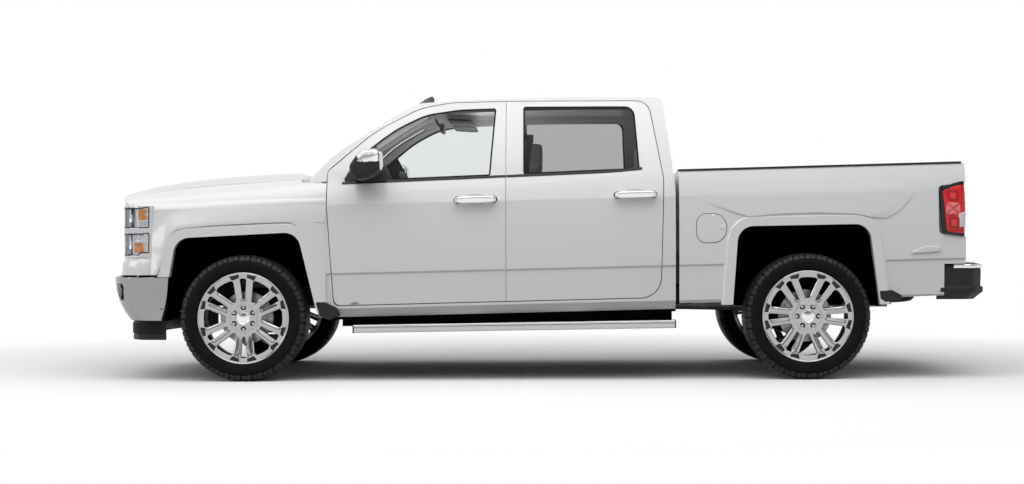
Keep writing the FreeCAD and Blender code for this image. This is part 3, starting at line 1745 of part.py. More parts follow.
# Radiator, front liners, antenna and spare wheel
radiator_x0 = -2640.0
radiator_x1 = -2570.0
radiator_half = 370.0
radiator_z1 = 1110.0
carrier_half = 700.0
carrier_pad_half = 600.0
carrier_depth = 50.0
carrier_foot_x = -2680.0
liner_thickness = 8.0
liner_inner_half = 470.0


def radiator():
    """The radiator pack, on the front cross member."""
    z0 = rail_foot_z + (rail_height + cross_member_depth) / 2 + seat_gap
    return box(radiator_x0, radiator_x1, -radiator_half, radiator_half, z0, radiator_z1)


def face_layer(inset, depth, half, z0, z1):
    """A band that follows the front's curve in plan, between two heights."""
    layer = nose_face_block(inset).cut(nose_face_block(inset + depth))
    return layer.common(box(nose_x, front_axle_x, -half, half, z0, z1))


def front_carrier():
    """The carrier behind the lamps, the grille and the strip below, on the frame's front ends."""
    back = lamp_depth + seat_gap
    top = lamp_back_z - carrier_depth
    low_z0 = fascia_foot_z + piece_gap
    low_z1 = lamp_foot_z - piece_gap - piece_gap
    pieces = [
        face_layer(panel_thickness + seat_gap, back, carrier_half, low_z0, low_z1),
        face_layer(back, carrier_depth, carrier_half, top - carrier_depth, top),
        face_layer(grille_set_back + grille_depth + seat_gap, back, carrier_pad_half,
                   top - carrier_depth, top),
    ]
    for side in (-1, 1):
        low, high = sorted((side * (carrier_half - carrier_depth), side * carrier_half))
        post = face_layer(back, carrier_depth, carrier_half, low_z0, top)
        pieces.append(post.common(box(nose_x, front_axle_x, low, high, low_z0, top)))
        low, high = sorted((side * rail_inner_half, side * rail_outer_half))
        foot = rail_foot_z + rail_height + seat_gap
        pieces.append(box(rail_front_x, carrier_foot_x, low, high, foot, low_z1))
    return behind_bumper(fused(pieces))


def front_liner():
    outer = arch_space(front_axle_x, front_arch, liner_thickness, liner_inner_half)
    inner = arch_space(front_axle_x, front_arch, 0, liner_inner_half)
    sheet = outer.cut(inner).common(nose_loft(panel_thickness + seat_gap))
    return sheet


antenna_x = -829.0
antenna_length = 150.0
antenna_height = 66.0
antenna_half = 22.0
antenna_root = 32.0
spare_x = 2230.0
spare_radius = 370.0
spare_thickness = 200.0


def roof_antenna():
    z = roof_height - antenna_root
    points = [
        (antenna_x - antenna_length / 2, z), (antenna_x + antenna_length / 2, z),
        (antenna_x + antenna_length / 2 - piece_gap, roof_height + antenna_height / 2),
    ]
    fin = side_prism(points, [0, 0, 0], -antenna_half, antenna_half)
    return fin.cut(cab_loft(-seat_gap))


def spare_wheel():
    top = rail_foot_z + kick_rise + rail_height - high_member_depth - seat_gap
    return cylinder((spare_x, 0, top - spare_thickness / 2), (0, 0, 1), spare_radius, spare_thickness)


def export(name, shape):
    shape.exportStep("parts/" + name + ".step")


def build():
    """Every node of the vehicle, by name."""
    nodes = {}
    nodes["cab_shell"] = cab_shell()
    nodes["roof_antenna"] = roof_antenna()
    nodes["hood"] = hood()
    nodes["headlamps"] = headlamps()
    nodes["nose_panel"] = nose_panel()
    nodes["front_fenders"] = Part.makeCompound(both(fender()))
    nodes["grille"] = grille()
    nodes["front_bumper"] = front_bumper()
    nodes["air_dam"] = air_dam()
    nodes["rear_bumper"] = rear_bumper()
    nodes["fixed_glass"] = fixed_glass()
    nodes["cargo_bed"] = cargo_bed()
    nodes["tail_lamps"] = tail_lamps()
    nodes["tailgate"] = tailgate()
    nodes["bed_rail_caps"] = bed_rail_caps()
    front_door = door(
        front_door_outline, front_window_outline, front_handle_x, front_handle_z, front_door_hinges()
    )
    rear_door = door(
        rear_door_outline, rear_window_outline, rear_handle_x, rear_handle_z, rear_door_hinges()
    )
    left = {
        "door_front": front_door,
        "door_rear": rear_door,
        "glass_front": side_glass(front_window_outline),
        "glass_rear": side_glass(rear_window_outline),
        "mirror": mirror(),
        "knuckle": knuckle(),
        "tyre_front": tyre(front_axle_x, front_track),
        "tyre_rear": tyre(rear_axle_x, rear_track),
        "wheel_front": wheel(front_axle_x, front_track, 0),
        "wheel_rear": wheel(rear_axle_x, rear_track, 180 / spoke_pairs),
    }
    for name, shape in left.items():
        nodes[name + "_left"] = shape
        nodes[name + "_right"] = mirrored(shape)
    nodes["ladder_frame"] = ladder_frame()
    nodes["front_suspension"] = Part.makeCompound(
        both(arm(lower_joint_z - arm_thickness - seat_gap, rail_inner_half))
        + both(arm(upper_joint_z + seat_gap, rail_outer_half + seat_gap))
    )
    nodes["rear_axle"] = rear_axle()
    nodes["powertrain"] = Part.makeCompound([powertrain(), driveshaft()])
    nodes["exhaust"] = exhaust()
    nodes["fuel_tank"] = fuel_tank()
    nodes["running_boards"] = Part.makeCompound(both(running_board()))
    half = seat_width / 2
    front_seat = seat(seat_front_x, -seat_offset - half, -seat_offset + half, front_seat_lean)
    bench = seat(seat_rear_x, -rear_seat_half, rear_seat_half, rear_seat_lean)
    nodes["seats"] = Part.makeCompound(both(front_seat) + [bench])
    nodes["dashboard"] = dashboard()
    nodes["steering_wheel"] = steering_wheel()
    nodes["radiator"] = radiator()
    nodes["front_carrier"] = front_carrier()
    nodes["wheel_liners"] = Part.makeCompound(both(front_liner()))
    nodes["spare_wheel"] = spare_wheel()
    return nodes


if __name__ == "__main__":
    os.makedirs("parts", exist_ok=True)
    for name, shape in build().items():
        export(name, shape)
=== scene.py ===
import bmesh
import bpy
import math
import json
from mathutils import Vector, Matrix
from mathutils.geometry import delaunay_2d_cdt


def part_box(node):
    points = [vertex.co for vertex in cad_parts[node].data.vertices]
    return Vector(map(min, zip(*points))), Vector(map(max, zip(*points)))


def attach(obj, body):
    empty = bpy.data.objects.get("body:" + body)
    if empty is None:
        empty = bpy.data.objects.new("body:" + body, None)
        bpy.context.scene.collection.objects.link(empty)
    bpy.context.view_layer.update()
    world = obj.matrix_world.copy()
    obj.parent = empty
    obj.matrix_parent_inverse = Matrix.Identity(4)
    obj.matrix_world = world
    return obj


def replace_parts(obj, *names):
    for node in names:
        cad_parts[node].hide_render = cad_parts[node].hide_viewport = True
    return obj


# The looks of a full-size crew-cab pickup truck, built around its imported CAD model.
# Lengths are written in millimetres and become metres where a mesh is made.
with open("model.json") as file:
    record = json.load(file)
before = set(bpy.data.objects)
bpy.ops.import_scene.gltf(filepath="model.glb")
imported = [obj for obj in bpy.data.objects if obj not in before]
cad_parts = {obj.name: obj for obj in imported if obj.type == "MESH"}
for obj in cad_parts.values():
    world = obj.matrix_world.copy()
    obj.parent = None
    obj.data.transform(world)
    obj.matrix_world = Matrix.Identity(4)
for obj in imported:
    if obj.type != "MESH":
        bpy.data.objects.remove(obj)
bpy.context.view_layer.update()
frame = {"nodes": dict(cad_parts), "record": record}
nodes = frame["nodes"]
scene = bpy.context.scene
MM = 0.001

# Stations and sizes that the CAD model has too
front_axle_x = -1936.5
rear_axle_x = 1708.5
axle_z = 407.5
front_track = 1745.0
rear_track = 1717.0
half_length = 2921.5

# The side of each paired piece, and whether it is made as the mirrored twin
SIDES = (("left", False), ("right", True))


# Materials

def node_tree(name):
    material = bpy.data.materials.new(name)
    material.use_nodes = True
    tree = material.node_tree
    tree.nodes.clear()
    out = tree.nodes.new("ShaderNodeOutputMaterial")
    shader = tree.nodes.new("ShaderNodeBsdfPrincipled")
    tree.links.new(shader.outputs[0], out.inputs[0])
    return material, tree, shader


def filled(tree, kind, inputs, **settings):
    """A shader node with its settings and its inputs, each a plain value or another node's output."""
    node = tree.nodes.new(kind)
    for name, value in settings.items():
        setattr(node, name, value)
    for key, value in inputs.items():
        if isinstance(value, bpy.types.NodeSocket):
            tree.links.new(value, node.inputs[key])
        else:
            node.inputs[key].default_value = value
    return node


def noise_of(tree, scale, detail=3.0, stretch=None):
    """A noise texture's factor, in the piece's own space."""
    place = tree.nodes.new("ShaderNodeTexCoord").outputs["Object"]
    if stretch:
        place = filled(tree, "ShaderNodeMapping", {0: place, "Scale": stretch}).outputs[0]
    return filled(tree, "ShaderNodeTexNoise", {"Vector": place, "Scale": scale,
                                               "Detail": detail}).outputs[0]


def ramp_of(tree, factor, stops):
    ramp = tree.nodes.new("ShaderNodeValToRGB")
    ramp.color_ramp.elements[0].position = stops[0][0]
    ramp.color_ramp.elements[0].color = (*stops[0][1], 1)
    ramp.color_ramp.elements[1].position = stops[-1][0]
    ramp.color_ramp.elements[1].color = (*stops[-1][1], 1)
    for place, colour in stops[1:-1]:
        ramp.color_ramp.elements.new(place).color = (*colour, 1)
    tree.links.new(factor, ramp.inputs[0])
    return ramp.outputs[0]


def ranged(tree, factor, low, high, start=0.3, stop=0.7):
    """A factor between start and stop, spread out to low and high and held beyond them."""
    return filled(tree, "ShaderNodeMapRange", {
        0: factor, "From Min": start, "From Max": stop, "To Min": low, "To Max": high}).outputs[0]


def mixed(tree, factor, first, second):
    """The first colour where the factor is 0 and the second where it is 1."""
    return filled(tree, "ShaderNodeMix", {0: factor, 6: first, 7: second}, data_type="RGBA").outputs[2]


def math_of(tree, operation, first, second):
    return filled(tree, "ShaderNodeMath", {0: first, 1: second}, operation=operation).outputs[0]


def vector_of(tree, operation, first, second, output=0):
    node = filled(tree, "ShaderNodeVectorMath", {0: first, 1: second}, operation=operation)
    return node.outputs[output]


def finish_of(name, colour, rough, metal=0.0, coat=0.0, mottle=0.04, mottle_scale=4.0,
              rough_spread=0.03, grain=0.0, grain_scale=300.0, grain_depth=0.0005, edge=0.0, sheen=0.0,
              specular=0.5, stretch=None, wear=None):
    """A procedural finish: its colour varies a little, its roughness too, with a fine grain."""
    material, tree, shader = node_tree(name)
    dark = tuple(c * (1 - mottle) for c in colour)
    light = tuple(min(1.0, c * (1 + mottle)) for c in colour)
    tint = ramp_of(tree, noise_of(tree, mottle_scale, 4.0, stretch), [(0.3, dark), (0.7, light)])
    if wear:
        fine = noise_of(tree, mottle_scale * 9, 6.0)
        mask = ramp_of(tree, fine, [(0.52, (0, 0, 0)), (0.72, (1, 1, 1))])
        tint = mixed(tree, mask, tint, (*wear, 1))
    tree.links.new(tint, shader.inputs["Base Color"])
    middle = noise_of(tree, mottle_scale * 3, 3.0, stretch)
    spread = ranged(tree, middle, max(0.01, rough - rough_spread), min(1.0, rough + rough_spread))
    tree.links.new(spread, shader.inputs["Roughness"])
    for key, value in (("Metallic", metal), ("Coat Weight", coat), ("Coat Roughness", 0.03),
                       ("Specular IOR Level", specular), ("Sheen Weight", sheen)):
        shader.inputs[key].default_value = value
    normal = None
    if edge:
        bevel = filled(tree, "ShaderNodeBevel", {"Radius": edge}, samples=4)
        normal = bevel.outputs[0]
    if grain:
        bump = filled(tree, "ShaderNodeBump", {
            "Strength": grain, "Distance": grain_depth, "Height": noise_of(tree, grain_scale, 4.0)})
        if normal:
            tree.links.new(normal, bump.inputs["Normal"])
        normal = bump.outputs[0]
    if normal:
        tree.links.new(normal, shader.inputs["Normal"])
        if coat:
            tree.links.new(normal, shader.inputs["Coat Normal"])
    return material


def glass_of(name, colour, clear, rough=0.02, least=0.045):
    """Thin tinted glass: partly see-through, partly a dark mirror."""
    material, tree, shader = node_tree(name)
    light = tuple(c * 1.1 for c in colour)
    tint = ramp_of(tree, noise_of(tree, 2.0), [(0.3, colour), (0.7, light)])
    tree.links.new(tint, shader.inputs["Base Color"])
    spread = ranged(tree, noise_of(tree, 6.0), rough * 0.7, rough * 1.3)
    tree.links.new(spread, shader.inputs["Roughness"])
    shader.inputs["IOR"].default_value = 1.5
    shader.inputs["Specular IOR Level"].default_value = 1.0
    see = filled(tree, "ShaderNodeBsdfTransparent", {0: (*clear, 1)}).outputs[0]
    facing = tree.nodes.new("ShaderNodeLayerWeight").outputs["Facing"]
    gain = ranged(tree, math_of(tree, "POWER", facing, 5.0), least, 1.0, 0.0, 1.0)
    mix = filled(tree, "ShaderNodeMixShader", {0: gain, 1: see, 2: shader.outputs[0]})
    tree.links.new(mix.outputs[0], tree.nodes["Material Output"].inputs[0])
    return material


# Meshes

def shade(mesh, angle):
    mesh.polygons.foreach_set("use_smooth", [True] * len(mesh.polygons))
    mesh.set_sharp_from_angle(angle=math.radians(angle))


def piece(name, verts, faces, body, slot, material, angle=35.0, flip=False):
    """A mesh piece from points in millimetres, riding on a body. With flip it is the right-hand twin."""
    if flip:
        verts = [(x, -y, z) for x, y, z in verts]
        faces = [tuple(reversed(face)) for face in faces]
    mesh = bpy.data.meshes.new(name)
    mesh.from_pydata([(x * MM, y * MM, z * MM) for x, y, z in verts], [], [tuple(f) for f in faces])
    mesh.validate()
    mesh.update()
    shade(mesh, angle)
    obj = bpy.data.objects.new(name, mesh)
    scene.collection.objects.link(obj)
    obj.data.materials.append(material)
    if slot == "body_paint":
        even = obj.modifiers.new("Weighted", "WEIGHTED_NORMAL")
        even.keep_sharp = True
    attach(obj, body)
    return obj


def rounded(obj, width, segments=2, angle=30.0):
    """Rounds a piece's sharp edges, width in millimetres."""
    bevel = obj.modifiers.new("Bevel", "BEVEL")
    bevel.width = width * MM
    bevel.segments = segments
    bevel.limit_method = "ANGLE"
    bevel.angle_limit = math.radians(angle)
    bevel.harden_normals = True
    obj.data.polygons.foreach_set("use_smooth", [True] * len(obj.data.polygons))
    return obj


class Shape:
    """Points and faces collected from several solids."""

    def __init__(self):
        self.verts = []
        self.faces = []

    def add(self, verts, faces):
        base = len(self.verts)
        self.verts += [tuple(v) for v in verts]
        self.faces += [tuple(base + i for i in face) for face in faces]
        return self

    def box(self, x0, x1, y0, y1, z0, z1):
        x0, x1 = sorted((x0, x1))
        y0, y1 = sorted((y0, y1))
        z0, z1 = sorted((z0, z1))
        corners = [(x, y, z) for x in (x0, x1) for y in (y0, y1) for z in (z0, z1)]
        return self.add(corners, [(0, 1, 3, 2), (4, 6, 7, 5), (0, 4, 5, 1), (2, 3, 7, 6), (0, 2, 6, 4),
                                  (1, 5, 7, 3)])

    def rings(self, rings, closed=True, caps=True):
        """A skin over rings of equal length, each ring closed unless told otherwise."""
        count = len(rings[0])
        verts = [p for ring in rings for p in ring]
        faces = []
        last = count if closed else count - 1
        for i in range(len(rings) - 1):
            for j in range(last):
                a, b = i * count + j, i * count + (j + 1) % count
                faces.append((a, b, b + count, a + count))
        if caps:
            faces.append(tuple(reversed(range(count))))
            faces.append(tuple((len(rings) - 1) * count + j for j in range(count)))
        return self.add(verts, faces)

    def lathe(self, profile, centre, axis="y", steps=96, closed=False, turn=0.0):
        """A skin of revolution, from (radius, along) points about an axis through centre."""
        rings = []
        for i in range(steps):
            angle = 2 * math.pi * i / steps + turn
            c, s = math.cos(angle), math.sin(angle)
            ring = []
            for r, along in profile:
                if axis == "y":
                    ring.append((centre[0] + r * c, centre[1] + along, centre[2] + r * s))
                elif axis == "z":
                    ring.append((centre[0] + r * c, centre[1] + r * s, centre[2] + along))
                else:
                    ring.append((centre[0] + along, centre[1] + r * c, centre[2] + r * s))
            rings.append(ring)
        count = len(profile)
        verts = [p for ring in rings for p in ring]
        faces = []
        last = count if closed else count - 1
        for i in range(steps):
            k = (i + 1) % steps
            for j in range(last):
                m = (j + 1) % count
                face = (i * count + j, i * count + m, k * count + m, k * count + j)
                faces.append(face if axis != "y" else face[::-1])
        return self.add(verts, faces)

    def tube(self, points, radius, sides=12, caps=True):
        """A round bar along points."""
        rings = []
        up = Vector((0.0, 0.0, 1.0))
        for i, point in enumerate(points):
            here = Vector(point)
            before = Vector(points[max(i - 1, 0)])
            after = Vector(points[min(i + 1, len(points) - 1)])
            along = (after - before).normalized()
            side = along.cross(up)
            if side.length < 0.05:
                side = along.cross(Vector((1.0, 0.0, 0.0)))
            side.normalize()
            rise = side.cross(along)
            r = radius[i] if isinstance(radius, (list, tuple)) else radius
            ring = []
            for k in range(sides):
                a = 2 * math.pi * k / sides
                ring.append(tuple(here + side * (r * math.cos(a)) + rise * (r * math.sin(a))))
            rings.append(ring)
        return self.rings(rings, True, caps)

    def make(self, name, body, slot, material, angle=35.0, flip=False):
        return piece(name, self.verts, self.faces, body, slot, material, angle, flip)


def spline(points, steps):
    """Points on a smooth curve through the given points."""
    out = []
    count = len(points)
    for i in range(count - 1):
        p0 = Vector(points[max(i - 1, 0)])
        p1, p2 = Vector(points[i]), Vector(points[i + 1])
        p3 = Vector(points[min(i + 2, count - 1)])
        for k in range(steps):
            t = k / steps
            q = 0.5 * (2 * p1 + (p2 - p0) * t + (2 * p0 - 5 * p1 + 4 * p2 - p3) * t ** 2
                       + (3 * p1 - p0 - 3 * p2 + p3) * t ** 3)
            out.append(tuple(q))
    out.append(tuple(points[-1]))
    return out


def rounded_loop(points, radii, steps=5):
    """A closed outline with its corners rounded; radii is a number or one for each corner."""
    count = len(points)
    out = []
    for i in range(count):
        r = radii[i] if isinstance(radii, (list, tuple)) else radii
        p = Vector(points[i])
        a = Vector(points[i - 1]) - p
        b = Vector(points[(i + 1) % count]) - p
        if r <= 0:
            out.append(tuple(p))
            continue
        half = a.angle(b) / 2
        reach = min(r / math.tan(half), a.length * 0.49, b.length * 0.49)
        r = reach * math.tan(half)
        a.normalize()
        b.normalize()
        centre = p + (a + b).normalized() * (r / math.sin(half))
        start, end = p + a * reach - centre, p + b * reach - centre
        sweep = start.angle_signed(end) if start.length > 1e-6 else 0
        for k in range(steps + 1):
            t = -sweep * k / steps
            c, s = math.cos(t), math.sin(t)
            out.append((centre.x + start.x * c - start.y * s, centre.y + start.x * s + start.y * c))
    return out


def area_of(loop):
    return sum(a[0] * b[1] - b[0] * a[1] for a, b in zip(loop, loop[1:] + loop[:1])) / 2


def inset_loop(loop, distance):
    """A loop moved to its left by distance, which is inwards for one that runs counterclockwise."""
    count = len(loop)
    out = []
    for i in range(count):
        p = Vector(loop[i])
        a = (p - Vector(loop[i - 1]))
        b = (Vector(loop[(i + 1) % count]) - p)
        if a.length < 1e-9:
            a = b
        if b.length < 1e-9:
            b = a
        na = Vector((-a.y, a.x)).normalized()
        nb = Vector((-b.y, b.x)).normalized()
        n = na + nb
        if n.length < 1e-6:
            n = na
        n.normalize()
        scale = 1 / max(0.4, n.dot(na))
        out.append((p.x + n.x * distance * scale, p.y + n.y * distance * scale))
    return out


def grown(loop, distance):
    """A loop moved outwards by distance, whichever way it runs."""
    loop = list(loop)
    if area_of(loop) < 0:
        loop.reverse()
    return inset_loop(loop, -distance)


def inside(point, loop):
    x, y = point
    hit = False
    for (x0, y0), (x1, y1) in zip(loop, loop[1:] + loop[:1]):
        if (y0 > y) != (y1 > y) and x < (x1 - x0) * (y - y0) / (y1 - y0) + x0:
            hit = not hit
    return hit


def thinned(loop, least):
    """A loop without points closer together than least."""
    out = [loop[0]]
    for p in loop[1:]:
        if math.dist(p, out[-1]) > least:
            out.append(p)
    if math.dist(out[0], out[-1]) < least:
        out.pop()
    return out


def divided(loop, most):
    """A loop whose sides are split so that none is longer than most."""
    out = []
    for a, b in zip(loop, loop[1:] + loop[:1]):
        parts = max(1, math.ceil(math.dist(a, b) / most))
        for k in range(parts):
            t = k / parts
            out.append((a[0] + (b[0] - a[0]) * t, a[1] + (b[1] - a[1]) * t))
    return out


def evened(loop, most, least=0.8):
    """A loop with no side longer than most and no two points closer than least."""
    return thinned(divided(loop, most), least)


def box_loop(u0, u1, v0, v1, radii, steps=5):
    """A rectangle with its corners rounded."""
    return rounded_loop([(u0, v0), (u1, v0), (u1, v1), (u0, v1)], radii, steps)


def angles(count, start=0.0):
    """Even angles once round a circle."""
    return [2 * math.pi * k / count + start for k in range(count)]


def disc_loop(u, v, radius, count):
    return [(u + radius * math.cos(a), v + radius * math.sin(a)) for a in angles(count)]


def stacked(loop, levels):
    """Rings over an outline in plan, from pairs of a height and an inset."""
    return [[(u, v, z) for u, v in inset_loop(loop, d)] for z, d in levels]


def plate(shape, loops, place, depth, bevel, grid=0.0, steps=3, back=False, wall=True, creases=()):
    """A sheet with rounded edges over an outline and its holes.

    The first loop is the outline and the rest are holes. place(u, v, d) gives the point at
    depth d under the sheet's face. The side walls run down to depth. Each crease gives a
    height for each u, and the face has points along it.
    """
    def layer(distance):
        made = []
        for index, loop in enumerate(loops):
            loop = list(loop)
            if (area_of(loop) < 0) == (index == 0):
                loop.reverse()
            made.append(inset_loop(loop, distance) if distance else loop)
        return made

    levels = []
    if bevel:
        for k in range(steps + 1):
            a = math.pi / 2 * k / steps
            levels.append((bevel * (1 - math.cos(a)), bevel * (1 - math.sin(a))))
        if grid > 20.0:
            # A flat margin keeps the rolled edge's shading out of the face
            levels.append((bevel + 1.5, 0.0))
    else:
        levels.append((0.0, 0.0))
    stacks = [[[(p, depth) for p in loop]] if wall else [] for loop in layer(0.0)]
    for distance, down in levels:
        for stack, loop in zip(stacks, layer(distance)):
            stack.append([(p, down) for p in loop])
    for stack in stacks:
        rings = [[place(p[0], p[1], down) for p, down in ring] for ring in stack]
        shape.rings(rings, True, False)
    top = [[p for p, down in stack[-1]] for stack in stacks]

    def covered(point):
        return inside(point, top[0]) and not any(inside(point, hole) for hole in top[1:])

    def apart(point, gap):
        return all(math.dist(point, p) > gap for loop in top for p in loop)

    coords, edges = [], []
    for loop in top:
        start = len(coords)
        coords += [Vector(p) for p in loop]
        edges += [(start + i, start + (i + 1) % len(loop)) for i in range(len(loop))]
    us, vs = [p[0] for p in top[0]], [p[1] for p in top[0]]
    for crease in creases:
        before = None
        u = min(us) + 2.0
        while u < max(us):
            point = (u, crease(u))
            if covered(point) and apart(point, 2.5):
                coords.append(Vector(point))
                if before is not None:
                    edges.append((before, len(coords) - 1))
                before = len(coords) - 1
            else:
                before = None
            u += 14.0
    if grid:
        u = min(us) + grid / 2
        while u < max(us):
            v = min(vs) + grid / 2
            while v < max(vs):
                if covered((u, v)) and apart((u, v), grid * 0.35):
                    coords.append(Vector((u, v)))
                v += grid
            u += grid
    made = delaunay_2d_cdt(coords, edges, [], 0, 1e-6)
    points, triangles = made[0], made[2]
    kept = []
    for tri in triangles:
        middle = sum((points[i] for i in tri), Vector((0, 0))) / len(tri)
        if covered(middle):
            kept.append(tuple(tri))
    shape.add([place(p.x, p.y, levels[-1][1]) for p in points], kept)
    if back:
        shape.add([place(p.x, p.y, depth) for p in points], [t[::-1] for t in kept])
    return shape


# Finishes of the vehicle
paint = finish_of("paint_white", (0.80, 0.805, 0.81), 0.28, coat=0.9, mottle=0.002, mottle_scale=1.2,
                  rough_spread=0.003, grain=0.01, grain_scale=900, grain_depth=0.0001)
# Painted shade: the handle's dish is darker than the body paint, standing in for the shade of its recess
painted_shade_dish = finish_of("paint_dish", (0.66, 0.665, 0.67), 0.3, coat=0.7, mottle=0.006, mottle_scale=1.2)
chrome = finish_of("chrome", (0.82, 0.825, 0.83), 0.06, metal=1.0, mottle=0.02, mottle_scale=9.0,
                   rough_spread=0.02, edge=0.002)
# Painted reflection: the bumper's chrome is darkened, standing in for the darker room that bright chrome
# reflects
bumper_chrome_painted_reflection = finish_of("bumper_chrome_painted_reflection", (0.32, 0.325, 0.335), 0.20, metal=1.0, mottle=0.03,
                          mottle_scale=5.0, rough_spread=0.03, edge=0.002)
barrel_metal = finish_of("barrel_metal", (0.20, 0.20, 0.205), 0.30, metal=0.9, mottle=0.1,
                         mottle_scale=12.0)
wheel_chrome = finish_of("wheel_chrome", (0.44, 0.445, 0.45), 0.08, metal=1.0, mottle=0.03,
                         mottle_scale=12.0, rough_spread=0.03)
black_plastic = finish_of("black_plastic", (0.022, 0.022, 0.024), 0.48, mottle=0.15, mottle_scale=14.0,
                          rough_spread=0.08, grain=0.25, grain_scale=700, grain_depth=0.0004, edge=0.002,
                          specular=0.25)
gloss_black = finish_of("gloss_black", (0.010, 0.010, 0.011), 0.16, coat=0.12, mottle=0.1, mottle_scale=8.0,
                        edge=0.0015, specular=0.3)
frame_black = finish_of("frame_black", (0.02, 0.02, 0.02), 0.55, mottle=0.3, mottle_scale=7.0,
                        rough_spread=0.12, grain=0.3, grain_scale=260, edge=0.003, wear=(0.05, 0.04, 0.03),
                        specular=0.15)
cast_metal = finish_of("cast_metal", (0.30, 0.30, 0.31), 0.55, metal=0.7, mottle=0.25, mottle_scale=11.0,
                       rough_spread=0.12, grain=0.6, grain_scale=420, grain_depth=0.0008, edge=0.003)
bare_steel = finish_of("bare_steel", (0.42, 0.41, 0.40), 0.38, metal=1.0, mottle=0.2, mottle_scale=10.0,
                       rough_spread=0.12, grain=0.2, edge=0.002, wear=(0.24, 0.17, 0.11))
aluminium = finish_of("bright_aluminium", (0.50, 0.50, 0.51), 0.2, metal=1.0, mottle=0.04,
                      mottle_scale=9.0, rough_spread=0.05, stretch=(0.2, 6.0, 6.0), edge=0.002)
rubber = finish_of("tyre_rubber", (0.016, 0.016, 0.017), 0.72, mottle=0.25, mottle_scale=18.0,
                   rough_spread=0.10, grain=0.35, grain_scale=520, grain_depth=0.0005, specular=0.12)
wall_rubber = finish_of("tyre_wall", (0.009, 0.009, 0.010), 0.75, mottle=0.25, mottle_scale=18.0,
                        rough_spread=0.08, grain=0.3, grain_scale=520, grain_depth=0.0004, specular=0.10)
# Painted highlight: the tread lugs' rubber is lighter than the wall's, standing in for the light their tops
# catch
lug_rubber_painted_highlight = finish_of("tyre_lugs_painted_highlight", (0.020, 0.020, 0.021), 0.52, mottle=0.30, mottle_scale=16.0,
                       rough_spread=0.10, grain=0.35, grain_scale=520, grain_depth=0.0005, specular=0.35)
seal_rubber = finish_of("seal_rubber", (0.012, 0.012, 0.012), 0.6, mottle=0.2, mottle_scale=30.0,
                        rough_spread=0.08, grain=0.2, grain_scale=900, specular=0.15)
# Painted shade: this near-black felt is darker than real felt and has no sheen, so wheel wells, gaps and
# bands stay black like shade
liner_felt_painted_shade = finish_of("liner_felt_painted_shade", (0.0022, 0.0022, 0.0022), 1.0, mottle=0.3, mottle_scale=25.0,
                       rough_spread=0.05, grain=0.6, grain_scale=600, specular=0.0)
front_glass = glass_of("glass_front", (0.02, 0.025, 0.025), (0.97, 0.98, 0.975))
dark_glass = glass_of("glass_dark", (0.010, 0.011, 0.012), (0.835, 0.84, 0.845), least=0.06)


# Wheels: six pairs of spokes with a slot in each pair

def turned(point, angle):
    c, s = math.cos(angle), math.sin(angle)
    return (point[0] * c + point[1] * s, -point[0] * s + point[1] * c)


face_radius = 287.0
bolt_circle = 69.85
pair_step = math.pi / 3


def face_depth(r):
    """How far the spokes' faces stand from the wheel's middle plane."""
    share = max(0.0, min(1.0, (r - 80.0) / 190.0))
    return 99.0 + 25.0 * (3 * share ** 2 - 2 * share ** 3)


def wheel_outlines(turn):
    windows, slots, pockets = [], [], []
    for i in range(6):
        angle = turn + i * pair_step
        right_in, right_out = (50.0, 104.0), (66.0, 238.0)
        left_in, left_out = (-50.0, 104.0), (-66.0, 238.0)
        here_in, here_out = turned(right_in, angle), turned(right_out, angle)
        next_in, next_out = turned(left_in, angle + pair_step), turned(left_out, angle + pair_step)
        start = math.atan2(*here_out)
        stop = math.atan2(*next_out)
        if stop < start:
            stop += 2 * math.pi
        rim_points = []
        for k in range(1, 6):
            a = start + (stop - start) * k / 6
            rim_points.append((253.0 * math.sin(a), 253.0 * math.cos(a)))
        outline = [here_in, here_out] + rim_points + [next_out, next_in]
        radii = [13.0, 15.0] + [0.0] * 5 + [15.0, 13.0]
        windows.append(evened(rounded_loop(outline, radii), 16.0))
        slot = [(-20.0, 256.0), (20.0, 256.0), (9.0, 122.0), (-9.0, 122.0)]
        slot = [turned(p, angle) for p in slot]
        slots.append(evened(rounded_loop(slot, [9.0, 9.0, 7.0, 7.0]), 16.0))
        for side in (-1, 1):
            pocket = [(27.0, 281.0), (88.0, 268.0), (70.0, 244.0), (27.0, 262.0)]
            pocket = [turned((side * u, v), angle) for u, v in pocket]
            pockets.append(thinned(rounded_loop(pocket, 3.0, 3), 0.5))
    return windows, slots, pockets


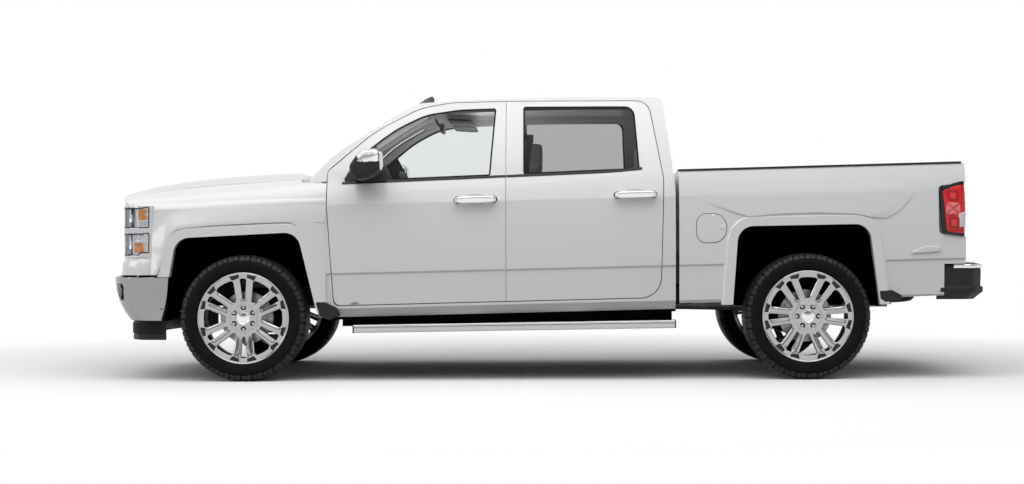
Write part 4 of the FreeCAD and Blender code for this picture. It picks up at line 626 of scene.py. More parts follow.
def build_wheel(name, body, slot, axle_x, track, turn, flip):
    cx, cy, cz = axle_x, -track / 2, axle_z
    windows, slots, pockets = wheel_outlines(turn)

    def on_face(u, v, d):
        r = math.hypot(u, v)
        crown = 0.0
        if 108.0 < r < 252.0:
            # Each spoke is highest along its middle
            around = (math.atan2(u, v) - turn + pair_step / 2) % pair_step - pair_step / 2
            off = abs(r * math.sin(around)) - (18.0 + 0.115 * r)
            crown = 7.0 * min(1.0, (off / 17.0) ** 2) * min(1.0, (r - 108.0) / 20.0, (252.0 - r) / 20.0)
        return (cx + u, cy - face_depth(r) + crown + d, cz + v)

    rim = [(face_radius * math.sin(a), face_radius * math.cos(a)) for a in angles(120)]
    bore = [(40.0 * math.sin(a), 40.0 * math.cos(a)) for a in angles(36)]
    shape = Shape()
    plate(shape, [rim, bore] + windows + slots + pockets, on_face, 40.0, 4.0, grid=8.5, steps=3, back=True)
    face = shape.make(name + "_spokes", body, slot, wheel_chrome, 40, flip)

    lip = Shape()
    lip.lathe([
        (284.0, -114.0), (286.0, -116.0), (291.6, -115.5), (291.6, -60.0), (283.0, -45.0), (268.0, -30.0),
        (268.0, 40.0), (282.0, 60.0), (291.6, 80.0), (291.6, 115.0), (295.8, 118.0), (295.0, 127.0),
        (289.0, 127.0), (284.0, 116.0), (276.0, 84.0), (262.0, 66.0), (262.0, -34.0), (274.0, -60.0),
        (279.0, -96.0),
    ], (cx, cy, cz), steps=120, closed=True)
    lip.make(name + "_barrel", body, slot, barrel_metal, 40, flip)

    rim_lip = Shape()
    rim_lip.lathe([
        (282.0, -112.0), (284.0, -118.0), (285.0, -122.0), (288.5, -125.0), (292.5, -126.5),
        (295.3, -125.0), (295.8, -120.0), (294.0, -116.5), (291.6, -112.0),
    ], (cx, cy, cz), steps=120, closed=True)
    rim_lip.make(name + "_lip", body, slot, wheel_chrome, 40, flip)

    inset = Shape()
    for pocket in pockets:
        plate(inset, [pocket], lambda u, v, d: on_face(u, v, d + 5.0), 20.0, 0.0, wall=False)
    inset.make(name + "_pockets", body, "black_plastic", gloss_black, 40, flip)

    hub = Shape()
    star = []
    for k in range(12):
        a = turn + math.pi / 6 * k
        r = 104.0 if k % 2 == 0 else 86.0
        star.append((r * math.sin(a), r * math.cos(a)))
    star = evened(rounded_loop(star, [7.0, 16.0] * 6, 4), 12.0)
    wells = []
    for k in range(6):
        a = turn + pair_step * k
        wells.append(disc_loop(bolt_circle * math.sin(a), bolt_circle * math.cos(a), 17.0, 20))

    def on_hub(u, v, d):
        return (cx + u, cy - 108.0 + d, cz + v)

    plate(hub, [star, bore] + wells, on_hub, 12.0, 3.0, grid=14.0, back=True)
    cup = [(17.0, 12.0), (16.0, 26.0), (0.01, 27.0)]
    for k in range(6):
        a = turn + pair_step * k
        c = (cx + bolt_circle * math.sin(a), cy - 108.0, cz + bolt_circle * math.cos(a))
        hub.lathe(cup, c, steps=20)
        nut = []
        for r, y in ((11.5, 24.0), (11.5, 4.0), (9.0, 1.0), (0.01, 0.0)):
            nut.append([(c[0] + r * math.cos(math.pi / 3 * j), c[1] + y,
                         c[2] + r * math.sin(math.pi / 3 * j))
                        for j in range(6)])
        hub.rings(nut, True, False)
    hub.make(name + "_hub", body, slot, wheel_chrome, 35, flip)

    cap = Shape()
    ring = []
    for r, y in ((43.0, -96.0), (43.0, -112.0), (41.0, -115.0), (37.0, -116.0), (34.0, -114.0),
                 (31.0, -114.5), (20.0, -117.5), (0.01, -119.0)):
        ring.append([(cx + r * (1 + 0.025 * math.cos(6 * a)) * math.sin(a), cy + y,
                      cz + r * (1 + 0.025 * math.cos(6 * a)) * math.cos(a))
                     for a in angles(48, turn)])
    cap.rings(ring, True, False)
    cap.make(name + "_cap", body, slot, chrome, 30, flip)

    disc = Shape()
    disc.lathe([(60.0, -4.0), (78.0, -6.0), (86.0, 16.0), (92.0, 20.0), (170.0, 20.0), (171.5, 22.0),
                (171.5, 29.0), (164.0, 29.0), (164.0, 37.0), (171.5, 37.0), (171.5, 44.0), (170.0, 46.0),
                (92.0, 46.0), (60.0, 46.0)], (cx, cy, cz), steps=72, closed=True)
    disc.lathe([(92.0, -99.0), (95.0, -96.0), (95.0, -70.0), (84.0, -60.0), (84.0, -6.0), (40.0, -6.0),
                (40.0, -99.0)],
               (cx, cy, cz), steps=48, closed=True)
    disc.make(name + "_disc", body, slot, bare_steel, 35, flip)

    valve = Shape()
    a = turn + pair_step / 2
    root = Vector((cx + 262.0 * math.sin(a), cy - 84.0, cz + 262.0 * math.cos(a)))
    tip = Vector((cx + 240.0 * math.sin(a), cy - 104.0, cz + 240.0 * math.cos(a)))
    steps = [root.lerp(tip, t) for t in (0.0, 0.35, 0.5, 0.52, 1.0)]
    valve.tube([tuple(p) for p in steps], [5.5, 4.5, 3.4, 4.6, 4.2], 12)
    valve.make(name + "_valve", body, "black_plastic", black_plastic, 35, flip)
    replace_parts(face, name)


# Tyres: a carcass with raised rings, and tread blocks round it

carcass = [
    (291.9, -114.5), (296.6, -115.8), (297.5, -122.0), (301.0, -127.5), (308.0, -131.5), (313.0, -135.5),
    (316.0, -136.0), (324.0, -138.6), (338.0, -141.0), (346.0, -141.6), (348.5, -142.6), (352.0, -142.7),
    (354.5, -141.4), (362.0, -140.2), (372.0, -137.0), (383.0, -131.5), (391.0, -124.0), (396.0, -112.0),
    (398.5, -92.0), (400.0, -50.0), (400.4, 0.0),
]


def build_tyre(name, body, axle_x, track, flip):
    cx, cy, cz = axle_x, -track / 2, axle_z
    wall = Shape()
    wall.lathe(carcass + [(r, -y) for r, y in reversed(carcass[:-1])], (cx, cy, cz), steps=144, closed=True)
    made = wall.make(name + "_carcass", body, "tyre_rubber", wall_rubber, 32, flip)
    shape = Shape()
    pitches = 66
    step = 2 * math.pi / pitches

    def block(points, foot, a0, a1, skew=0.0):
        """A tread block: its face's (radius, y) points, its foot's, and the angles it spans."""
        rings = []
        for a in (a0, a1):
            ring = [(r, y, a + skew * (y / 142.5)) for r, y in points + foot[::-1]]
            rings.append([(cx + r * math.sin(t), cy + y, cz + r * math.cos(t)) for r, y, t in ring])
        shape.rings([ring[::-1] for ring in rings], True, True)

    for i in range(pitches):
        a = i * step
        wide = 0.86 if i % 2 else 0.72
        for sign in (-1, 1):
            # Shoulder lugs reach down the sidewall by turns
            low = 0.0 if i % 2 else 1.0
            points = [(406.6, -78.0), (405.4, -104.0), (401.5, -119.0), (395.0, -129.5),
                      (385.5, -136.0 + low), (373.0 + 5 * low, -140.4 + low)]
            foot = [(398.0, -78.0), (396.0, -104.0), (392.0, -115.0), (387.0, -122.0), (378.0, -130.0),
                    (368.0 + 5 * low, -136.0)]
            points = [(r, sign * -y) for r, y in points]
            foot = [(r, sign * -y) for r, y in foot]
            if sign > 0:
                block(points, foot, a, a + step * wide)
            else:
                block(points[::-1], foot[::-1], a + step * 0.5, a + step * (0.5 + wide))
        rows = ((-50.0, 19.0, 0.25), (0.0, 21.0, 0.6), (50.0, 19.0, 0.95))
        for middle, half, shift in rows:
            points = [(407.3, middle - half), (407.5, middle), (407.3, middle + half)]
            foot = [(399.0, middle - half - 1.5), (399.0, middle), (399.0, middle + half + 1.5)]
            start = a + step * shift
            block(points, foot, start, start + step * 0.84, 0.05)
    shape.make(name + "_tread", body, "tyre_rubber", lug_rubber_painted_highlight, 32, flip)
    rings = Shape()
    for r, depth, y in ((306.5, 1.2, -131.4), (331.0, 1.0, -140.3), (334.5, 1.0, -140.9)):
        rings.lathe([(r - 1.0, y + 0.6), (r - 0.5, y - depth), (r + 0.5, y - depth), (r + 1.0, y + 0.4)],
                    (cx, cy, cz), steps=120)
    rings.make(name + "_rings", body, "tyre_rubber", rubber, 60, flip)
    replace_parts(made, name)


for side, flip in SIDES:
    for end, axle_x, track, turn in (
        ("front", front_axle_x, front_track, 0.0), ("rear", rear_axle_x, rear_track, math.pi / 6),
    ):
        wheel_body = "wheel_" + end + "_" + side
        build_wheel(wheel_body, wheel_body, "wheel_chrome", axle_x, track, turn, flip)
        build_tyre("tyre_" + end + "_" + side, wheel_body, axle_x, track, flip)


# The front's curve in plan, as in the CAD model

def arc_through(p, q, r):
    """Centre and radius of the circle through three points."""
    ax, ay = p
    bx, by = q
    cx, cy = r
    d = 2 * (ax * (by - cy) + bx * (cy - ay) + cx * (ay - by))
    pa, pb, pc = ax ** 2 + ay ** 2, bx ** 2 + by ** 2, cx ** 2 + cy ** 2
    ux = (pa * (by - cy) + pb * (cy - ay) + pc * (ay - by)) / d
    uy = (pa * (cx - bx) + pb * (ax - cx) + pc * (bx - ax)) / d
    return (ux, uy), math.dist((ux, uy), p)


nose_tip_x = -2849.5
face_end = (nose_tip_x + 121.0, 800.0)
corner_end = (nose_tip_x + 215.0, 945.0)
face_circle = arc_through((face_end[0], -800.0), (nose_tip_x, 0.0), face_end)
corner_middle = ((face_end[0] + corner_end[0]) / 2 - 26.0, (face_end[1] + corner_end[1]) / 2 + 26.0)
corner_circle = arc_through(face_end, corner_middle, corner_end)


def face_x(y):
    """Where the nose's face stands at a distance from the middle plane."""
    y = abs(y)
    circle = face_circle if y <= 800.0 else corner_circle
    (cx, cy), r = circle
    rest = r * r - (y - cy) ** 2
    if rest <= 0:
        return cx
    return cx - math.sqrt(rest)


def measured(points):
    """Each point with its distance along the line of the points before it."""
    out, total, last = [], 0.0, None
    for point in points:
        total += math.dist(point, last) if last else 0.0
        out.append((total, point))
        last = point
    return out


def arc_line(ring, start, stop, steps):
    """Points along a circle from start to stop, without the first."""
    (cx, cy), r = ring
    a0, a1 = (math.atan2(p[1] - cy, p[0] - cx) % (2 * math.pi) for p in (start, stop))
    turns = [a0 + (a1 - a0) * k / steps for k in range(1, steps + 1)]
    return [(cx + r * math.cos(a), cy + r * math.sin(a)) for a in turns]


# Lines round the nose are measured along its outline in plan, from the middle plane outwards
nose_run = measured(
    [(face_x(800.0 * k / 160), 800.0 * k / 160) for k in range(161)]
    + arc_line(corner_circle, face_end, corner_end, 40)
    + spline([corner_end, (-2622.0, 957.0), (-2581.0, 962.0), (-2420.0, 974.0), (-2234.0, 986.0)], 8)[1:]
)


def at_run(s):
    """(x, y, outward x, outward y) at a distance along the nose's outline; y is on the right."""
    side = 1 if s >= 0 else -1
    s = abs(s)
    for (s0, p0), (s1, p1) in zip(nose_run, nose_run[1:]):
        if s <= s1:
            t = (s - s0) / (s1 - s0)
            x, y = p0[0] + (p1[0] - p0[0]) * t, p0[1] + (p1[1] - p0[1]) * t
            dx, dy = p1[0] - p0[0], p1[1] - p0[1]
            n = math.hypot(dx, dy)
            return x, side * y, -dy / n, side * dx / n
    (s0, p0), (s1, p1) = nose_run[-2:]
    return p1[0], side * p1[1], 0.0, float(side)


def run_of(y=None, x=None):
    """The distance along the outline at which it reaches y, or station x round the corner."""
    for s, point in nose_run:
        if y is not None and point[1] >= y:
            return s
        if x is not None and point[0] >= x and point[1] > 790.0:
            return s
    return nose_run[-1][0]


def on_nose(s, z, out):
    """A point at a distance along the outline and a height, standing out from it."""
    x, y, nx, ny = at_run(s)
    return (x + nx * out, y + ny * out, z)


lamp_in = -run_of(y=640.0)
lamp_out = -run_of(x=-2536.0)
lamp_body_out = -run_of(x=-2583.0)

clear_lens = glass_of("lamp_lens", (0.6, 0.62, 0.64), (0.93, 0.94, 0.95))
amber_lens = finish_of("lamp_amber", (0.80, 0.27, 0.05), 0.25, coat=0.5, mottle=0.30, mottle_scale=34.0)
red_lens = finish_of("lamp_red", (0.86, 0.012, 0.018), 0.2, coat=0.3, specular=0.3, mottle=0.18,
                     mottle_scale=16.0)
red_deep = finish_of("lamp_red_deep", (0.42, 0.004, 0.008), 0.22, coat=0.3, specular=0.3, mottle=0.2,
                     mottle_scale=22.0)
red_glow = finish_of("lamp_red_glow", (0.95, 0.05, 0.05), 0.2, coat=0.3, specular=0.3, mottle=0.1,
                     mottle_scale=20.0)
red_pale = finish_of("lamp_red_pale", (0.90, 0.22, 0.22), 0.18, coat=0.3, specular=0.4, mottle=0.1,
                     mottle_scale=20.0)
lamp_white = finish_of("lamp_white", (0.78, 0.74, 0.76), 0.15, coat=1.0, mottle=0.06, mottle_scale=40.0)
lamp_pale = finish_of("lamp_pale", (0.70, 0.70, 0.72), 0.22, metal=0.25, coat=0.5, mottle=0.10,
                      mottle_scale=45.0)
lamp_chrome = finish_of("lamp_chrome", (0.50, 0.505, 0.515), 0.12, metal=1.0, mottle=0.04,
                        mottle_scale=12.0)
fog_dark = finish_of("fog_dark", (0.10, 0.10, 0.105), 0.15, metal=0.8, mottle=0.1, mottle_scale=20.0)
reflector = finish_of("lamp_reflector", (0.85, 0.86, 0.88), 0.12, metal=1.0, mottle=0.05, mottle_scale=30.0)


def nose_box(shape, s0, s1, z0, z1, out0, out1, steps=10):
    """A bar along the nose's outline between two heights and two stand-outs."""
    rings = []
    for k in range(steps + 1):
        t = k / steps
        s = s0 + (s1 - s0) * t
        rings.append([on_nose(s, z, out) for z, out in ((z0, out0), (z0, out1), (z1, out1), (z1, out0))])
    return shape.rings(rings, True, True)


def build_lamp(side, flip):
    """One stacked pair of lamps in its bright surround, on the left or the right."""
    name = "headlamp_" + side
    frame_shape = Shape()
    s0, s1 = lamp_out, lamp_in - 6.0
    heights = ((801.0, 968.0), (980.0, 1135.0))
    holes = []
    for z0, z1 in heights:
        z0i, z1i = z0 + 15.0, z1 - 13.0
        if z0 < 900.0:
            hole = [(s0 + 16.0, z0i + 16.0), (s0 + 70.0, z0i + 16.0), (s0 + 88.0, z0i), (s1 - 20.0, z0i),
                    (s1 - 20.0, z1i), (s0 + 60.0, z1i), (s0 + 44.0, z1i + 5.0), (s0 + 14.0, z1i + 5.0)]
        else:
            hole = [(s0 + 16.0, z0i), (s1 - 20.0, z0i), (s1 - 20.0, z1i), (s0 + 60.0, z1i),
                    (s0 + 44.0, z1i + 5.0), (s0 + 14.0, z1i + 5.0)]
        holes.append(evened(rounded_loop(hole, 7.0, 4), 22.0))
    outline = rounded_loop([(s0, 799.5), (s1, 799.5), (s1, 1136.5), (s0 - 16.0, 1136.5)], 10.0, 4)
    outline = evened(outline, 22.0)

    def on_frame(u, v, d):
        return on_nose(u, v, 5.0 - d)

    plate(frame_shape, [outline] + holes, on_frame, 44.0, 3.5, grid=40.0, back=False)
    surround = frame_shape.make(name + "_surround", "root", "chrome_trim", lamp_chrome, 40, flip)
    gasket = Shape()
    for hole in holes:
        plate(gasket, [grown(hole, 1.5), grown(hole, -4.5)], lambda u, v, d: on_nose(u, v, 5.9 - d),
              9.0, 0.8, steps=2)
    gasket.make(name + "_gaskets", "root", "black_plastic", black_plastic, 40, flip)

    bowl = Shape()
    amber = Shape()
    lens = Shape()
    inner = Shape()
    for z0, z1 in heights:
        z0, z1 = z0 + 12.0, z1 - 6.0
        edge0, edge1 = s0 + 10.0, s1 - 16.0
        # The bowl: a back wall with ribs, a round reflector inboard, an amber marker at the corner
        nose_box(bowl, lamp_body_out + 4.0, edge1, z0, z1, -64.0, -58.0, 14)
        nose_box(bowl, lamp_body_out + 4.0, edge1, z0 - 2.0, z0 + 3.0, -60.0, -2.0, 14)
        nose_box(bowl, lamp_body_out + 4.0, edge1, z1 - 3.0, z1 + 2.0, -60.0, -2.0, 14)
        upper = z0 > 900.0
        split = -run_of(x=-2620.0 if upper else -2644.0)
        near = -run_of(x=-2568.0)
        foot, top = (1042.0, 1112.0) if upper else (834.0, 898.0)
        for k in range(9):
            s = near + 5.0 + k * (split - near - 10.0) / 8
            nose_box(amber, s - 3.0, s + 3.0, foot + 3.0, top - 2.0 - 1.5 * (k % 3), -6.0,
                     2.4 + 0.6 * (k % 2), 1)
        nose_box(amber, near, split, foot, top, -20.0, 1.8, 8)
        nose_box(bowl, edge0 + 1.0, split + 16.0, z0, z1, -22.0, 0.4, 10)
        for k in range(4):
            v = z0 + 8.0 + k * (z1 - z0 - 16.0) / 3
            nose_box(inner, edge0 + 4.0, split + 10.0, v - 1.6, v + 1.6, -4.0, 1.6, 8)
        for k in range(3):
            s = split + 14.0 + k * 12.0
            nose_box(bowl, s - 3.5, s + 3.5, z0 + 4.0, z1 - 4.0, -58.0, -26.0 - k * 4.0, 1)
        middle_s = split + (edge1 - split) * 0.60
        middle_z = (z0 + z1) / 2
        x, y, nx, ny = at_run(middle_s)
        rings = []
        tangent = Vector((-ny, nx, 0.0))
        out_way = Vector((nx, ny, 0.0))
        for r, out in ((66.0, -22.0), (60.0, -30.0), (50.0, -44.0), (38.0, -54.0), (32.0, -56.0),
                       (30.0, -40.0), (26.0, -34.0), (14.0, -30.0), (0.01, -29.0)):
            ring = []
            for j in range(40):
                a = 2 * math.pi * j / 40
                p = Vector((x, y, middle_z)) + tangent * (r * math.cos(a)) + out_way * out
                p.z += r * math.sin(a)
                ring.append(tuple(p))
            rings.append(ring)
        inner.rings(rings, True, False)

        def on_lens(u, v, d):
            return on_nose(u, v, 4.2 - d)

        glass_outline = box_loop(edge0 - 4.0, edge1 + 4.0, z0 - 4.0, z1 + 4.0, 8.0, 4)
        plate(lens, [evened(glass_outline, 30.0)], on_lens, 3.0, 0.0, grid=45.0, back=True)
    bowl.make(name + "_bowl", "root", "lamp_clear", lamp_pale, 30, flip)
    inner.make(name + "_reflector", "root", "lamp_clear", reflector, 40, flip)
    amber.make(name + "_amber", "root", "lamp_clear", amber_lens, 30, flip)
    lens.make(name + "_lens", "root", "lamp_clear", clear_lens, 60, flip)
    backing = Shape()
    s0 = lamp_body_out
    nose_box(backing, s0 + 2.0, s1 - 2.0, 803.0, 1133.0, -86.0, -64.5, 14)
    for low, high in ((803.0, 812.0), (1126.0, 1133.0), (962.0, 986.0)):
        nose_box(backing, s0 + 2.0, s1 - 2.0, low, high, -70.0, -6.0, 14)
    nose_box(backing, s0 + 2.0, s0 + 8.0, 803.0, 1133.0, -70.0, -6.0, 2)
    nose_box(backing, s1 - 8.0, s1 - 2.0, 803.0, 1133.0, -70.0, -34.0, 2)
    backing.make(name + "_housing", "root", "black_plastic", black_plastic, 30, flip)
    return surround


for side, flip in SIDES:
    lamp_frame = build_lamp(side, flip)
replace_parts(lamp_frame, "headlamps")


# Grille: bright frame, two fields of slots, and a wide crossbar left bare
grille_half_run = run_of(y=632.0)
grille_fields = ((832.0, 916.0), (1020.0, 1104.0))
slab = Shape()
outline = evened([(-grille_half_run, 800.0), (grille_half_run, 800.0), (grille_half_run, 1136.0),
                           (-grille_half_run, 1136.0)], 30.0, 0.5)
holes = []
for z0, z1 in grille_fields:
    wide = grille_half_run - 34.0
    holes.append(evened(box_loop(-wide, wide, z0, z1, 12.0, 4), 30.0))
plate(slab, [outline] + holes, lambda u, v, d: on_nose(u, v, 2.0 + 6.0 * math.cos((v - 968.0) / 60.0)
                                                        * (abs(v - 968.0) < 94.0) - d),
      56.0, 5.0, grid=24.0, back=True)
grille_frame = slab.make("grille_surround", "root", "chrome_trim", chrome, 40)
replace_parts(grille_frame, "grille")
mesh_shape = Shape()
for z0, z1 in grille_fields:
    wide = grille_half_run - 36.0
    for k in range(4):
        z = z0 + 8.0 + k * (z1 - z0 - 16.0) / 3
        nose_box(mesh_shape, -wide, wide, z - 3.2, z + 3.2, -34.0, -12.0 + 3.0 * (k % 2), 40)
    for k in range(27):
        s = -wide + 2 * wide * (k + 0.5) / 27
        nose_box(mesh_shape, s - 2.6, s + 2.6, z0 - 4.0, z1 + 4.0, -34.0, -16.0, 1)
    nose_box(mesh_shape, -wide - 4.0, wide + 4.0, z0 - 6.0, z1 + 6.0, -52.0, -46.0, 40)
mesh_shape.make("grille_mesh", "root", "black_plastic", gloss_black, 30)
trims = Shape()
for z in (824.0, 924.0, 1012.0, 1112.0):
    nose_box(trims, -grille_half_run + 18.0, grille_half_run - 18.0, z - 2.5, z + 2.5, 0.0, 9.5, 40)
trims.make("grille_lines", "root", "chrome_trim", chrome, 30)


# The cab's side in cross-section, as in the CAD model

def arc_y(z, p0, pm, p1):
    """The y at height z on the arc through three (y, z) points."""
    if abs((pm[0] - p0[0]) * (p1[1] - p0[1]) - (p1[0] - p0[0]) * (pm[1] - p0[1])) < 1e-6:
        return p0[0] + (p1[0] - p0[0]) * (z - p0[1]) / (p1[1] - p0[1])
    (cy, cz), r = arc_through(p0, pm, p1)
    rest = math.sqrt(max(0.0, r * r - (z - cz) ** 2))
    return min((cy - rest, cy + rest), key=lambda y: abs(y - pm[0]))


def line_y(z, p0, p1):
    return p0[0] + (p1[0] - p0[0]) * (z - p0[1]) / (p1[1] - p0[1])


def natural_spline(xs, ys):
    """A function through the points, smooth to its second derivative."""
    n = len(xs)
    h = [xs[i + 1] - xs[i] for i in range(n - 1)]
    a = [0.0] * n
    b = [1.0] * n
    c = [0.0] * n
    d = [0.0] * n
    for i in range(1, n - 1):
        a[i], b[i], c[i] = h[i - 1], 2 * (h[i - 1] + h[i]), h[i]
        d[i] = 6 * ((ys[i + 1] - ys[i]) / h[i] - (ys[i] - ys[i - 1]) / h[i - 1])
    for i in range(1, n):
        m = a[i] / b[i - 1]
        b[i] -= m * c[i - 1]
        d[i] -= m * d[i - 1]
    k = [0.0] * n
    k[-1] = d[-1] / b[-1]
    for i in range(n - 2, -1, -1):
        k[i] = (d[i] - c[i] * k[i + 1]) / b[i]

    def at(x):
        i = max(0, min(n - 2, sum(1 for v in xs[1:] if x > v)))
        t, s = x - xs[i], xs[i + 1] - x
        return ((k[i] * s ** 3 + k[i + 1] * t ** 3) / (6 * h[i]) + (ys[i] / h[i] - k[i] * h[i] / 6) * s
                + (ys[i + 1] / h[i] - k[i + 1] * h[i] / 6) * t)

    return at


roof_line = natural_spline([50.0, 1100.0, 1936.0, 2400.0, 2960.0],
                           [1886.0 - 70.0 * share for share in (1.0, 0.50, 0.04, 0.0, 0.08)])


def sloped(height, x):
    """The height at a station of a line along the body, all of which rise a little to the rear."""
    return height + 0.021 * x


def sill_at(x):
    return sloped(438.0, x)


def lower_side_y(x, z, w, top_y, top_z, bulge):
    """The y of the left side's skin, from the sill over the crease and the waist up to a top edge."""
    sill, crease, waist = sill_at(x), sloped(712.0, x), sloped(1165.0, x)
    if z < sill + 58.0:
        return line_y(z, (-(w - 62.0), sill), (-(w - 20.0), sill + 58.0))
    if z < crease:
        return line_y(z, (-(w - 20.0), sill + 58.0), (-(w - 9.0), crease))
    if z < crease + 14.0:
        return line_y(z, (-(w - 9.0), crease), (-w, crease + 14.0))
    if z < waist:
        return arc_y(z, (-w, crease + 14.0), (-(w + 2.0), (crease + waist) / 2), (-(w - 4.0), waist))
    return arc_y(z, (-(w - 4.0), waist), (-((w + top_y) / 2 + bulge), (waist + top_z) / 2), (-top_y, top_z))


def belt_at(x):
    return 1330.0 + 0.040 * x


side_creases = [lambda x, lift=lift: sloped(lift, x) for lift in (496.0, 712.0, 726.0, 1164.0, 1167.0)]


def cab_side_y(x, z):
    """The y of the cab's left skin at a station and a height."""
    belt = belt_at(x)
    if z < belt:
        return lower_side_y(x, z, 1006.0, 944.0, belt, 2.0)
    top = roof_line(x - front_axle_x)
    rail = (-742.0, top - 92.0)
    edge = (-628.0, top - 33.0)
    if z < rail[1]:
        return arc_y(z, (-944.0, belt), (-855.0, (belt + rail[1]) / 2), rail)
    corner = ((rail[0] + edge[0]) / 2 - 14.0, (rail[1] + edge[1]) / 2 + 14.0)
    return arc_y(min(z, edge[1]), rail, corner, edge)


# Doors: rounded skins over the CAD doors, with seals, mouldings and handles
front_door_line = rounded_loop([
    (-1347.5, 490.7), (-1393.5, 1165.0), (-1393.5, 1352.0), (-1100.5, 1612.0), (-806.5, 1772.0),
    (-606.5, 1812.0), (-244.0, 1820.0), (-244.0, 514.9),
], [40.0, 900.0, 40.0, 900.0, 420.0, 420.0, 0.0, 0.0], 8)
rear_door_line = rounded_loop([
    (-237.0, 515.0), (-237.0, 1820.0), (689.5, 1820.0), (775.5, 1300.0), (753.5, 536.3),
], [0.0, 0.0, 90.0, 300.0, 130.0], 8)
front_window_line = rounded_loop([
    (-1300.5, 1284.0), (-1206.5, 1446.0), (-958.5, 1641.0), (-766.5, 1735.0), (-546.5, 1768.0),
    (-303.5, 1776.0), (-340.5, 1322.4),
], [16.0, 300.0, 900.0, 420.0, 420.0, 16.0, 16.0], 6)
rear_window_line = rounded_loop([
    (-128.5, 1330.9), (-128.5, 1786.0), (601.5, 1786.0), (627.5, 1361.1),
], [16.0, 16.0, 66.0, 16.0], 6)


def on_cab(out):
    def place(u, v, d):
        return (u, cab_side_y(u, v) - out + d, v)
    return place


door_lines = {"front": (front_door_line, front_window_line), "rear": (rear_door_line, rear_window_line)}
handles = {"front": (-435.5, 1168.0), "rear": (595.5, 1197.0)}


def build_door(end, side, flip):
    body = "door_" + end + "_" + side
    line, window = door_lines[end]
    skin = Shape()
    outline = evened(grown(line, 2.5), 45.0, 1.0)
    hole = evened(grown(window, -0.8), 30.0, 1.0)
    plate(skin, [outline, hole], on_cab(1.8), 9.0, 2.4, grid=46.0, steps=3, creases=side_creases)
    skin.make(body + "_skin", body, "body_paint", paint, 28, flip)

    # The seal round the glass, a thin dark frame set into the opening
    seal = Shape()
    outer = evened(grown(window, -0.2), 30.0, 1.0)
    inner = evened(grown(window, -11.0), 30.0, 1.0)
    plate(seal, [outer, inner], on_cab(-2.0), 10.0, 1.5, grid=0.0, steps=2)
    seal.make(body + "_seal", body, "black_plastic", seal_rubber, 40, flip)

    # The moulding along the foot of the window
    strip = Shape()
    x0 = min(p[0] for p in outline) + (96.0 if end == "front" else 2.5)
    x1 = max(p[0] for p in window) + 16.0 if end == "rear" else max(p[0] for p in outline) - 1.0
    rings = []
    steps = 30
    for k in range(steps + 1):
        x = x0 + (x1 - x0) * k / steps
        rise = 0.0
        if end == "rear" and x > 300.0:
            rise = 12.0 * ((x - 300.0) / 340.0) ** 2
        z = belt_at(x) + rise - 8.0
        ring = []
        for dz, out in ((0.0, -1.0), (0.0, 4.0), (2.0, 6.0), (12.0, 7.0), (15.0, 5.5), (17.0, 2.0),
                        (17.0, -3.0)):
            ring.append((x, cab_side_y(x, z + dz) - out, z + dz))
        rings.append(ring)
    strip.rings(rings, True, True)
    strip.make(body + "_moulding", body, "black_plastic", gloss_black, 40, flip)

    cx, cz = handles[end]
    bar = Shape()
    rings = []
    for k in range(41):
        u = -133.0 + 266.0 * k / 40
        a = abs(u)
        taper = max(0.0, (a - 96.0) / 37.0)
        outer_y = -1057.5 + 17.0 * taper ** 2.2
        inner_y = -1026.0 if a < 96.0 else -1026.0 + 30.0 * min(1.0, (a - 96.0) / 7.0)
        half = 20.5 - 4.5 * taper ** 2 + 1.5 * math.cos(u / 133.0 * math.pi / 2)
        mid, deep = (outer_y + inner_y) / 2, (inner_y - outer_y) / 2
        ring = []
        for j in range(24):
            t = 2 * math.pi * j / 24
            c, s = math.cos(t), math.sin(t)
            ring.append((cx + u, mid + deep * math.copysign(abs(c) ** 0.55, c),
                         cz + 0.021 * u + half * math.copysign(abs(s) ** 0.55, s)))
        rings.append(ring)
    bar.rings(rings, True, True)
    bar.make(body + "_handle", body, "chrome_trim", chrome, 50, flip)
    gaskets = Shape()
    for sign in (-1, 1):
        foot = disc_loop(cx + sign * 117.0, cz + sign * 2.4, 24.0, 32)
        plate(gaskets, [foot], on_cab(5.0), 6.0, 1.5, steps=2)
    gaskets.make(body + "_gaskets", body, "black_plastic", gloss_black, 40, flip)

    # The dish behind the handle: a rolled rim round a hollow, in darker paint that is painted shade of the
    # recess
    dish = Shape()
    rings = []
    for share, out in ((1.08, 1.6), (1.06, 2.8), (1.02, 3.6), (0.98, 3.2), (0.95, 2.2), (0.7, 2.1),
                       (0.01, 2.05)):
        rings.append([(cx + 74.0 * share * math.cos(a),
                       cab_side_y(cx, cz + 35.0 * share * math.sin(a)) - out,
                       cz + 2.0 + 35.0 * share * math.sin(a)) for a in angles(56)])
    dish.rings(rings[::-1], True, False)
    dish.make(body + "_dish", body, "body_paint", painted_shade_dish, 40, flip)
    if end == "front":
        lock = Shape()
        plug = disc_loop(cx + 150.0, cz + 4.0, 9.0, 24)
        plate(lock, [plug], on_cab(4.0), 5.0, 1.2, steps=2)
        lock.make(body + "_lock", body, "chrome_trim", chrome, 40, flip)


for side, flip in SIDES:
    for end in ("front", "rear"):
        build_door(end, side, flip)


# Mirrors: a bright cap over a dark shell, on a sail plate in the window's corner
mirror_glass = finish_of("mirror_glass", (0.62, 0.64, 0.66), 0.03, metal=1.0, mottle=0.01, mottle_scale=5.0)
head_line = rounded_loop([
    (-1229.0, 1384.0), (-1226.0, 1330.0), (-1172.0, 1284.0), (-1082.0, 1312.0), (-1029.0, 1352.0),
    (-1033.0, 1470.0), (-1058.0, 1491.0), (-1134.0, 1489.0), (-1186.0, 1446.0),
], [40.0, 46.0, 40.0, 40.0, 26.0, 16.0, 18.0, 40.0, 60.0], 5)


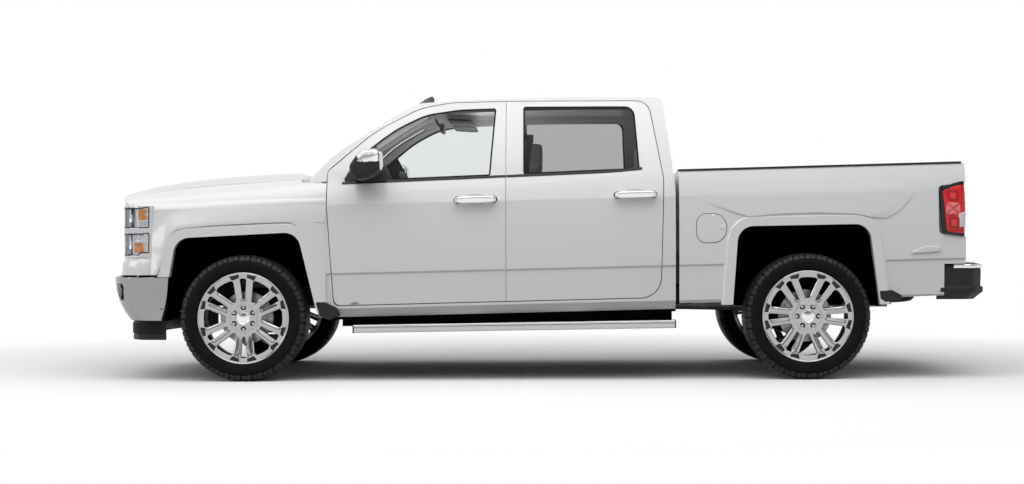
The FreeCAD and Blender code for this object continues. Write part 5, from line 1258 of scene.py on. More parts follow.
def resampled(loop, count):
    """A closed loop as count points, evenly spaced along it."""
    lengths = [math.dist(a, b) for a, b in zip(loop, loop[1:] + loop[:1])]
    total = sum(lengths)
    out = []
    index, done = 0, 0.0
    for k in range(count):
        at = total * k / count
        while done + lengths[index] < at:
            done += lengths[index]
            index += 1
        t = (at - done) / lengths[index]
        a, b = loop[index], loop[(index + 1) % len(loop)]
        out.append((a[0] + (b[0] - a[0]) * t, a[1] + (b[1] - a[1]) * t))
    return out


def build_mirror(side, flip):
    body = "door_front_" + side
    name = "mirror_" + side
    count = 72
    loop = resampled(head_line, count)
    centre = (-1124.0, 1392.0)
    stations = ((-986.0, 0.62), (-990.0, 0.80), (-1002.0, 0.92), (-1030.0, 0.985), (-1080.0, 1.0),
                (-1140.0, 1.0), (-1180.0, 0.985), (-1204.0, 0.94), (-1217.0, 0.86), (-1222.0, 0.76),
                (-1225.0, 0.62), (-1227.0, 0.46), (-1228.0, 0.30), (-1228.5, 0.12))
    rings = []
    for y, scale in stations:
        rings.append([(centre[0] + (u - centre[0]) * scale, y, centre[1] + (v - centre[1]) * scale)
                      for u, v in loop])

    def bright(points):
        """Whether the middle of some points lies in the bright cap."""
        u = sum(p[0] for p in points) / len(points)
        v = sum(p[2] for p in points) / len(points)
        return v > 1405.0 and u > -1188.0 + (1490.0 - v) * 0.25

    cap, shell = Shape(), Shape()
    for i in range(len(rings) - 1):
        for j in range(count):
            k = (j + 1) % count
            quad = [rings[i][j], rings[i][k], rings[i + 1][k], rings[i + 1][j]]
            (cap if bright(quad) else shell).add(quad, [(0, 1, 2, 3)])
    for ring, reverse in ((rings[0], True), (rings[-1], False)):
        middle = (centre[0], ring[0][1], centre[1])
        for j in range(count):
            k = (j + 1) % count
            shell.add([middle, ring[j], ring[k]], [(0, 2, 1) if reverse else (0, 1, 2)])
    for shape, label, slot_name, material in (
        (cap, "_cap", "chrome_trim", chrome), (shell, "_shell", "black_plastic", black_plastic),
    ):
        made = shape.make(name + label, body, slot_name, material, 50, flip)
        weld = made.modifiers.new("Weld", "WELD")
        weld.merge_threshold = 0.0002
        made.data.polygons.foreach_set("use_smooth", [True] * len(made.data.polygons))
    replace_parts(made, name)
    pane = Shape()
    outline = rounded_loop([(-1206.0, 1350.0), (-1008.0, 1350.0), (-1008.0, 1470.0), (-1206.0, 1474.0)],
                           24.0, 5)
    plate(pane, [thinned(outline, 1.0)], lambda u, v, d: (-1026.5 - (v - 1350.0) * 0.05 - d, u, v), 5.0,
          1.0, steps=2)
    pane.make(name + "_pane", body, "chrome_trim", mirror_glass, 40, flip)

    arm = Shape()
    for x in (-1196.0, -1150.0):
        rings = []
        for t in range(9):
            s = t / 8
            y = -950.0 - 62.0 * s
            z = 1306.0 + 34.0 * s ** 1.5
            w, h = 17.0 + 5.0 * (1 - s), 15.0 + 9.0 * (1 - s)
            rings.append([(x + w * math.cos(a), y, z + h * math.sin(a)) for a in angles(16)])
        arm.rings(rings, True, True)
    arm.make(name + "_arm", body, "black_plastic", black_plastic, 45, flip)

    # The sail plate, cut off at the divider
    sail = Shape()
    corner = grown(front_window_line, -0.5)

    def divider(z):
        return -984.0 + (z - 1307.0) * (-109.0 / 210.0)

    kept = [p for p in divided(corner, 12.0) if p[0] < divider(p[1])]
    start = max(range(len(kept)), key=lambda i: math.dist(kept[i], kept[i - 1]))
    kept = kept[start:] + kept[:start]
    plate(sail, [evened(kept, 24.0, 1.0)], on_cab(1.0), 12.0, 2.5, grid=26.0, steps=3)
    sail.make(name + "_sail", body, "black_plastic", black_plastic, 40, flip)
    post = Shape()
    rings = []
    for t in range(9):
        z = 1300.0 + 225.0 * t / 8
        x = divider(z)
        y = cab_side_y(x, z)
        rings.append([(x - 9.0, y + 4.0, z), (x + 9.0, y + 4.0, z), (x + 9.0, y - 0.5, z),
                      (x - 9.0, y - 0.5, z)])
    post.rings(rings, True, True)
    post.make(name + "_divider", body, "black_plastic", gloss_black, 30, flip)


for side, flip in SIDES:
    build_mirror(side, flip)


# Tail lamps: a dark bezel with stacked red cells and a pale one

def bed_side_y(x, z):
    """The y of the bed's left skin at a station and a height."""
    return lower_side_y(x, z, 1006.0, 958.0, 1327.0 + 0.0246 * x, 2.0)


lamp_turn_x = 2690.0
lamp_turn_r = 26.0


def lamp_point(u, v, d):
    """A point on the tail lamp's skin; past the corner it turns inwards along the tailgate."""
    turn_x, r = lamp_turn_x, lamp_turn_r
    side = -bed_side_y(min(u, turn_x), v) + 3.0
    if u <= turn_x:
        return (u, -side + d, v)
    run = u - turn_x
    a = min(math.pi / 2, run / r)
    x = turn_x + (r - d) * math.sin(a)
    y = side - r + (r - d) * math.cos(a)
    rest = max(0.0, run - r * math.pi / 2)
    return (x, -(y - rest), v)


def lamp_cell(points, radius=8.0):
    return evened(rounded_loop(points, radius, 4), 14.0, 0.7)


def build_tail_lamp(side, flip):
    """A dark bezel round one red lens with two framed squares, a faceted band and a pale cell."""
    name = "tail_lamp_" + side
    # Past the corner the lamp turns and shows a strip on the rear face
    wrap = lamp_turn_x + lamp_turn_r * math.pi / 2 + 24.0
    outline = lamp_cell([(2552.0, 1232.0), (2640.0, 1262.0), (2690.0, 1276.0), (wrap, 1276.0),
                         (wrap, 918.0), (2690.0, 922.0), (2572.0, 938.0)], 14.0)
    mouth = lamp_cell([(2574.0, 1214.0), (2640.0, 1240.0), (2690.0, 1252.0), (wrap - 6.0, 1252.0),
                       (wrap - 6.0, 940.0), (2690.0, 940.0), (2600.0, 952.0)], 12.0)
    bezel = Shape()
    plate(bezel, [outline, mouth], lambda u, v, d: lamp_point(u, v, d - 3.0), 26.0, 3.5, steps=3)
    made = bezel.make(name + "_bezel", "root", "black_plastic", gloss_black, 40, flip)
    lens = Shape()

    def on_lens(u, v, d):
        crown = 7.0 * max(0.0, 1.0 - ((v - 1096.0) / 165.0) ** 2)
        return lamp_point(u, v, d - 1.0 - crown)

    plate(lens, [grown(mouth, 2.0)], on_lens, 16.0, 5.0, grid=18.0, steps=4)
    lens.make(name + "_lens", "root", "lamp_red", red_lens, 40, flip)
    squares, rims = Shape(), Shape()
    for z0, z1, x0 in ((1150.0, 1218.0, 2606.0), (972.0, 1046.0, 2612.0)):
        frame_loop = lamp_cell([(x0, z0), (x0 + 66.0, z0), (x0 + 66.0, z1), (x0 - 4.0, z1)], 9.0)
        core = lamp_cell([(x0 + 14.0, z0 + 14.0), (x0 + 52.0, z0 + 14.0), (x0 + 52.0, z1 - 14.0),
                          (x0 + 10.0, z1 - 14.0)], 7.0)
        plate(rims, [frame_loop, core], lambda u, v, d: on_lens(u, v, d - 2.5), 4.0, 1.6, steps=2)
        plate(squares, [core], lambda u, v, d: on_lens(u, v, d - 0.6), 2.0, 0.8, grid=12.0, steps=2)
    rims.make(name + "_squares", "root", "lamp_red", red_deep, 40, flip)
    squares.make(name + "_cores", "root", "lamp_red", red_glow, 40, flip)
    facets = Shape()
    for a, b, c in (((2594.0, 1140.0), (2640.0, 1098.0), (2588.0, 1062.0)),
                    ((2640.0, 1098.0), (2686.0, 1136.0), (2592.0, 1142.0)),
                    ((2640.0, 1098.0), (2686.0, 1062.0), (2686.0, 1134.0)),
                    ((2588.0, 1060.0), (2684.0, 1058.0), (2640.0, 1096.0))):
        loop = inset_loop([a, b, c] if area_of([a, b, c]) > 0 else [c, b, a], 3.0)
        middle = (sum(p[0] for p in loop) / 3, sum(p[1] for p in loop) / 3)
        verts = [on_lens(p[0], p[1], -0.3) for p in loop] + [on_lens(middle[0], middle[1], -5.0)]
        facets.add(verts, [(0, 1, 3), (1, 2, 3), (2, 0, 3)])
    facets.make(name + "_facets", "root", "lamp_red", red_pale, 10, flip)
    pale = Shape()
    cell = lamp_cell([(2672.0, 1064.0), (2700.0, 1076.0), (wrap - 12.0, 1076.0), (wrap - 12.0, 980.0),
                      (2668.0, 980.0)], 8.0)
    plate(pale, [cell], lambda u, v, d: on_lens(u, v, d - 2.0), 4.0, 1.6, grid=14.0, steps=2)
    pale.make(name + "_pale", "root", "lamp_red", lamp_white, 40, flip)
    ribs = Shape()
    for v in (1132.0, 1226.0, 960.0, 1054.0):
        rings = []
        for k in range(25):
            u = 2600.0 + (wrap - 14.0 - 2600.0) * k / 24
            rings.append([on_lens(u, v - 2.2, 1.0), on_lens(u, v, -1.8), on_lens(u, v + 2.2, 1.0)])
        ribs.rings(rings, True, True)
    ribs.make(name + "_ribs", "root", "lamp_red", red_deep, 30, flip)
    return made


for side, flip in SIDES:
    tail_bezel = build_tail_lamp(side, flip)
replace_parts(tail_bezel, "tail_lamps")


# Fuel door, pressed into the bed's left side with a shadow line round it

def on_bed(out):
    def place(u, v, d):
        return (u, bed_side_y(u, v) - out + d, v)
    return place


def on_fuel(out):
    """Like on_bed, but clear of the flare's run-in and of the haunch over it."""
    def place(u, v, d):
        side = max(0.0, min(1.0, (u - 1100.0) / 80.0))
        top = max(0.0, min(1.0, (v - 1020.0) / 40.0)) * max(0.0, min(1.0, (u - 1040.0) / 100.0))
        return (u, bed_side_y(u, v) - out - 1.1 * side - 2.4 * top + d, v)
    return place


fuel_line = rounded_loop([(990.0, 884.0), (990.0, 1069.0), (1180.0, 1073.0), (1180.0, 888.0)],
                         [62.0, 62.0, 88.0, 88.0], 10)
fuel = Shape()
plate(fuel, [evened(fuel_line, 16.0)], on_fuel(2.2), 3.0, 1.4, grid=30.0)
finger_lip = rounded_loop([(1140.0, 970.0), (1140.0, 996.0), (1170.0, 1000.0), (1170.0, 966.0)], 11.0, 5)
plate(fuel, [finger_lip], on_fuel(5.2), 4.0, 3.4, grid=12.0)
fuel.make("fuel_door", "root", "body_paint", paint, 40)
gap = Shape()
plate(gap, [evened(grown(fuel_line, 4.0), 16.0), evened(grown(fuel_line, 0.6), 16.0)],
      on_fuel(1.2), 1.5, 0.5, steps=2)
gap.make("fuel_door_gap", "root", "black_plastic", seal_rubber, 40)


# Rear bumper: a black body with two step pads and a bright strip
bumper_low, bumper_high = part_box("rear_bumper")


def rear_edge_x(y):
    """Where the rear bumper's outer edge stands, which bows out towards the middle plane."""
    return half_length - 65.5 * (y / 903.0) ** 2


rear_path = spline([(2594.0, -983.0), (2650.0, -983.5), (2706.0, -984.0), (2744.0, -983.0),
                    (2776.0, -975.0), (2812.0, -946.0), (2856.0, -903.0)], 5)
rear_path += [(rear_edge_x(y), y) for y in (-903.0 + 903.0 * k / 58 for k in range(1, 59))]
rear_path += [(rear_edge_x(y), y) for y in (-178.0, -172.0)]
edge_points = sorted((p for p in rear_path if p[0] >= 2856.0), key=lambda p: p[1])
rear_path = [p for p in rear_path if p[0] < 2856.0] + edge_points
rear_path += [(x, -y) for x, y in reversed(rear_path[:-1])]


def sweep(shape, path, section_at, caps=True):
    """A closed section carried along a path in plan; the section gives (out, height) points."""
    rings = []
    for i, (x, y) in enumerate(path):
        ax, ay = path[max(i - 1, 0)]
        bx, by = path[min(i + 1, len(path) - 1)]
        n = math.hypot(bx - ax, by - ay)
        nx, ny = (by - ay) / n, -(bx - ax) / n
        rings.append([(x + nx * out, y + ny * out, z) for out, z in section_at(x, y)])
    return shape.rings([ring[::-1] for ring in rings], True, caps)


def rear_section(x, y):
    deep = 12.0 if abs(y) < 175.0 else 0.0
    return [(-62.0, 744.0), (-32.0, 744.0), (-25.0, 742.0), (-21.0, 737.0), (-17.0, 722.0), (-14.0, 706.0),
            (-13.0 - deep, 700.0), (-14.0 - deep, 660.0), (-16.0 - deep, 612.0), (-17.0, 605.0),
            (-14.0, 599.0), (-6.0, 595.0), (-1.5, 591.0), (0.0, 586.0), (0.0, 567.0), (-3.0, 560.0),
            (-12.0, 554.0), (-58.0, 519.0), (-70.0, 512.5), (-78.0, 513.0), (-100.0, 560.0),
            (-100.0, 700.0), (-84.0, 720.0)]


bumper = Shape()
sweep(bumper, rear_path, rear_section)
bumper.verts = [(x - max(0.0, 742.0 - z) * 0.19 * max(0.0, min(1.0, (2716.0 - x) / 110.0)), y, z)
                for x, y, z in bumper.verts]
rear_bumper = bumper.make("rear_bumper_body", "root", "black_plastic", black_plastic, 35)
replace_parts(rear_bumper, "rear_bumper")
bright = Shape()
sweep(bright, [p for p in rear_path if p[0] > 2640.0],
      lambda x, y: [(-18.0, 741.0), (-9.5, 740.0), (-6.0, 736.0), (-4.5, 728.0), (-5.5, 719.0),
                    (-9.0, 715.5), (-20.0, 715.0)])
bright.make("rear_bumper_strip", "root", "chrome_trim", chrome, 40)

# The bumper's top: a tread plate with ribbed pads, the ball hole's collar in the middle
tread = Shape()
outline = [(max(2641.0, x - 30.0), y * 0.972) for x, y in rear_path if x > 2640.0]
outline += [(2641.0, 955.0), (2641.0, -955.0)]
ball = disc_loop(2781.5, 0.0, 14.6, 28)
plate(tread, [evened(outline, 60.0, 3.0), ball], lambda u, v, d: (u, v, 745.5 - d), 20.0, 1.5, back=True)
tread.make("rear_bumper_tread", "root", "black_plastic", black_plastic, 35)
pads = Shape()
for y0, y1 in ((-820.0, -420.0), (-300.0, -70.0), (70.0, 300.0), (420.0, 820.0)):
    for k in range(9):
        x = 2700.0 + k * 15.0
        if x + 12.0 < rear_edge_x(max(abs(y0), abs(y1))) - 34.0:
            pads.rings([[(x, y, 745.0), (x + 2.0, y, 749.0), (x + 7.0, y, 749.0), (x + 9.0, y, 745.0)]
                        for y in (y0, y0 + 4.0, y1 - 4.0, y1)], True, True)
pads.make("rear_bumper_pads", "root", "black_plastic", black_plastic, 30)
collar = Shape()
collar.lathe([(14.6, 2.0), (15.4, 4.5), (22.0, 4.5), (25.0, 3.0), (25.0, -1.0), (14.6, -1.0)],
             (2781.5, 0.0, 745.0), axis="z", steps=40, closed=True)
collar.make("hitch_collar", "root", "chrome_trim", bare_steel, 40)
lights = Shape()
for y in (-140.0, 140.0):
    lights.rings([[(2899.0, y + a, z) for a, z in ((-22.0, 684.0), (22.0, 684.0), (22.0, 697.0),
                                                   (-22.0, 697.0))],
                  [(2907.0, y + a, z) for a, z in ((-20.0, 686.0), (20.0, 686.0), (20.0, 696.0),
                                                   (-20.0, 696.0))]], True, True)
lights.make("plate_lights", "root", "lamp_clear", lamp_white, 30)


# Arch liners of dark felt inside the rear wheel openings, darkened further as painted shade

def arch_points(axle_x, arch, inset, foot):
    """The wheel opening's outline from its front foot over the top to its back foot."""
    front_foot, front_top, back_top, back_foot, front_z, back_z = arch
    lean = (front_foot - front_top) / (front_z - 430.0)
    corners = [
        (axle_x - front_top - lean * (front_z - foot) + inset, foot),
        (axle_x - front_top + inset, front_z - inset),
        (axle_x + back_top - inset, back_z - inset),
        (axle_x + back_foot - inset, foot),
    ]
    return rounded_loop(corners, [0.0, 105.0, 105.0, 0.0], 8)


# The rear opening: how far its corners stand from the axle, and its two upper corners' heights
rear_arch = (492.0, 450.0, 392.0, 462.0, 990.0, 1003.0)


def build_liner(name, axle_x, arch, foot, y0, y1, flip):
    path = arch_points(axle_x, arch, 2.0, foot)
    start = min(range(len(path)), key=lambda i: (path[i][1], path[i][0]))
    path = path[start:] + path[:start]
    if path[1][1] < foot + 1.0:
        path = [path[0]] + path[1:][::-1]
    shape = Shape()
    shape.rings([[(u, y0, v), (u, y1, v)] for u, v in path], False, False)
    edges = [(i, (i + 1) % len(path)) for i in range(len(path))]
    made = delaunay_2d_cdt([Vector(p) for p in path], edges, [], 1, 1e-6)
    shape.add([(p.x, y1, p.y) for p in made[0]], [tuple(t) for t in made[2]])
    return shape.make(name, "root", "black_plastic", liner_felt_painted_shade, 40, flip)


for side, flip in SIDES:
    build_liner("arch_liner_rear_" + side, rear_axle_x, rear_arch, 470.0, -962.0, -674.0, flip)


# Running boards: a polished tray with dark tread pads, end caps and brackets

def board_top(x):
    """The height of the running board's top, which rises a little to the rear."""
    return 364.0 + (x + 1228.0) * 25.0 / 2080.0


def build_board(side, flip):
    name = "running_board_" + side
    section = [(-880.0, -4.0), (-1002.0, -4.0), (-1008.0, -6.0), (-1010.5, -11.0), (-1010.5, -44.0),
               (-1008.0, -50.0), (-1001.0, -52.5), (-884.0, -52.5), (-880.0, -48.0)]
    tray = Shape()
    xs = [-1224.0 + 2072.0 * k / 26 for k in range(27)]
    tray.rings([[(x, y, board_top(x) + dz) for y, dz in section] for x in xs], True, True)
    made = tray.make(name, "root", "bright_aluminium", aluminium, 35, flip)
    lip = Shape()
    edge = [(-1003.0, -1.0), (-1009.0, -2.5), (-1012.0, -8.0), (-1012.0, -13.0), (-1009.5, -14.5),
            (-1001.0, -8.0)]
    lip.rings([[(x, y, board_top(x) + dz) for y, dz in edge] for x in xs], True, True)
    lip.make(name + "_lip", "root", "bright_aluminium", chrome, 40, flip)
    caps = Shape()
    for x0, x1 in ((-1229.5, -1221.0), (846.0, 853.5)):
        grown_section = [(y - (1.5 if y < -950 else -1.5), dz + (1.5 if dz > -20 else -1.5))
                         for y, dz in section]
        caps.rings([[(x, y, board_top(x) + dz) for y, dz in grown_section] for x in (x0, x1)], True, True)
    caps.make(name + "_caps", "root", "black_plastic", black_plastic, 35, flip)
    pads = Shape()
    for middle in (-920.0, -140.0, 520.0):
        for k in range(3):
            y = -906.0 - k * 32.0
            x0, x1 = middle - 230.0, middle + 230.0
            rings = []
            for x, lift in ((x0, 0.0), (x0 + 3.0, 4.0), (x1 - 3.0, 4.0), (x1, 0.0)):
                z = board_top(x) - 5.0
                rings.append([(x, y - 11.0, z), (x, y - 9.0, z + 1.5 + lift), (x, y + 9.0, z + 1.5 + lift),
                              (x, y + 11.0, z)])
            pads.rings(rings, True, True)
        for k in range(46):
            x = middle - 222.0 + k * 444.0 / 45
            z = board_top(x)
            pads.rings([[(x - 1.6, y, z - 1.0), (x - 0.8, y, z + 1.8), (x + 0.8, y, z + 1.8),
                         (x + 1.6, y, z - 1.0)]
                        for y in (-978.0, -898.0)], True, True)
    pads.make(name + "_pads", "root", "black_plastic", black_plastic, 30, flip)
    brackets = Shape()
    for share in (0.1, 0.5, 0.9):
        x = -1228.0 + 2080.0 * share
        top = sill_at(x)
        path = [(x + 30.0, -800.0, top + 40.0), (x + 30.0, -860.0, top - 8.0),
                (x + 30.0, -900.0, board_top(x) - 34.0), (x + 30.0, -985.0, board_top(x) - 40.0)]
        rings = []
        for px, py, pz in spline(path, 5):
            rings.append([(px - 26.0, py, pz - 9.0), (px + 26.0, py, pz - 9.0), (px + 26.0, py, pz + 9.0),
                          (px - 26.0, py, pz + 9.0)])
        brackets.rings([ring[::-1] for ring in rings], True, True)
    brackets.make(name + "_brackets", "root", "frame_black", frame_black, 35, flip)
    return made


for side, flip in SIDES:
    board = build_board(side, flip)
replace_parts(board, "running_boards")


# Rocker panels: a dark lower edge, with the small drain plugs of the pinch weld

def build_rocker(side, flip):
    under = Shape()
    xs = [-1380.0 + 2236.0 * k / 30 for k in range(31)]
    rings = []
    for x in xs:
        sill = sill_at(x)
        rings.append([(x, -948.0, sill + 1.0), (x, -946.0, sill - 12.0), (x, -930.0, sill - 15.0),
                      (x, -880.0, sill - 15.0), (x, -876.0, sill + 2.0), (x, -900.0, sill + 4.0)])
    under.rings(rings, True, True)
    under.make("rocker_flange_" + side, "root", "black_plastic", liner_felt_painted_shade, 35, flip)
    plugs = Shape()
    for x in (-600.0, -420.0, 120.0, 300.0, 490.0):
        z = sill_at(x) + 20.0
        y = -(1006.0 - 62.0) - 18.0 / 1.38
        plugs.lathe([(0.01, -2.0), (7.0, -1.5), (8.5, 0.5), (8.5, 4.0)], (x, y, z), steps=20)
    plugs.make("rocker_plugs_" + side, "root", "body_paint", paint, 40, flip)


for side, flip in SIDES:
    build_rocker(side, flip)


# Mud deflectors behind the wheels, and the front flare's dark foot

def build_deflectors(side, flip):
    shape = Shape()
    front = [(-1468.0, 512.0), (-1410.0, 513.0), (-1330.0, 472.0), (-1312.0, 421.0), (-1378.0, 394.0),
             (-1440.0, 420.0)]
    rear = [(2160.0, 572.0), (2244.0, 576.0), (2306.0, 543.0), (2306.0, 508.0), (2200.0, 500.0),
            (2168.0, 520.0)]
    for loop in (front, rear):
        loop = evened(rounded_loop(loop, 10.0, 3), 30.0)
        plate(shape, [loop], lambda u, v, d: (u, -1018.0 + d, v), 200.0, 5.0, back=True)
    shape.make("mud_deflectors_" + side, "root", "black_plastic", black_plastic, 35, flip)


for side, flip in SIDES:
    build_deflectors(side, flip)


# Front bumper: the bright bar, with dark fog mouths and a ribbed dam under it

def bumper_plan(z):
    """How far the bumper's face stands back at height z, as in the CAD model."""
    rows = ((389.0, 106.0), (453.0, 60.0), (519.0, 27.0), (585.0, 7.0), (675.0, 0.0))
    for (z0, s0), (z1, s1) in zip(rows, rows[1:]):
        if z <= z1:
            t = max(0.0, (z - z0) / (z1 - z0))
            return s0 + (s1 - s0) * t
    return 0.0


bumper_face = arc_through((102.0, -700.0), (0.0, 0.0), (102.0, 700.0))
bumper_corner_middle = ((102.0 + 250.0) / 2 - 30.0, (700.0 + 955.0) / 2 + 30.0)
bumper_corner = arc_through((102.0, 700.0), bumper_corner_middle, (250.0, 955.0))
bumper_run = measured(
    [(bumper_face[0][0] - math.sqrt(bumper_face[1] * bumper_face[1] - y * y), y)
     for y in (700.0 * k / 140 for k in range(141))]
    + arc_line(bumper_corner, (102.0, 700.0), (250.0, 955.0), 40)
    + [(250.0 + 280.0 * k / 24, 955.0 + 40.0 * k / 24) for k in range(1, 25)]
)


def on_bumper(s, z, out):
    side = 1 if s >= 0 else -1
    s = min(abs(s), bumper_run[-1][0] - 0.01)
    low, high = 0, len(bumper_run) - 1
    while high - low > 1:
        middle = (low + high) // 2
        if bumper_run[middle][0] <= s:
            low = middle
        else:
            high = middle
    (s0, p0), (s1, p1) = bumper_run[low], bumper_run[high]
    t = (s - s0) / (s1 - s0)
    x, y = p0[0] + (p1[0] - p0[0]) * t, p0[1] + (p1[1] - p0[1]) * t
    dx, dy = p1[0] - p0[0], p1[1] - p0[1]
    n = math.hypot(dx, dy)
    return (-half_length + bumper_plan(z) + x - dy / n * out, side * (y + dx / n * out), z)


def bumper_s(y):
    for s, point in bumper_run:
        if point[1] >= y:
            return s
    return bumper_run[-1][0]


side_end = bumper_run[-1][0] - 26.0
bar = Shape()
edge = [(0.0, 676.0), (14.0, 585.0), (44.0, 519.0), (94.0, 453.0), (158.0, 391.0)]
line = [(side_end - back, z) for back, z in edge] + [(back - side_end, z) for back, z in reversed(edge)]
line = rounded_loop(line, [6.0, 60.0, 60.0, 60.0, 12.0, 12.0, 60.0, 60.0, 60.0, 6.0], 4)
fog_in, fog_out = bumper_s(738.0), bumper_s(902.0)
mouths = []
for sign in (-1, 1):
    mouth = rounded_loop([(sign * fog_in, 530.0), (sign * fog_in, 626.0), (sign * (fog_out - 4.0), 632.0),
                          (sign * (fog_out + 14.0), 602.0), (sign * (fog_out - 20.0), 524.0)], 14.0, 4)
    mouths.append(evened(mouth, 24.0))
plate_seat = evened(box_loop(-188.0, 188.0, 474.0, 636.0, 12.0, 4), 24.0)
plate(bar, [evened(line, 30.0)] + mouths + [plate_seat], lambda u, v, d: on_bumper(u, v, 3.0 - d),
      30.0, 7.0, grid=34.0, steps=4)
bumper_bar = bar.make("front_bumper_bar", "root", "chrome_trim", bumper_chrome_painted_reflection, 40)
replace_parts(bumper_bar, "front_bumper")
seat = Shape()
plate(seat, [evened(grown(plate_seat, 2.0), 24.0)], lambda u, v, d: on_bumper(u, v, -4.0 - d), 10.0, 0.0,
      grid=40.0)
seat.make("plate_seat", "root", "chrome_trim", bumper_chrome_painted_reflection, 40)
inner = Shape()
for sign in (-1, 1):
    s0, s1 = sorted((sign * (fog_in - 6.0), sign * (fog_out + 18.0)))
    for z0, z1, out0, out1 in ((518.0, 640.0, -52.0, -46.0), (518.0, 524.0, -50.0, -2.0),
                               (634.0, 640.0, -50.0, -2.0)):
        rings = []
        for k in range(9):
            s = s0 + (s1 - s0) * k / 8
            corners = ((z0, out0), (z0, out1), (z1, out1), (z1, out0))
            rings.append([on_bumper(s, z, out) for z, out in corners])
        inner.rings(rings, True, True)
inner.make("fog_mouths", "root", "black_plastic", black_plastic, 30)
lamps, glasses = Shape(), Shape()
for sign in (-1, 1):
    s = sign * (fog_in + fog_out) / 2
    p = Vector(on_bumper(s, 578.0, -30.0))
    q = Vector(on_bumper(s, 578.0, 0.0))
    way = (q - p).normalized()
    across = way.cross(Vector((0, 0, 1))).normalized()
    for shape, profile in ((lamps, ((44.0, -14.0), (44.0, 14.0), (41.0, 17.0), (36.0, 14.0), (30.0, -2.0),
                                    (0.01, -10.0))),
                           (glasses, ((38.0, 10.0), (36.0, 13.0), (24.0, 16.0), (0.01, 17.0)))):
        rings = []
        for r, out in profile:
            rings.append([tuple(p + way * out + across * (r * math.cos(a)) + Vector((0, 0, r * math.sin(a))))
                          for a in angles(32)])
        shape.rings(rings, True, False)
lamps.make("fog_lamps", "root", "lamp_clear", fog_dark, 40)
glasses.make("fog_lamp_glasses", "root", "lamp_clear", clear_lens, 40)

dam = Shape()
half_path = spline([(-2771.0, 0.0), (-2766.0, 180.0), (-2752.0, 380.0), (-2727.0, 600.0), (-2696.0, 760.0),
                    (-2655.0, 850.0), (-2600.0, 897.0), (-2530.0, 909.0), (-2452.0, 912.0)], 6)
dam_path = [(x, -y) for x, y in reversed(half_path[1:])] + half_path
dam_path = dam_path[::-1]
sweep(dam, dam_path, lambda x, y: [(-8.0, 389.0), (-2.0, 386.0), (0.0, 380.0), (-1.0, 300.0), (1.0, 286.0),
                                   (1.0, 270.0), (-3.0, 265.5), (-12.0, 265.0), (-16.0, 280.0),
                                   (-16.0, 389.0)])
dam_made = dam.make("air_dam_body", "root", "black_plastic", black_plastic, 35)
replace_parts(dam_made, "air_dam")
ribs = Shape()
for k in range(2, len(dam_path) - 2):
    (x0, y0), (x1, y1) = dam_path[k], dam_path[k + 1]
    n = math.hypot(x1 - x0, y1 - y0)
    nx, ny = (y1 - y0) / n, -(x1 - x0) / n
    tx, ty = (x1 - x0) / n, (y1 - y0) / n
    rings = []
    for z, out in ((302.0, -0.5), (308.0, 5.0), (370.0, 5.0), (378.0, -0.5)):
        rings.append([(x0 - tx * 5.0 - nx * 2.0, y0 - ty * 5.0 - ny * 2.0, z),
                      (x0 - tx * 2.5 + nx * out, y0 - ty * 2.5 + ny * out, z),
                      (x0 + tx * 2.5 + nx * out, y0 + ty * 2.5 + ny * out, z),
                      (x0 + tx * 5.0 - nx * 2.0, y0 + ty * 5.0 - ny * 2.0, z)])
    ribs.rings(rings, True, True)
ribs.make("air_dam_ribs", "root", "black_plastic", black_plastic, 35)

# A near-black strip over the bumper, painted shade standing for the gap there, and the body-coloured shelf
# between it and the lamps
gap_shade_strip = Shape()
gap_end = -run_of(x=-2470.0)
nose_box(gap_shade_strip, gap_end, -gap_end, 674.0, 686.0, -20.0, 2.5, 80)
gap_shade_strip.make("bumper_gap_painted_shade", "root", "black_plastic", liner_felt_painted_shade, 40)
shelf = Shape()
shelf_end = -run_of(x=-2506.0)
rings = []
for k in range(97):
    s = shelf_end - 2 * shelf_end * k / 96
    ease = min(1.0, (abs(shelf_end) - abs(s)) / 130.0)
    out = 20.0 * ease * (2 - ease) + 1.2
    rings.append([on_nose(s, z, o) for z, o in (
        (687.0, -6.0), (687.0, out - 2.0), (690.0, out), (735.0, out - 1.0), (760.0, out * 0.82),
        (782.0, out * 0.38), (794.0, 0.8), (796.5, -4.0))])
shelf.rings(rings, True, True)
shelf.make("bumper_shelf", "root", "body_paint", paint, 28)


# Haunches: over each wheel the side rises from the flare's crease to the crest

def along(points, x):
    """The height of a line of (x, z) points at a station."""
    for (x0, z0), (x1, z1) in zip(points, points[1:]):
        if x <= x1:
            return z0 + (z1 - z0) * (x - x0) / (x1 - x0)
    return points[-1][1]


def gap_to(points, x, z):
    """The distance from a point to a line of points."""
    best = 1e9
    for (x0, z0), (x1, z1) in zip(points, points[1:]):
        dx, dz = x1 - x0, z1 - z0
        t = max(0.0, min(1.0, ((x - x0) * dx + (z - z0) * dz) / (dx * dx + dz * dz)))
        best = min(best, math.hypot(x - x0 - dx * t, z - z0 - dz * t))
    return best


nose_x_stations = [-half_length, -2617.5, -2281.5, -1856.5, -1393.5]
nose_half_at = natural_spline(nose_x_stations, [905.0, 958.0, 986.0, 1000.0, 1006.0])
crest_inset_at = natural_spline(nose_x_stations, [40.0, 40.0, 36.0, 26.0, 17.0])


def nose_side_y(x, z):
    half = nose_half_at(x)
    return lower_side_y(x, z, half, half - crest_inset_at(x), sloped(1212.0, x), 3.0)


front_crease = spline([(-2506.0, 690.0), (-2466.0, 790.0), (-2434.0, 905.0), (-2402.0, 966.0),
                       (-2342.0, 1001.0), (-2200.0, 1017.0), (-2036.0, 1028.0), (-1669.0, 1043.0),
                       (-1402.0, 1041.0)], 5)


flare_side = front_crease + [(-1402.0, 600.0), (-2420.0, 600.0)]


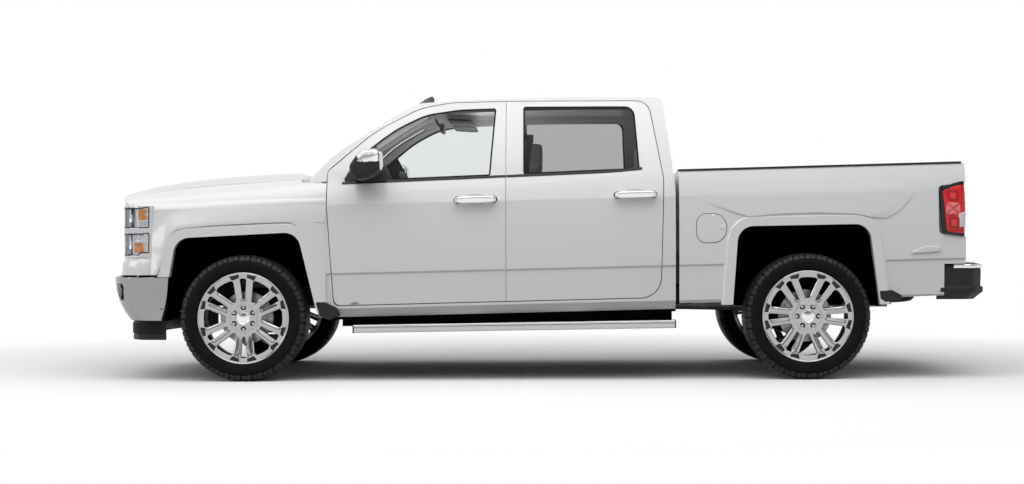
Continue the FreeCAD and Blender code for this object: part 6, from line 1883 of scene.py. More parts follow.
def fender_place(u, v, d):
    below = inside((u, v), flare_side)
    share = 1.0 if below else max(0.0, 1.0 - gap_to(front_crease, u, v) / 96.0)
    base = -nose_side_y(u, v)
    return (u, -(base + (1016.4 - base) * share + 0.9 - 0.6 * share) + d, v)


def flank_place(u, v, d):
    """Behind the wheel the flare runs flush into the door's edge."""
    t = max(0.0, min(1.0, (u + 1520.0) / 118.0))
    return (u, -(1016.9 - 7.0 * t * t) + d, v)


def build_fender_skin(side, flip):
    crest = [(x, sloped(1166.0, x)) for x in (-1402.0, -1600.0, -1850.0, -2100.0, -2350.0, -2524.0)]
    front = [(-2526.0, 1000.0), (-2527.0, 800.0), (-2530.0, 690.0)]
    lower = list(reversed(inset_loop(list(reversed(front_crease)) + crest[::-1], 17.0)[:len(front_crease)]))
    lower = [(max(-2489.0, x), z) for x, z in lower]
    lower[0] = (-2489.0, 690.0)
    lower[-1] = (-1402.0, lower[-1][1])
    outline = lower + crest + front
    skin = Shape()
    plate(skin, [evened(outline, 40.0, 2.0)], fender_place, 14.0, 0.8, grid=24.0, steps=2,
          creases=[lambda x: along(front_crease, x)])
    skin.make("fender_skin_" + side, "root", "body_paint", paint, 30, flip)
    flank = Shape()
    outline = [(-1402.5, 455.0), (-1402.5, 1040.5), (-1669.0, 1042.5), (-1600.0, 1012.0), (-1545.0, 960.0),
               (-1508.0, 860.0), (-1460.0, 640.0), (-1424.0, 455.0)]
    plate(flank, [evened(outline, 40.0, 2.0)], flank_place, 10.0, 0.6, grid=30.0, steps=2)
    flank.make("fender_flank_" + side, "root", "body_paint", paint, 30, flip)


rear_crease = spline([(1009.0, 1166.0), (1140.0, 1118.0), (1299.0, 1064.0), (1390.0, 1072.0),
                      (1492.0, 1080.0), (1750.0, 1089.0), (2008.0, 1080.0), (2110.0, 1062.0),
                      (2240.0, 1114.0), (2368.0, 1184.0)], 4)
haunch_top = [(1009.0, 1176.0), (1060.0, 1212.0), (1130.0, 1232.0), (1428.0, 1253.0), (1900.0, 1260.0),
              (2265.0, 1262.0), (2330.0, 1240.0), (2368.0, 1196.0)]


def haunch_place(u, v, d):
    low, high = along(rear_crease, u), along(haunch_top, u)
    if v >= low:
        share = max(0.0, min(1.0, (high - v) / max(8.0, high - low)))
    elif 1300.0 < u < 2108.0:
        share = 1.0
    else:
        share = max(0.0, 1.0 - (low - v) / (14.0 if u < 1300.0 else 76.0))
    ends = max(0.0, min(1.0, (u - 1009.0) / 250.0)) * max(0.0, min(1.0, (2368.0 - u) / 240.0))
    return (u, bed_side_y(u, v) - 1.0 - 9.4 * share * ends + d, v)


def build_haunch(side, flip):
    low = [(1009.0, 1150.0), (1100.0, 1116.0), (1200.0, 1082.0), (1299.0, 1048.0), (1492.0, 1068.0),
           (1750.0, 1077.0), (2008.0, 1068.0), (2110.0, 1048.0), (2215.0, 1040.0), (2300.0, 1090.0),
           (2368.0, 1170.0)]
    outline = low + haunch_top[::-1]
    skin = Shape()
    plate(skin, [evened(outline, 40.0, 2.0)], haunch_place, 12.0, 0.7, grid=24.0, steps=2,
          creases=[lambda x: along(rear_crease, x)])
    skin.make("bed_haunch_" + side, "root", "body_paint", paint, 30, flip)
    bulge = Shape()
    lip = rounded_loop([(2330.0, 806.0), (2440.0, 852.0), (2480.0, 862.0), (2556.0, 856.0),
                        (2556.0, 822.0)],
                       [8.0, 40.0, 40.0, 10.0, 10.0], 5)
    plate(bulge, [evened(lip, 16.0, 1.0)], on_bed(6.0), 6.0, 5.6, grid=14.0, steps=4)
    bulge.make("bed_bulge_" + side, "root", "body_paint", paint, 60, flip)


for side, flip in SIDES:
    build_fender_skin(side, flip)
    build_haunch(side, flip)


# A near-black band between the rocker and the running board: painted shade where the shade under the rocker
# falls

def build_shade_band(side, flip):
    band = Shape()
    rings = []
    for k in range(33):
        x = -1300.0 + 2130.0 * k / 32
        foot = board_top(x) - 10.0
        top = sill_at(x) - 6.0
        rings.append([(x, y, z) for y, z in ((-948.0, foot + 6.0), (-952.0, foot), (-956.0, foot + 8.0),
                                             (-952.0, top - 6.0), (-946.0, top), (-938.0, top),
                                             (-938.0, foot + 6.0))])
    band.rings(rings, True, True)
    band.make("running_board_shade_band_" + side, "root", "frame_black", liner_felt_painted_shade, 35, flip)


for side, flip in SIDES:
    build_shade_band(side, flip)


# The antenna: a dark fin on the roof
antenna_grey = finish_of("antenna_grey", (0.05, 0.05, 0.052), 0.35, coat=0.3, mottle=0.08,
                         mottle_scale=20.0)
antenna = Shape()
rings = []
for j in range(25):
    t = j / 24
    x0 = -884.0 + 118.0 * t
    if t < 0.87:
        height = 66.0 * (1 - (1 - min(1.0, t * 1.15)) ** 1.6)
    else:
        height = 66.0 - 26.0 * ((t - 0.87) / 0.13) ** 2
    half = 21.0 * math.sin(math.pi * (0.12 + 0.76 * t)) ** 0.7
    base = roof_line(x0 - front_axle_x) - 2.0
    ring = []
    for k in range(13):
        a = math.pi * k / 12
        s = math.sin(a)
        ring.append((x0 + 8.0 * s * t, half * math.cos(a) * (1.0 - 0.55 * s),
                     base + 2.0 + height * s ** 1.4))
    rings.append(ring)
antenna.rings(rings, True, True)
antenna_made = antenna.make("antenna_fin", "root", "body_paint", antenna_grey, 45)
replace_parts(antenna_made, "roof_antenna")


# The cabin: crowned seat cushions with seams, dash, console, door panels and trims
seat_cloth = finish_of("seat_cloth", (0.30, 0.30, 0.305), 0.86, mottle=0.10, mottle_scale=30.0, grain=0.7,
                       grain_scale=1100, grain_depth=0.0006, sheen=0.25, specular=0.12)
seat_edge = finish_of("seat_edge", (0.17, 0.17, 0.175), 0.7, mottle=0.08, mottle_scale=22.0, grain=0.4,
                      grain_scale=800, grain_depth=0.0004, specular=0.2)
trim_light = finish_of("trim_light", (0.36, 0.36, 0.365), 0.62, mottle=0.05, mottle_scale=9.0, grain=0.3,
                       grain_scale=700, grain_depth=0.0004, edge=0.002, specular=0.25)
trim_dark = finish_of("trim_dark", (0.055, 0.055, 0.058), 0.55, mottle=0.08, mottle_scale=9.0, grain=0.3,
                      grain_scale=700, grain_depth=0.0004, edge=0.002, specular=0.3)
screen_black = finish_of("screen_black", (0.01, 0.011, 0.013), 0.08, coat=0.3, mottle=0.1,
                         mottle_scale=14.0)


def outward(obj):
    """Turns a closed piece's faces outwards."""
    made = bmesh.new()
    made.from_mesh(obj.data)
    bmesh.ops.recalc_face_normals(made, faces=made.faces)
    made.to_mesh(obj.data)
    made.free()
    return obj


def spaced(seams, count):
    """Places from 0 to 1, closer together at both ends, with four lines at each seam."""
    out = [0.5 - 0.5 * math.cos(math.pi * k / count) for k in range(count + 1)]
    for seam in seams:
        out = [t for t in out if abs(t - seam) > 0.018]
        out += [seam - 0.014, seam - 0.004, seam + 0.004, seam + 0.014]
    return sorted(out)


def pad(shape, place, across, up, low, high, seams_across=(), seams_up=(), bolster=0.0, count=30):
    """A stuffed form: crowned between its seams, thin at its rim, with its corners drawn in."""
    us, vs = spaced(seams_across, count), spaced(seams_up, count)
    middle = low + (high - low) * 0.45

    def rim(t):
        return max(0.0, 1.0 - abs(2 * t - 1) ** 9) ** 0.42

    def crown(t, seams):
        """Between two seams the cloth stands up; at a seam it is drawn down."""
        marks = [0.0] + sorted(seams) + [1.0]
        for a, b in zip(marks, marks[1:]):
            if a <= t <= b:
                return math.sqrt(max(0.0, 1 - (2 * (t - a) / (b - a) - 1) ** 2))
        return 0.0

    grids = []
    for top in (True, False):
        grid = []
        for v in vs:
            row = []
            for u in us:
                e = rim(u) * rim(v)
                pinch = 1 - 0.018 * abs(2 * v - 1) ** 4
                tuck = 1 - 0.018 * abs(2 * u - 1) ** 4
                a = across[0] + (across[1] - across[0]) * (0.5 + (u - 0.5) * pinch)
                b = up[0] + (up[1] - up[0]) * (0.5 + (v - 0.5) * tuck)
                if top:
                    full = 0.80 + 0.20 * crown(u, seams_across) ** 0.7 * (0.45 + 0.55 * crown(v, seams_up))
                    side = abs(2 * u - 1)
                    wing = bolster * max(0.0, (side - 0.45) / 0.55) ** 1.5 if bolster else 0.0
                    sag = 1.8 * math.sin(a * 0.031 + b * 0.017) * math.sin(b * 0.043 - a * 0.011)
                    h = middle + ((high - bolster - middle) * full + wing + sag) * e
                else:
                    h = middle - (middle - low) * e
                row.append(place(a, b, h))
            grid.append(row)
        grids.append(grid)
    columns, rows = len(us), len(vs)
    verts, index = [], {}
    for layer, grid in enumerate(grids):
        for j in range(rows):
            for i in range(columns):
                edge_point = i in (0, columns - 1) or j in (0, rows - 1)
                if layer and edge_point:
                    index[1, j, i] = index[0, j, i]
                    continue
                index[layer, j, i] = len(verts)
                verts.append(grid[j][i])
    faces = []
    for layer in (0, 1):
        for j in range(rows - 1):
            for i in range(columns - 1):
                face = (index[layer, j, i], index[layer, j, i + 1], index[layer, j + 1, i + 1],
                        index[layer, j + 1, i])
                faces.append(face if layer == 0 else face[::-1])
    return shape.add(verts, faces)


def soft(shape, name, material):
    made = outward(shape.make(name, "root", "seat_trim", material, 60))
    return made


def build_seat(label, x, y0, y1, lean, bench=False):
    """A cushion, a leaning back and a headrest over a plastic base."""
    middle = (y0 + y1) / 2
    inner = [0.17, 0.345, 0.655, 0.83] if bench else [0.2, 0.8]
    cushion = Shape()
    pad(cushion, lambda a, b, h: (b, a, h + 14.0 * (x + 420.0 - b) / 420.0 - 14.0), (y0 + 4.0, y1 - 4.0),
        (x + 3.0, x + 440.0), 842.0, 984.0, inner, [0.38, 0.72], 10.0 if bench else 22.0)
    made = soft(cushion, "seat_cushion_" + label, seat_cloth)
    back = Shape()

    def on_back(a, b, h):
        t = (b - 850.0) / 590.0
        return (x + 400.0 + lean * t + 138.0 - h, a, b)

    pad(back, on_back, (y0 + 6.0, y1 - 6.0), (905.0, 1438.0), 2.0, 138.0, inner, [0.34, 0.7],
        8.0 if bench else 20.0)
    soft(back, "seat_back_" + label, seat_cloth)
    rest = Shape()
    top = x + 400.0 + lean
    pad(rest, lambda a, b, h: (top + 140.0 - h, a, b), (middle - 128.0, middle + 128.0), (1396.0, 1558.0),
        2.0, 112.0, [0.14, 0.86], [], 0.0, 18)
    soft(rest, "seat_headrest_" + label, seat_cloth)
    posts = Shape()
    for side in (-55.0, 55.0):
        posts.tube([(top + 82.0, middle + side, 1400.0), (top + 80.0, middle + side, 1440.0),
                    (top + 80.0, middle + side, 1470.0)], 6.0, 12)
    posts.make("seat_posts_" + label, "root", "seat_trim", chrome, 50)
    base = Shape()
    for z0, z1, shrink in ((700.0, 838.0, 22.0), (655.0, 700.0, 44.0)):
        loop = box_loop(x + 40.0, x + 510.0, y0 + shrink, y1 - shrink, 34.0, 6)
        base.rings(stacked(loop, (
            (z0, 6.0), (z0 + 6.0, 0.0), (z1 - 8.0, 0.0), (z1, 8.0))), True, True)
    for side in (y0 + 70.0, y1 - 70.0):
        base.box(x + 10.0, x + 530.0, side - 18.0, side + 18.0, 641.0, 660.0)
    rounded(outward(base.make("seat_base_" + label, "root", "seat_trim", trim_dark, 40)), 4.0)
    shellback = Shape()
    loop = rounded_loop([(y0 + 30.0, 900.0), (y1 - 30.0, 900.0), (y1 - 34.0, 1410.0), (y0 + 34.0, 1410.0)],
                        60.0, 8)
    shellback.rings([[on_back(p[0], p[1], h) for p in inset_loop(loop, d)] for h, d in (
        (20.0, 0.0), (6.0, 0.0), (1.0, 6.0))], True, True)
    outward(shellback.make("seat_shell_" + label, "root", "seat_trim", seat_edge, 40))
    return made


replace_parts(build_seat("front_left", -700.0, -650.0, -110.0, 160.0), "seats")
build_seat("front_right", -700.0, 110.0, 650.0, 160.0)
build_seat("rear", 150.0, -690.0, 690.0, 65.0, True)

# Belts run from the pillars down to the front seats' sides
for side, label in ((-1, "left"), (1, "right")):
    belts = Shape()
    line = spline([(-90.0, side * 742.0, 1560.0), (-120.0, side * 738.0, 1300.0),
                   (-140.0, side * 726.0, 1000.0), (-150.0, side * 712.0, 700.0)], 8)
    belts.rings([[(p[0] - 22.0, p[1], p[2]), (p[0] + 22.0, p[1], p[2]),
                  (p[0] + 22.0, p[1] + side * 2.0, p[2]),
                  (p[0] - 22.0, p[1] + side * 2.0, p[2])] for p in line], True, True)
    belts.box(-118.0, -62.0, side * 738.0, side * 758.0, 1545.0, 1600.0)
    belts.box(-175.0, -125.0, side * 704.0, side * 724.0, 660.0, 705.0)
    outward(belts.make("seat_belt_" + label, "root", "seat_trim", trim_dark, 40))
    stalk = Shape()
    stalk.tube([(-260.0, side * 92.0, 800.0), (-266.0, side * 92.0, 900.0), (-276.0, side * 92.0, 960.0)],
               9.0, 12)
    stalk.box(-292.0, -258.0, side * 80.0, side * 104.0, 955.0, 1010.0)
    rounded(outward(stalk.make("belt_buckle_" + label, "root", "seat_trim", trim_dark, 40)), 3.0)

# Dash: a rounded brow, a cluster hood, a screen, vents, a glove box and knobs
dash = Shape()
brow = []
for k in range(61):
    y = -850.0 + 1700.0 * k / 60
    hood_rise = 26.0 * math.exp(-((y + 380.0) / 190.0) ** 4)
    brow.append([(x, y, z) for x, z in (
        (-1420.0, 1268.0), (-1420.0, 1278.0), (-1330.0, 1280.0 + hood_rise * 0.5),
        (-1262.0, 1278.0 + hood_rise), (-1226.0, 1264.0 + hood_rise), (-1212.0, 1246.0 + hood_rise * 0.9),
        (-1216.0, 1232.0 + hood_rise * 0.6), (-1240.0, 1238.0), (-1262.0, 1262.0))])
dash.rings(brow, True, True)
outward(dash.make("dash_brow", "root", "cabin_plastic", trim_dark, 40))


def on_dash(u, v, d):
    """A point on the dash's face: u across, v up from the knee to the brow, d forwards into it."""
    if v <= 235.0:
        t = v / 235.0
        x, z = -1260.0 + 80.0 * t, 960.0 + 235.0 * t
    else:
        t = (v - 235.0) / 113.0
        x, z = -1180.0 - 80.0 * t, 1195.0 + 80.0 * t
    return (x - d * 0.94, u, z + d * 0.34 * (1 if v <= 235.0 else -1))


def dash_plate(name, u0, u1, v0, v1, radius, lift, material, grid=0.0):
    shape = Shape()
    loop = box_loop(u0, u1, v0, v1, radius, 6)
    plate(shape, [divided(loop, 40.0)], lambda u, v, d: on_dash(u, v, d - lift), lift + 3.0,
          min(3.0, lift * 0.6), grid, 3)
    return outward(shape.make(name, "root", "cabin_plastic", material, 40))


dash_plate("dash_strip", -840.0, 840.0, 196.0, 232.0, 10.0, 7.0, trim_light, 60.0)
dash_plate("dash_glove_box", 240.0, 760.0, 30.0, 182.0, 22.0, 9.0, trim_dark, 50.0)
dash_plate("dash_knee_panel", -700.0, -150.0, 20.0, 150.0, 24.0, 8.0, trim_dark, 50.0)
dash_plate("dash_stack", -125.0, 185.0, 6.0, 190.0, 18.0, 12.0, trim_light, 50.0)
dash_plate("dash_screen", -95.0, 155.0, 88.0, 184.0, 8.0, 16.0, screen_black)
dash_plate("dash_cluster", -540.0, -230.0, 240.0, 312.0, 26.0, 4.0, screen_black)
knobs = Shape()
for u, v, r in ((-78.0, 62.0, 17.0), (138.0, 62.0, 17.0), (30.0, 40.0, 15.0), (-50.0, 28.0, 12.0),
                (110.0, 28.0, 12.0)):
    rings = [[on_dash(u + rr * math.cos(a), v + rr * math.sin(a), -h) for a in angles(24)]
             for rr, h in ((r, 10.0), (r, 26.0), (r - 2.0, 29.0), (r - 5.0, 29.5))]
    knobs.rings(rings, True, True)
for k in range(6):
    x0 = -62.0 + k * 31.0
    loop = box_loop(x0, x0 + 25.0, 72.0, 82.0, 3.0, 3)
    plate(knobs, [loop], lambda u, v, d: on_dash(u, v, d - 16.0), 6.0, 1.2)
outward(knobs.make("dash_knobs", "root", "cabin_plastic", trim_dark, 40))
vents, slats = Shape(), Shape()
for u0, u1 in ((-820.0, -690.0), (-215.0, -140.0), (200.0, 275.0), (690.0, 820.0)):
    outer = box_loop(u0, u1, 150.0, 192.0, 9.0, 5)
    hole = inset_loop(outer, 6.0)
    plate(vents, [outer, hole], lambda u, v, d: on_dash(u, v, d - 11.0), 11.0, 2.0)
    for k in range(4):
        v = 159.0 + k * 8.0
        loop = box_loop(u0 + 6.0, u1 - 6.0, v, v + 3.0, 1.2, 3)
        plate(slats, [loop], lambda u, v, d: on_dash(u, v, d - 7.0), 6.0, 0.8)
outward(vents.make("dash_vents", "root", "cabin_plastic", chrome, 40))
outward(slats.make("dash_vent_slats", "root", "cabin_plastic", trim_dark, 40))

# Console between the front seats
console = Shape()
rings = []
for x, z, half in ((-1240.0, 905.0, 92.0), (-1120.0, 860.0, 94.0), (-980.0, 830.0, 94.0),
                   (-760.0, 834.0, 94.0), (-640.0, 850.0, 94.0), (-300.0, 856.0, 92.0)):
    loop = rounded_loop([(-half, 642.0), (half, 642.0), (half - 8.0, z), (8.0 - half, z)],
                        [4.0, 4.0, 18.0, 18.0], 6)
    rings.append([(x, p[0], p[1]) for p in loop])
console.rings(rings, True, True)
outward(console.make("console", "root", "cabin_plastic", trim_dark, 40))
lid = Shape()
pad(lid, lambda a, b, h: (b, a, h), (-88.0, 88.0), (-650.0, -305.0), 846.0, 884.0, [], [], 0.0, 16)
outward(lid.make("console_lid", "root", "cabin_plastic", seat_edge, 60))
cups = Shape()
for x in (-720.0, -820.0):
    cups.lathe([(30.0, -60.0), (34.0, 2.0), (37.0, 4.5), (40.0, 4.0), (41.0, -4.0)], (x, 0.0, 834.0), "z",
               36)
cups.make("console_cups", "root", "cabin_plastic", chrome, 40)
shifter = Shape()
shifter.tube([(-900.0, 0.0, 830.0), (-905.0, 0.0, 890.0), (-912.0, 0.0, 930.0)], [10.0, 8.0, 8.0], 16)
shifter.lathe([(0.5, 0.0), (14.0, 2.0), (22.0, 16.0), (23.0, 34.0), (16.0, 50.0), (0.5, 55.0)],
              (-914.0, 0.0, 922.0), "z", 28)
outward(shifter.make("console_shifter", "root", "cabin_plastic", trim_dark, 50))

# Carpet: soft, a little uneven, with bound mats in front of the seats
carpet_cloth = finish_of("carpet", (0.045, 0.045, 0.048), 0.97, mottle=0.25, mottle_scale=60.0, grain=0.9,
                         grain_scale=700, grain_depth=0.0012, sheen=0.2, specular=0.05)
carpet = Shape()
loop = box_loop(-1240.0, 835.0, -835.0, 835.0, 40.0, 5)


def on_floor(height):
    def place(u, v, d):
        return (u, v, height - d + 1.4 * math.sin(u * 0.013) * math.sin(v * 0.017))
    return place


plate(carpet, [divided(loop, 90.0)], on_floor(646.0), 4.0, 2.0, 70.0, 2)
outward(carpet.make("carpet", "root", "cabin_plastic", carpet_cloth, 50))
mats = Shape()
for x0, x1 in ((-1190.0, -720.0), (-140.0, 130.0)):
    for y0, y1 in ((-640.0, -130.0), (130.0, 640.0)):
        loop = box_loop(x0, x1, y0, y1, 50.0, 6)
        plate(mats, [divided(loop, 60.0)], on_floor(654.0), 7.0, 4.0, 50.0, 3)
outward(mats.make("floor_mats", "root", "cabin_plastic", rubber, 50))

# Pedals, a mirror under the screen and sun visors
pedals = Shape()
for y, z, half in ((-470.0, 770.0, 38.0), (-330.0, 760.0, 26.0)):
    loop = box_loop(y - half, y + half, z - 38.0, z + 38.0, 10.0, 4)
    pedals.rings([[(-1330.0 + d + (p[1] - z) * 0.4, p[0], p[1]) for p in loop] for d in (0.0, 12.0)], True,
                 True)
    pedals.tube([(-1330.0, y, z + 10.0), (-1380.0, y, z + 120.0), (-1380.0, y, z + 210.0)], 8.0, 10)
outward(pedals.make("pedals", "root", "cabin_plastic", trim_dark, 40))


def lining_z(x):
    """The height of the roof lining at a station, a little under the roof."""
    return roof_line(x) - 74.0


mirror_in = Shape()
loop = rounded_loop([(-125.0, -32.0), (125.0, -32.0), (118.0, 34.0), (-118.0, 34.0)], 26.0, 7)
mirror_in.rings([[(-700.0 + d, p[0], 1690.0 + p[1]) for p in inset_loop(loop, s)] for d, s in (
    (-16.0, 10.0), (-10.0, 2.0), (0.0, 0.0), (10.0, 1.0), (12.0, 4.0))], True, True)
mirror_in.tube([(-716.0, 0.0, 1700.0), (-740.0, 0.0, 1735.0), (-752.0, 0.0, 1760.0)], 8.0, 12)
outward(mirror_in.make("mirror_inside", "root", "cabin_plastic", trim_dark, 45))
for side, label in ((-1, "left"), (1, "right")):
    visor = Shape()
    pad(visor, lambda a, b, h: (b, side * a, lining_z(b) + 8.0 - h + (b + 640.0) * -0.10), (120.0, 560.0),
        (-640.0, -470.0), 0.0, 22.0, [], [], 0.0, 14)
    outward(visor.make("sun_visor_" + label, "root", "cabin_plastic", trim_dark, 50))


# Door panels ride on their doors

def build_door_panel(name, body, x0, x1, foot, flip, front):
    panel = Shape()
    loop = box_loop(x0, x1, foot, 1296.0, [46.0, 46.0, 14.0, 14.0], 8)

    def on_panel(y):
        def place(u, v, d):
            return (u, y - d - 3.0 * math.sin((v - foot) / (1296.0 - foot) * math.pi), v)
        return place

    plate(panel, [divided(loop, 60.0)], on_panel(-873.0), 14.0, 6.0, 50.0, 4)
    outward(panel.make(name + "_panel", body, "cabin_plastic", trim_light, 40, flip))
    arm = Shape()
    a0, a1 = (x0 + 250.0, x1 - 110.0) if front else (x0 + 150.0, x1 - 120.0)
    rings = []
    for k in range(25):
        t = k / 24
        x = a0 + (a1 - a0) * t
        e = (1 - abs(2 * t - 1) ** 6) ** 0.5
        reach = 8.0 + 50.0 * e
        z = 1012.0 + 24.0 * (1 - t)
        rings.append([(x, -876.0, z - 70.0 * e - 6.0), (x, -870.0 + reach * 0.55, z - 58.0 * e - 4.0),
                      (x, -872.0 + reach, z - 22.0),
                      (x, -872.0 + reach, z - 6.0), (x, -878.0 + reach, z), (x, -876.0, z + 3.0)])
    arm.rings(rings, True, True)
    outward(arm.make(name + "_armrest", body, "cabin_plastic", seat_edge, 50, flip))
    inset = Shape()
    loop = rounded_loop([(x0 + 60.0, 1070.0), (x1 - 60.0, 1060.0), (x1 - 60.0, 1200.0),
                         (x0 + 60.0, 1210.0)], 30.0, 8)
    plate(inset, [divided(loop, 40.0)], on_panel(-868.5), 6.0, 4.0, 34.0, 4)
    outward(inset.make(name + "_inset", body, "cabin_plastic", seat_cloth, 50, flip))
    metal = Shape()
    hx = x0 + (230.0 if front else 130.0)
    metal.tube([(hx, -874.0, 1122.0), (hx + 4.0, -858.0, 1128.0), (hx + 60.0, -856.0, 1130.0),
                (hx + 100.0, -858.0, 1130.0), (hx + 106.0, -874.0, 1128.0)], 7.0, 12)
    outward(metal.make(name + "_pull", body, "cabin_plastic", chrome, 50, flip))
    speaker = Shape()
    cx, cz = x0 + 190.0, foot + 190.0
    for r in (18.0, 34.0, 50.0, 66.0, 82.0):
        speaker.lathe([(r - 2.5, -2.0), (r - 1.5, 3.0), (r + 1.5, 3.0), (r + 2.5, -2.0)], (cx, -873.0, cz),
                      "y", 40)
    speaker.make(name + "_speaker", body, "cabin_plastic", trim_dark, 40, flip)
    pocket = Shape()
    rings = []
    for k in range(21):
        t = k / 20
        x = x0 + 320.0 + (x1 - x0 - 400.0) * t
        e = (1 - abs(2 * t - 1) ** 6) ** 0.5
        rings.append([(x, -876.0, foot + 60.0), (x, -872.0 + 30.0 * e, foot + 64.0),
                      (x, -872.0 + 38.0 * e, foot + 120.0),
                      (x, -872.0 + 38.0 * e, foot + 176.0), (x, -876.0 + 32.0 * e, foot + 180.0),
                      (x, -876.0, foot + 150.0)])
    pocket.rings(rings, True, True)
    outward(pocket.make(name + "_pocket", body, "cabin_plastic", trim_dark, 45, flip))


for side, flip in SIDES:
    build_door_panel("door_front_" + side, "door_front_" + side, -1372.0, -262.0, 500.0, flip, True)
    build_door_panel("door_rear_" + side, "door_rear_" + side, -222.0, 662.0, 505.0, flip, False)

# Under the hood: an engine cover with ribs, two boxes for an air box and a battery, and hoses
cover = Shape()
loop = box_loop(-2400.0, -1720.0, -215.0, 215.0, 60.0, 8)
plate(cover, [divided(loop, 50.0)], lambda u, v, d: (u, v, 1156.0 - d + 14.0 * math.cos(v / 215.0 * 1.5)),
      30.0, 12.0, 40.0, 5)
for v in (-120.0, -60.0, 60.0, 120.0):
    rib = box_loop(-2340.0, -1800.0, v - 9.0, v + 9.0, 8.0, 4)
    plate(cover, [divided(rib, 60.0)], lambda u, v, d: (u, v,
                                                        1163.0 - d + 14.0 * math.cos(v / 215.0 * 1.5)),
                                                        10.0, 3.0)
outward(cover.make("engine_cover", "root", "cast_metal", trim_dark, 40))
bay = Shape()
for x0, x1, y0, y1, z0, z1 in ((-2540.0, -2250.0, 325.0, 462.0, 900.0, 1090.0),
                               (-2520.0, -2300.0, -462.0, -330.0, 880.0, 1070.0)):
    loop = box_loop(x0, x1, y0, y1, 22.0, 5)
    bay.rings(stacked(loop, ((z0, 0.0), (z1 - 34.0, 0.0), (z1 - 30.0, -4.0), (z1 - 8.0, -4.0), (z1, 5.0))),
              True, True)
outward(bay.make("engine_boxes", "root", "black_plastic", black_plastic, 40))
hoses = Shape()
hoses.tube(spline([(-2590.0, 220.0, 1070.0), (-2520.0, 230.0, 1110.0), (-2420.0, 180.0, 1120.0),
                   (-2360.0, 120.0, 1090.0)], 8), 22.0, 16)
hoses.tube(spline([(-2590.0, -240.0, 800.0), (-2510.0, -250.0, 850.0), (-2440.0, -230.0, 900.0),
                   (-2400.0, -200.0, 900.0)], 8), 20.0, 16)
hoses.tube(spline([(-2260.0, 380.0, 1080.0), (-2200.0, 340.0, 1120.0), (-2120.0, 250.0, 1150.0),
                   (-2060.0, 190.0, 1150.0)], 8), 34.0, 18)
outward(hoses.make("engine_hoses", "root", "black_plastic", rubber, 50))


# Inner walls of the front wheel wells
for side, flip in SIDES:
    apron = Shape()
    loop = rounded_loop([(-2405.0, 600.0), (-2095.0, 600.0), (-2065.0, 722.0), (-1808.0, 722.0),
                         (-1778.0, 600.0), (-1470.0, 600.0), (-1520.0, 800.0), (-1565.0, 905.0),
                         (-1640.0, 968.0), (-1800.0, 978.0), (-2250.0, 962.0), (-2350.0, 925.0),
                         (-2392.0, 850.0)], 24.0, 5)
    plate(apron, [evened(loop, 60.0, 1.0)],
          lambda u, v, d: (u, -476.0 + d + 3.0 * math.sin(u * 0.05) * math.sin(v * 0.03), v), 6.0, 3.0,
          60.0, 2, back=True)
    apron.make("wheel_apron_" + side, "root", "black_plastic", liner_felt_painted_shade, 40, flip)

# The tailgate's inner panel: a pressed sheet with ribs
gate = Shape()
loop = box_loop(-722.0, 722.0, 858.0, 1362.0, 26.0, 6)
plate(gate, [divided(loop, 60.0)], lambda u, v, d: (2668.5 + d, u, v), 3.0, 1.6, 60.0, 2)
for k in range(9):
    y = -600.0 + 150.0 * k
    rib = box_loop(y - 26.0, y + 26.0, 900.0, 1300.0, 20.0, 6)
    plate(gate, [divided(rib, 60.0)], lambda u, v, d: (2664.5 + d, u, v), 4.5, 3.6, 0.0, 3)
outward(gate.make("tailgate_panel", "tailgate", "body_paint", paint, 40))
gate_seal = Shape()
for y0, y1 in ((-742.0, -728.0), (728.0, 742.0)):
    loop = box_loop(y0, y1, 860.0, 1360.0, 5.0, 4)
    plate(gate_seal, [divided(loop, 60.0)], lambda u, v, d: (2667.0 + d, u, v), 4.0, 2.0, 0.0, 3)
outward(gate_seal.make("tailgate_seals", "tailgate", "black_plastic", seal_rubber, 40))

# The spare wheel: a tyre with grooves on a steel rim with studs
corners = [nodes["spare_wheel"].matrix_world @ Vector(c) for c in nodes["spare_wheel"].bound_box]
spare_x = (min(c.x for c in corners) + max(c.x for c in corners)) / 2 / MM
spare_y = (min(c.y for c in corners) + max(c.y for c in corners)) / 2 / MM
spare_z = (min(c.z for c in corners) + max(c.z for c in corners)) / 2 / MM
spare_r = (max(c.x for c in corners) - min(c.x for c in corners)) / 2 / MM
spare_w = (max(c.z for c in corners) - min(c.z for c in corners)) / 2 / MM
half_line = [(0.62, 0.80), (0.66, 0.93), (0.80, 1.0), (0.93, 0.92), (0.982, 0.74), (1.0, 0.60), (1.0, 0.52),
             (0.975, 0.50), (0.975, 0.45), (1.0, 0.43), (1.0, 0.12), (0.975, 0.10), (0.975, 0.04),
             (1.0, 0.02)]
spare_line = [(spare_r * r, -spare_w * w) for r, w in half_line]
spare_line += [(spare_r * r, spare_w * w) for r, w in reversed(half_line)]
spare = Shape()
spare.lathe(spare_line, (spare_x, spare_y, spare_z), "z", 96, closed=True)
spare_made = outward(spare.make("spare_tyre", "root", "tyre_rubber", rubber, 40))
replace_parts(spare_made, "spare_wheel")
disc = Shape()
disc.lathe([(spare_r * r, spare_w * w) for r, w in (
    (0.655, -0.80), (0.64, -0.86), (0.61, -0.82), (0.60, -0.60), (0.575, -0.20), (0.57, 0.30), (0.50, 0.42),
    (0.40, 0.46), (0.32, 0.34), (0.22, 0.34), (0.17, 0.40), (0.168, 0.20), (0.0002, 0.20))],
    (spare_x, spare_y, spare_z), "z", 72)
disc.make("spare_rim", "root", "frame_black", frame_black, 35)
studs = Shape()
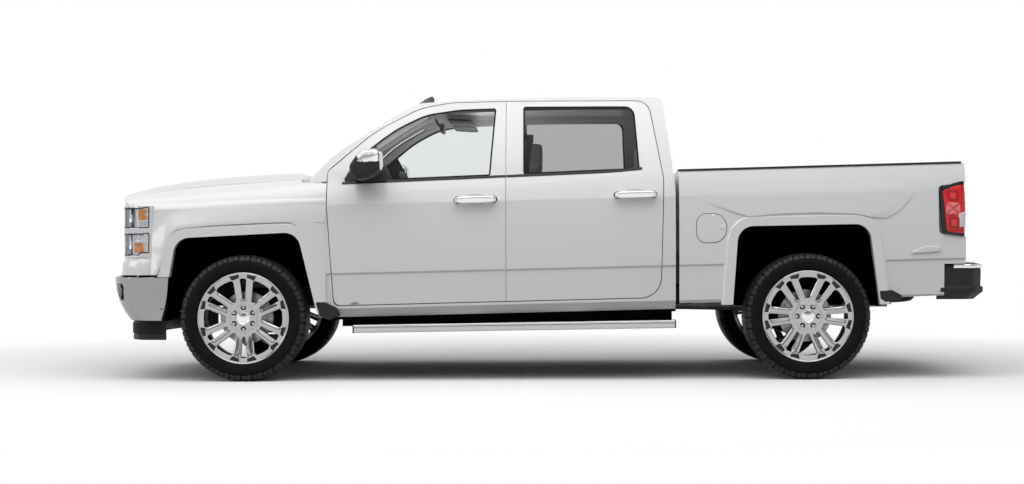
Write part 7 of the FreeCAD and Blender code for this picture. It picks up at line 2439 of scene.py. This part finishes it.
for k in range(6):
    a = 2 * math.pi * k / 6
    c = (spare_x + spare_r * 0.26 * math.cos(a), spare_y + spare_r * 0.26 * math.sin(a),
         spare_z + spare_w * 0.34)
    studs.lathe([(0.01, 8.0), (7.0, 7.0), (9.0, 3.0), (9.0, -2.0)], c, "z", 12)
studs.make("spare_studs", "root", "frame_black", frame_black, 35)

# Valve covers with ribs beside the engine cover, and a fan in its shroud behind the radiator
valves = Shape()
for sign in (-1, 1):
    y0, y1 = sorted((sign * 222.0, sign * 294.0))
    loop = box_loop(-2385.0, -1740.0, y0, y1, 24.0, 6)
    valves.rings(stacked(loop, (
        (1090.0, 0.0), (1134.0, 0.0), (1142.0, 4.0), (1146.0, 12.0))), True, True)
    for k in range(8):
        x = -2340.0 + 80.0 * k
        valves.box(x - 5.0, x + 5.0, y0 + 6.0, y1 - 6.0, 1140.0, 1150.0)
rounded(outward(valves.make("valve_covers", "root", "cast_metal", cast_metal, 35)), 2.0)
fan = Shape()
fan.lathe([(292.0, 0.0), (298.0, -3.0), (312.0, -2.0), (316.0, 4.0), (314.0, 36.0), (300.0, 40.0),
           (292.0, 36.0)],
          (-2562.0, 0.0, 820.0), "x", 72, closed=True)
fan.lathe([(0.01, 34.0), (40.0, 32.0), (58.0, 26.0), (62.0, 8.0), (0.01, 6.0)], (-2562.0, 0.0, 820.0), "x",
          36)
for k in range(7):
    a0 = 2 * math.pi * k / 7
    rings = []
    for j in range(8):
        r = 56.0 + 228.0 * j / 7
        pitch = 0.9 - 0.5 * j / 7
        ring = []
        for along_share, out in ((-1.0, 0.0), (0.0, 2.4), (1.0, 0.0), (0.0, -2.4)):
            wide = (34.0 + 22.0 * j / 7) * along_share
            a = a0 + 0.22 * j / 7 + wide * math.cos(pitch) / r
            x = -2562.0 + 19.0 + wide * math.sin(pitch) * 0.45 + out
            ring.append((x, r * math.sin(a), 820.0 + r * math.cos(a)))
        rings.append(ring)
    fan.rings(rings, True, True)
outward(fan.make("cooling_fan", "root", "black_plastic", black_plastic, 35))


def lined_paint():
    """Paint outside and grey trim on the faces that look into the cabin."""
    material, tree, shader = node_tree("paint_lined")
    place = tree.nodes.new("ShaderNodeTexCoord")
    away = vector_of(tree, "SUBTRACT", place.outputs["Object"], (-0.1, 0.0, 1.25))
    weighed = vector_of(tree, "MULTIPLY", away, (0.12, 1.0, 0.8))
    facing = vector_of(tree, "DOT_PRODUCT", weighed, place.outputs["Normal"], "Value")
    inward = math_of(tree, "LESS_THAN", facing, -0.05)
    outer = ramp_of(tree, noise_of(tree, 1.2), [(0.3, (0.80, 0.805, 0.81)), (0.7, (0.804, 0.809, 0.814))])
    inner = ramp_of(tree, noise_of(tree, 14.0), [(0.3, (0.40, 0.40, 0.405)), (0.7, (0.44, 0.44, 0.445))])
    tree.links.new(mixed(tree, inward, outer, inner), shader.inputs["Base Color"])
    tree.links.new(ranged(tree, inward, 0.28, 0.8, 0.0, 1.0), shader.inputs["Roughness"])
    shader.inputs["Coat Weight"].default_value = 0.3
    return material


# CAD nodes that keep their shape get their finishes here
paint_lined = lined_paint()
finishes = {
    "body_paint": paint, "chrome_trim": chrome, "black_plastic": black_plastic, "frame_black": frame_black,
    "cast_metal": cast_metal, "bare_steel": bare_steel, "bright_aluminium": aluminium,
    "wheel_chrome": wheel_chrome, "tyre_rubber": rubber, "tinted_glass": front_glass,
    "lamp_clear": chrome, "lamp_red": gloss_black, "seat_trim": seat_cloth, "cabin_plastic": trim_dark,
}
slot_of = {row["node"]: row["material_slot"] for row in frame["record"]["subparts"]}
for name, obj in nodes.items():
    material = finishes[slot_of[name]]
    if name.startswith("glass_rear"):
        material = dark_glass
    if name == "cab_shell" or name.startswith("door_"):
        material = paint_lined
    if name == "wheel_liners":
        material = liner_felt_painted_shade
    obj.data.materials.clear()
    obj.data.materials.append(material)


# Floor, light and camera
floor_mesh = bpy.data.meshes.new("floor")
reach = 60.0
floor_mesh.from_pydata([(-reach, -reach, 0), (reach, -reach, 0), (reach, reach, 0), (-reach, reach, 0)], [],
                       [(0, 1, 2, 3)])
floor = bpy.data.objects.new("floor", floor_mesh)
scene.collection.objects.link(floor)
floor_material, tree, shader = node_tree("studio_floor")
shader.inputs["Roughness"].default_value = 0.9
shader.inputs["Specular IOR Level"].default_value = 0.1


def background_rays(tree):
    """1 for a ray that shows the background: from the camera, a mirror or through glass."""
    rays = tree.nodes.new("ShaderNodeLightPath").outputs
    found = math_of(tree, "MAXIMUM", rays["Is Camera Ray"], rays["Is Glossy Ray"])
    return math_of(tree, "MAXIMUM", found, rays["Is Transmission Ray"])


shown = background_rays(tree)
floor_tint = mixed(tree, shown, (0.26, 0.26, 0.265, 1), (0.98, 0.98, 0.98, 1))
tree.links.new(floor_tint, shader.inputs["Base Color"])
# Away from the vehicle the floor is plain white, so that it meets the backdrop without a line
ground = tree.nodes.new("ShaderNodeTexCoord").outputs["Object"]
ground = vector_of(tree, "MULTIPLY", ground, (0.75, 1.0, 1.0))
distance = filled(tree, "ShaderNodeVectorMath", {0: ground}, operation="LENGTH").outputs["Value"]
share = math_of(tree, "MULTIPLY", ranged(tree, distance, 0.0, 1.0, 2.6, 5.0), shown)
white = tree.nodes.new("ShaderNodeEmission").outputs[0]
both = filled(tree, "ShaderNodeMixShader", {0: share, 1: shader.outputs[0], 2: white})
tree.links.new(both.outputs[0], tree.nodes["Material Output"].inputs[0])
floor.data.materials.append(floor_material)

world = bpy.data.worlds.new("studio")
scene.world = world
world.use_nodes = True
tree = world.node_tree
tree.nodes.clear()
place = tree.nodes.new("ShaderNodeTexCoord")
split = tree.nodes.new("ShaderNodeSeparateXYZ")
tree.links.new(place.outputs["Generated"], split.inputs[0])


def levels_of(tree, factor, levels):
    """A grey level for each height of the sky."""
    return ramp_of(tree, factor, [(at, (level,) * 3) for at, level in levels])


height = split.outputs["Z"]
sky = levels_of(tree, height, ((0.0, 0.10), (0.10, 0.12), (0.34, 0.22), (0.60, 0.60), (1.0, 0.62)))
wall = levels_of(tree, height, ((0.0, 1.0), (0.12, 1.0), (0.20, 0.55), (0.34, 0.12), (0.60, 0.25),
                                (0.80, 0.9), (1.0, 1.0)))
# The studio's wall behind the part stays pale right up to the ceiling
back_wall = levels_of(tree, height, ((0.0, 1.0), (0.15, 1.0), (0.24, 0.76), (1.0, 0.80)))
behind = ranged(tree, split.outputs["Y"], 0.0, 1.0, 0.15, 0.5)
walls = mixed(tree, behind, wall, back_wall)
backdrop = mixed(tree, background_rays(tree), sky, walls)
glow = filled(tree, "ShaderNodeBackground", {0: backdrop, 1: 1.0})
tree.links.new(glow.outputs[0], tree.nodes.new("ShaderNodeOutputWorld").inputs[0])


def area_light(name, place, target, size, power):
    data = bpy.data.lights.new(name, "AREA")
    data.shape = "RECTANGLE"
    data.size, data.size_y = size
    data.energy = power
    obj = bpy.data.objects.new(name, data)
    scene.collection.objects.link(obj)
    obj.location = place
    aim = Vector(target) - Vector(place)
    obj.rotation_mode = "QUATERNION"
    obj.rotation_quaternion = aim.to_track_quat("-Z", "Y")
    return obj


area_light("top_light", (0.0, -3.4, 6.4), (0.0, -0.5, 0.6), (13.0, 4.2), 285.0)
area_light("side_light", (0.0, -7.0, 5.0), (0.0, -1.0, 1.2), (14.0, 3.2), 90.0)
cabin_light = bpy.data.lights.new("cabin_light", "POINT")
cabin_light.energy = 13.0
cabin_light.shadow_soft_size = 0.12
cabin_lamp = bpy.data.objects.new("cabin_light", cabin_light)
scene.collection.objects.link(cabin_lamp)
cabin_lamp.location = (-0.42, 0.0, 1.46)
cabin_lamp.visible_camera = False
cabin_lamp.visible_glossy = False
cabin_lamp.visible_transmission = False
area_light("nose_light", (-8.5, -3.5, 3.4), (-2.6, -0.6, 0.9), (3.0, 3.0), 90.0)

camera_data = bpy.data.cameras.new("camera")
camera = bpy.data.objects.new("camera", camera_data)
scene.collection.objects.link(camera)
scene.camera = camera
# It looks straight at the left side from 12 m away, rolled by a hair as in the photo
camera_data.sensor_width = 36.0
camera_data.lens = 60.2
camera_data.shift_x = -0.0283
camera_data.shift_y = 0.002
roll = 0.00355
camera.matrix_world = Matrix((
    (math.cos(roll), math.sin(roll), 0.0, -0.0145),
    (0.0, 0.0, -1.0, -12.03),
    (-math.sin(roll), math.cos(roll), 0.0, 0.880),
    (0.0, 0.0, 0.0, 1.0),
))
camera_data.clip_end = 200.0

scene.view_settings.view_transform = "Standard"

bpy.context.view_layer.update()
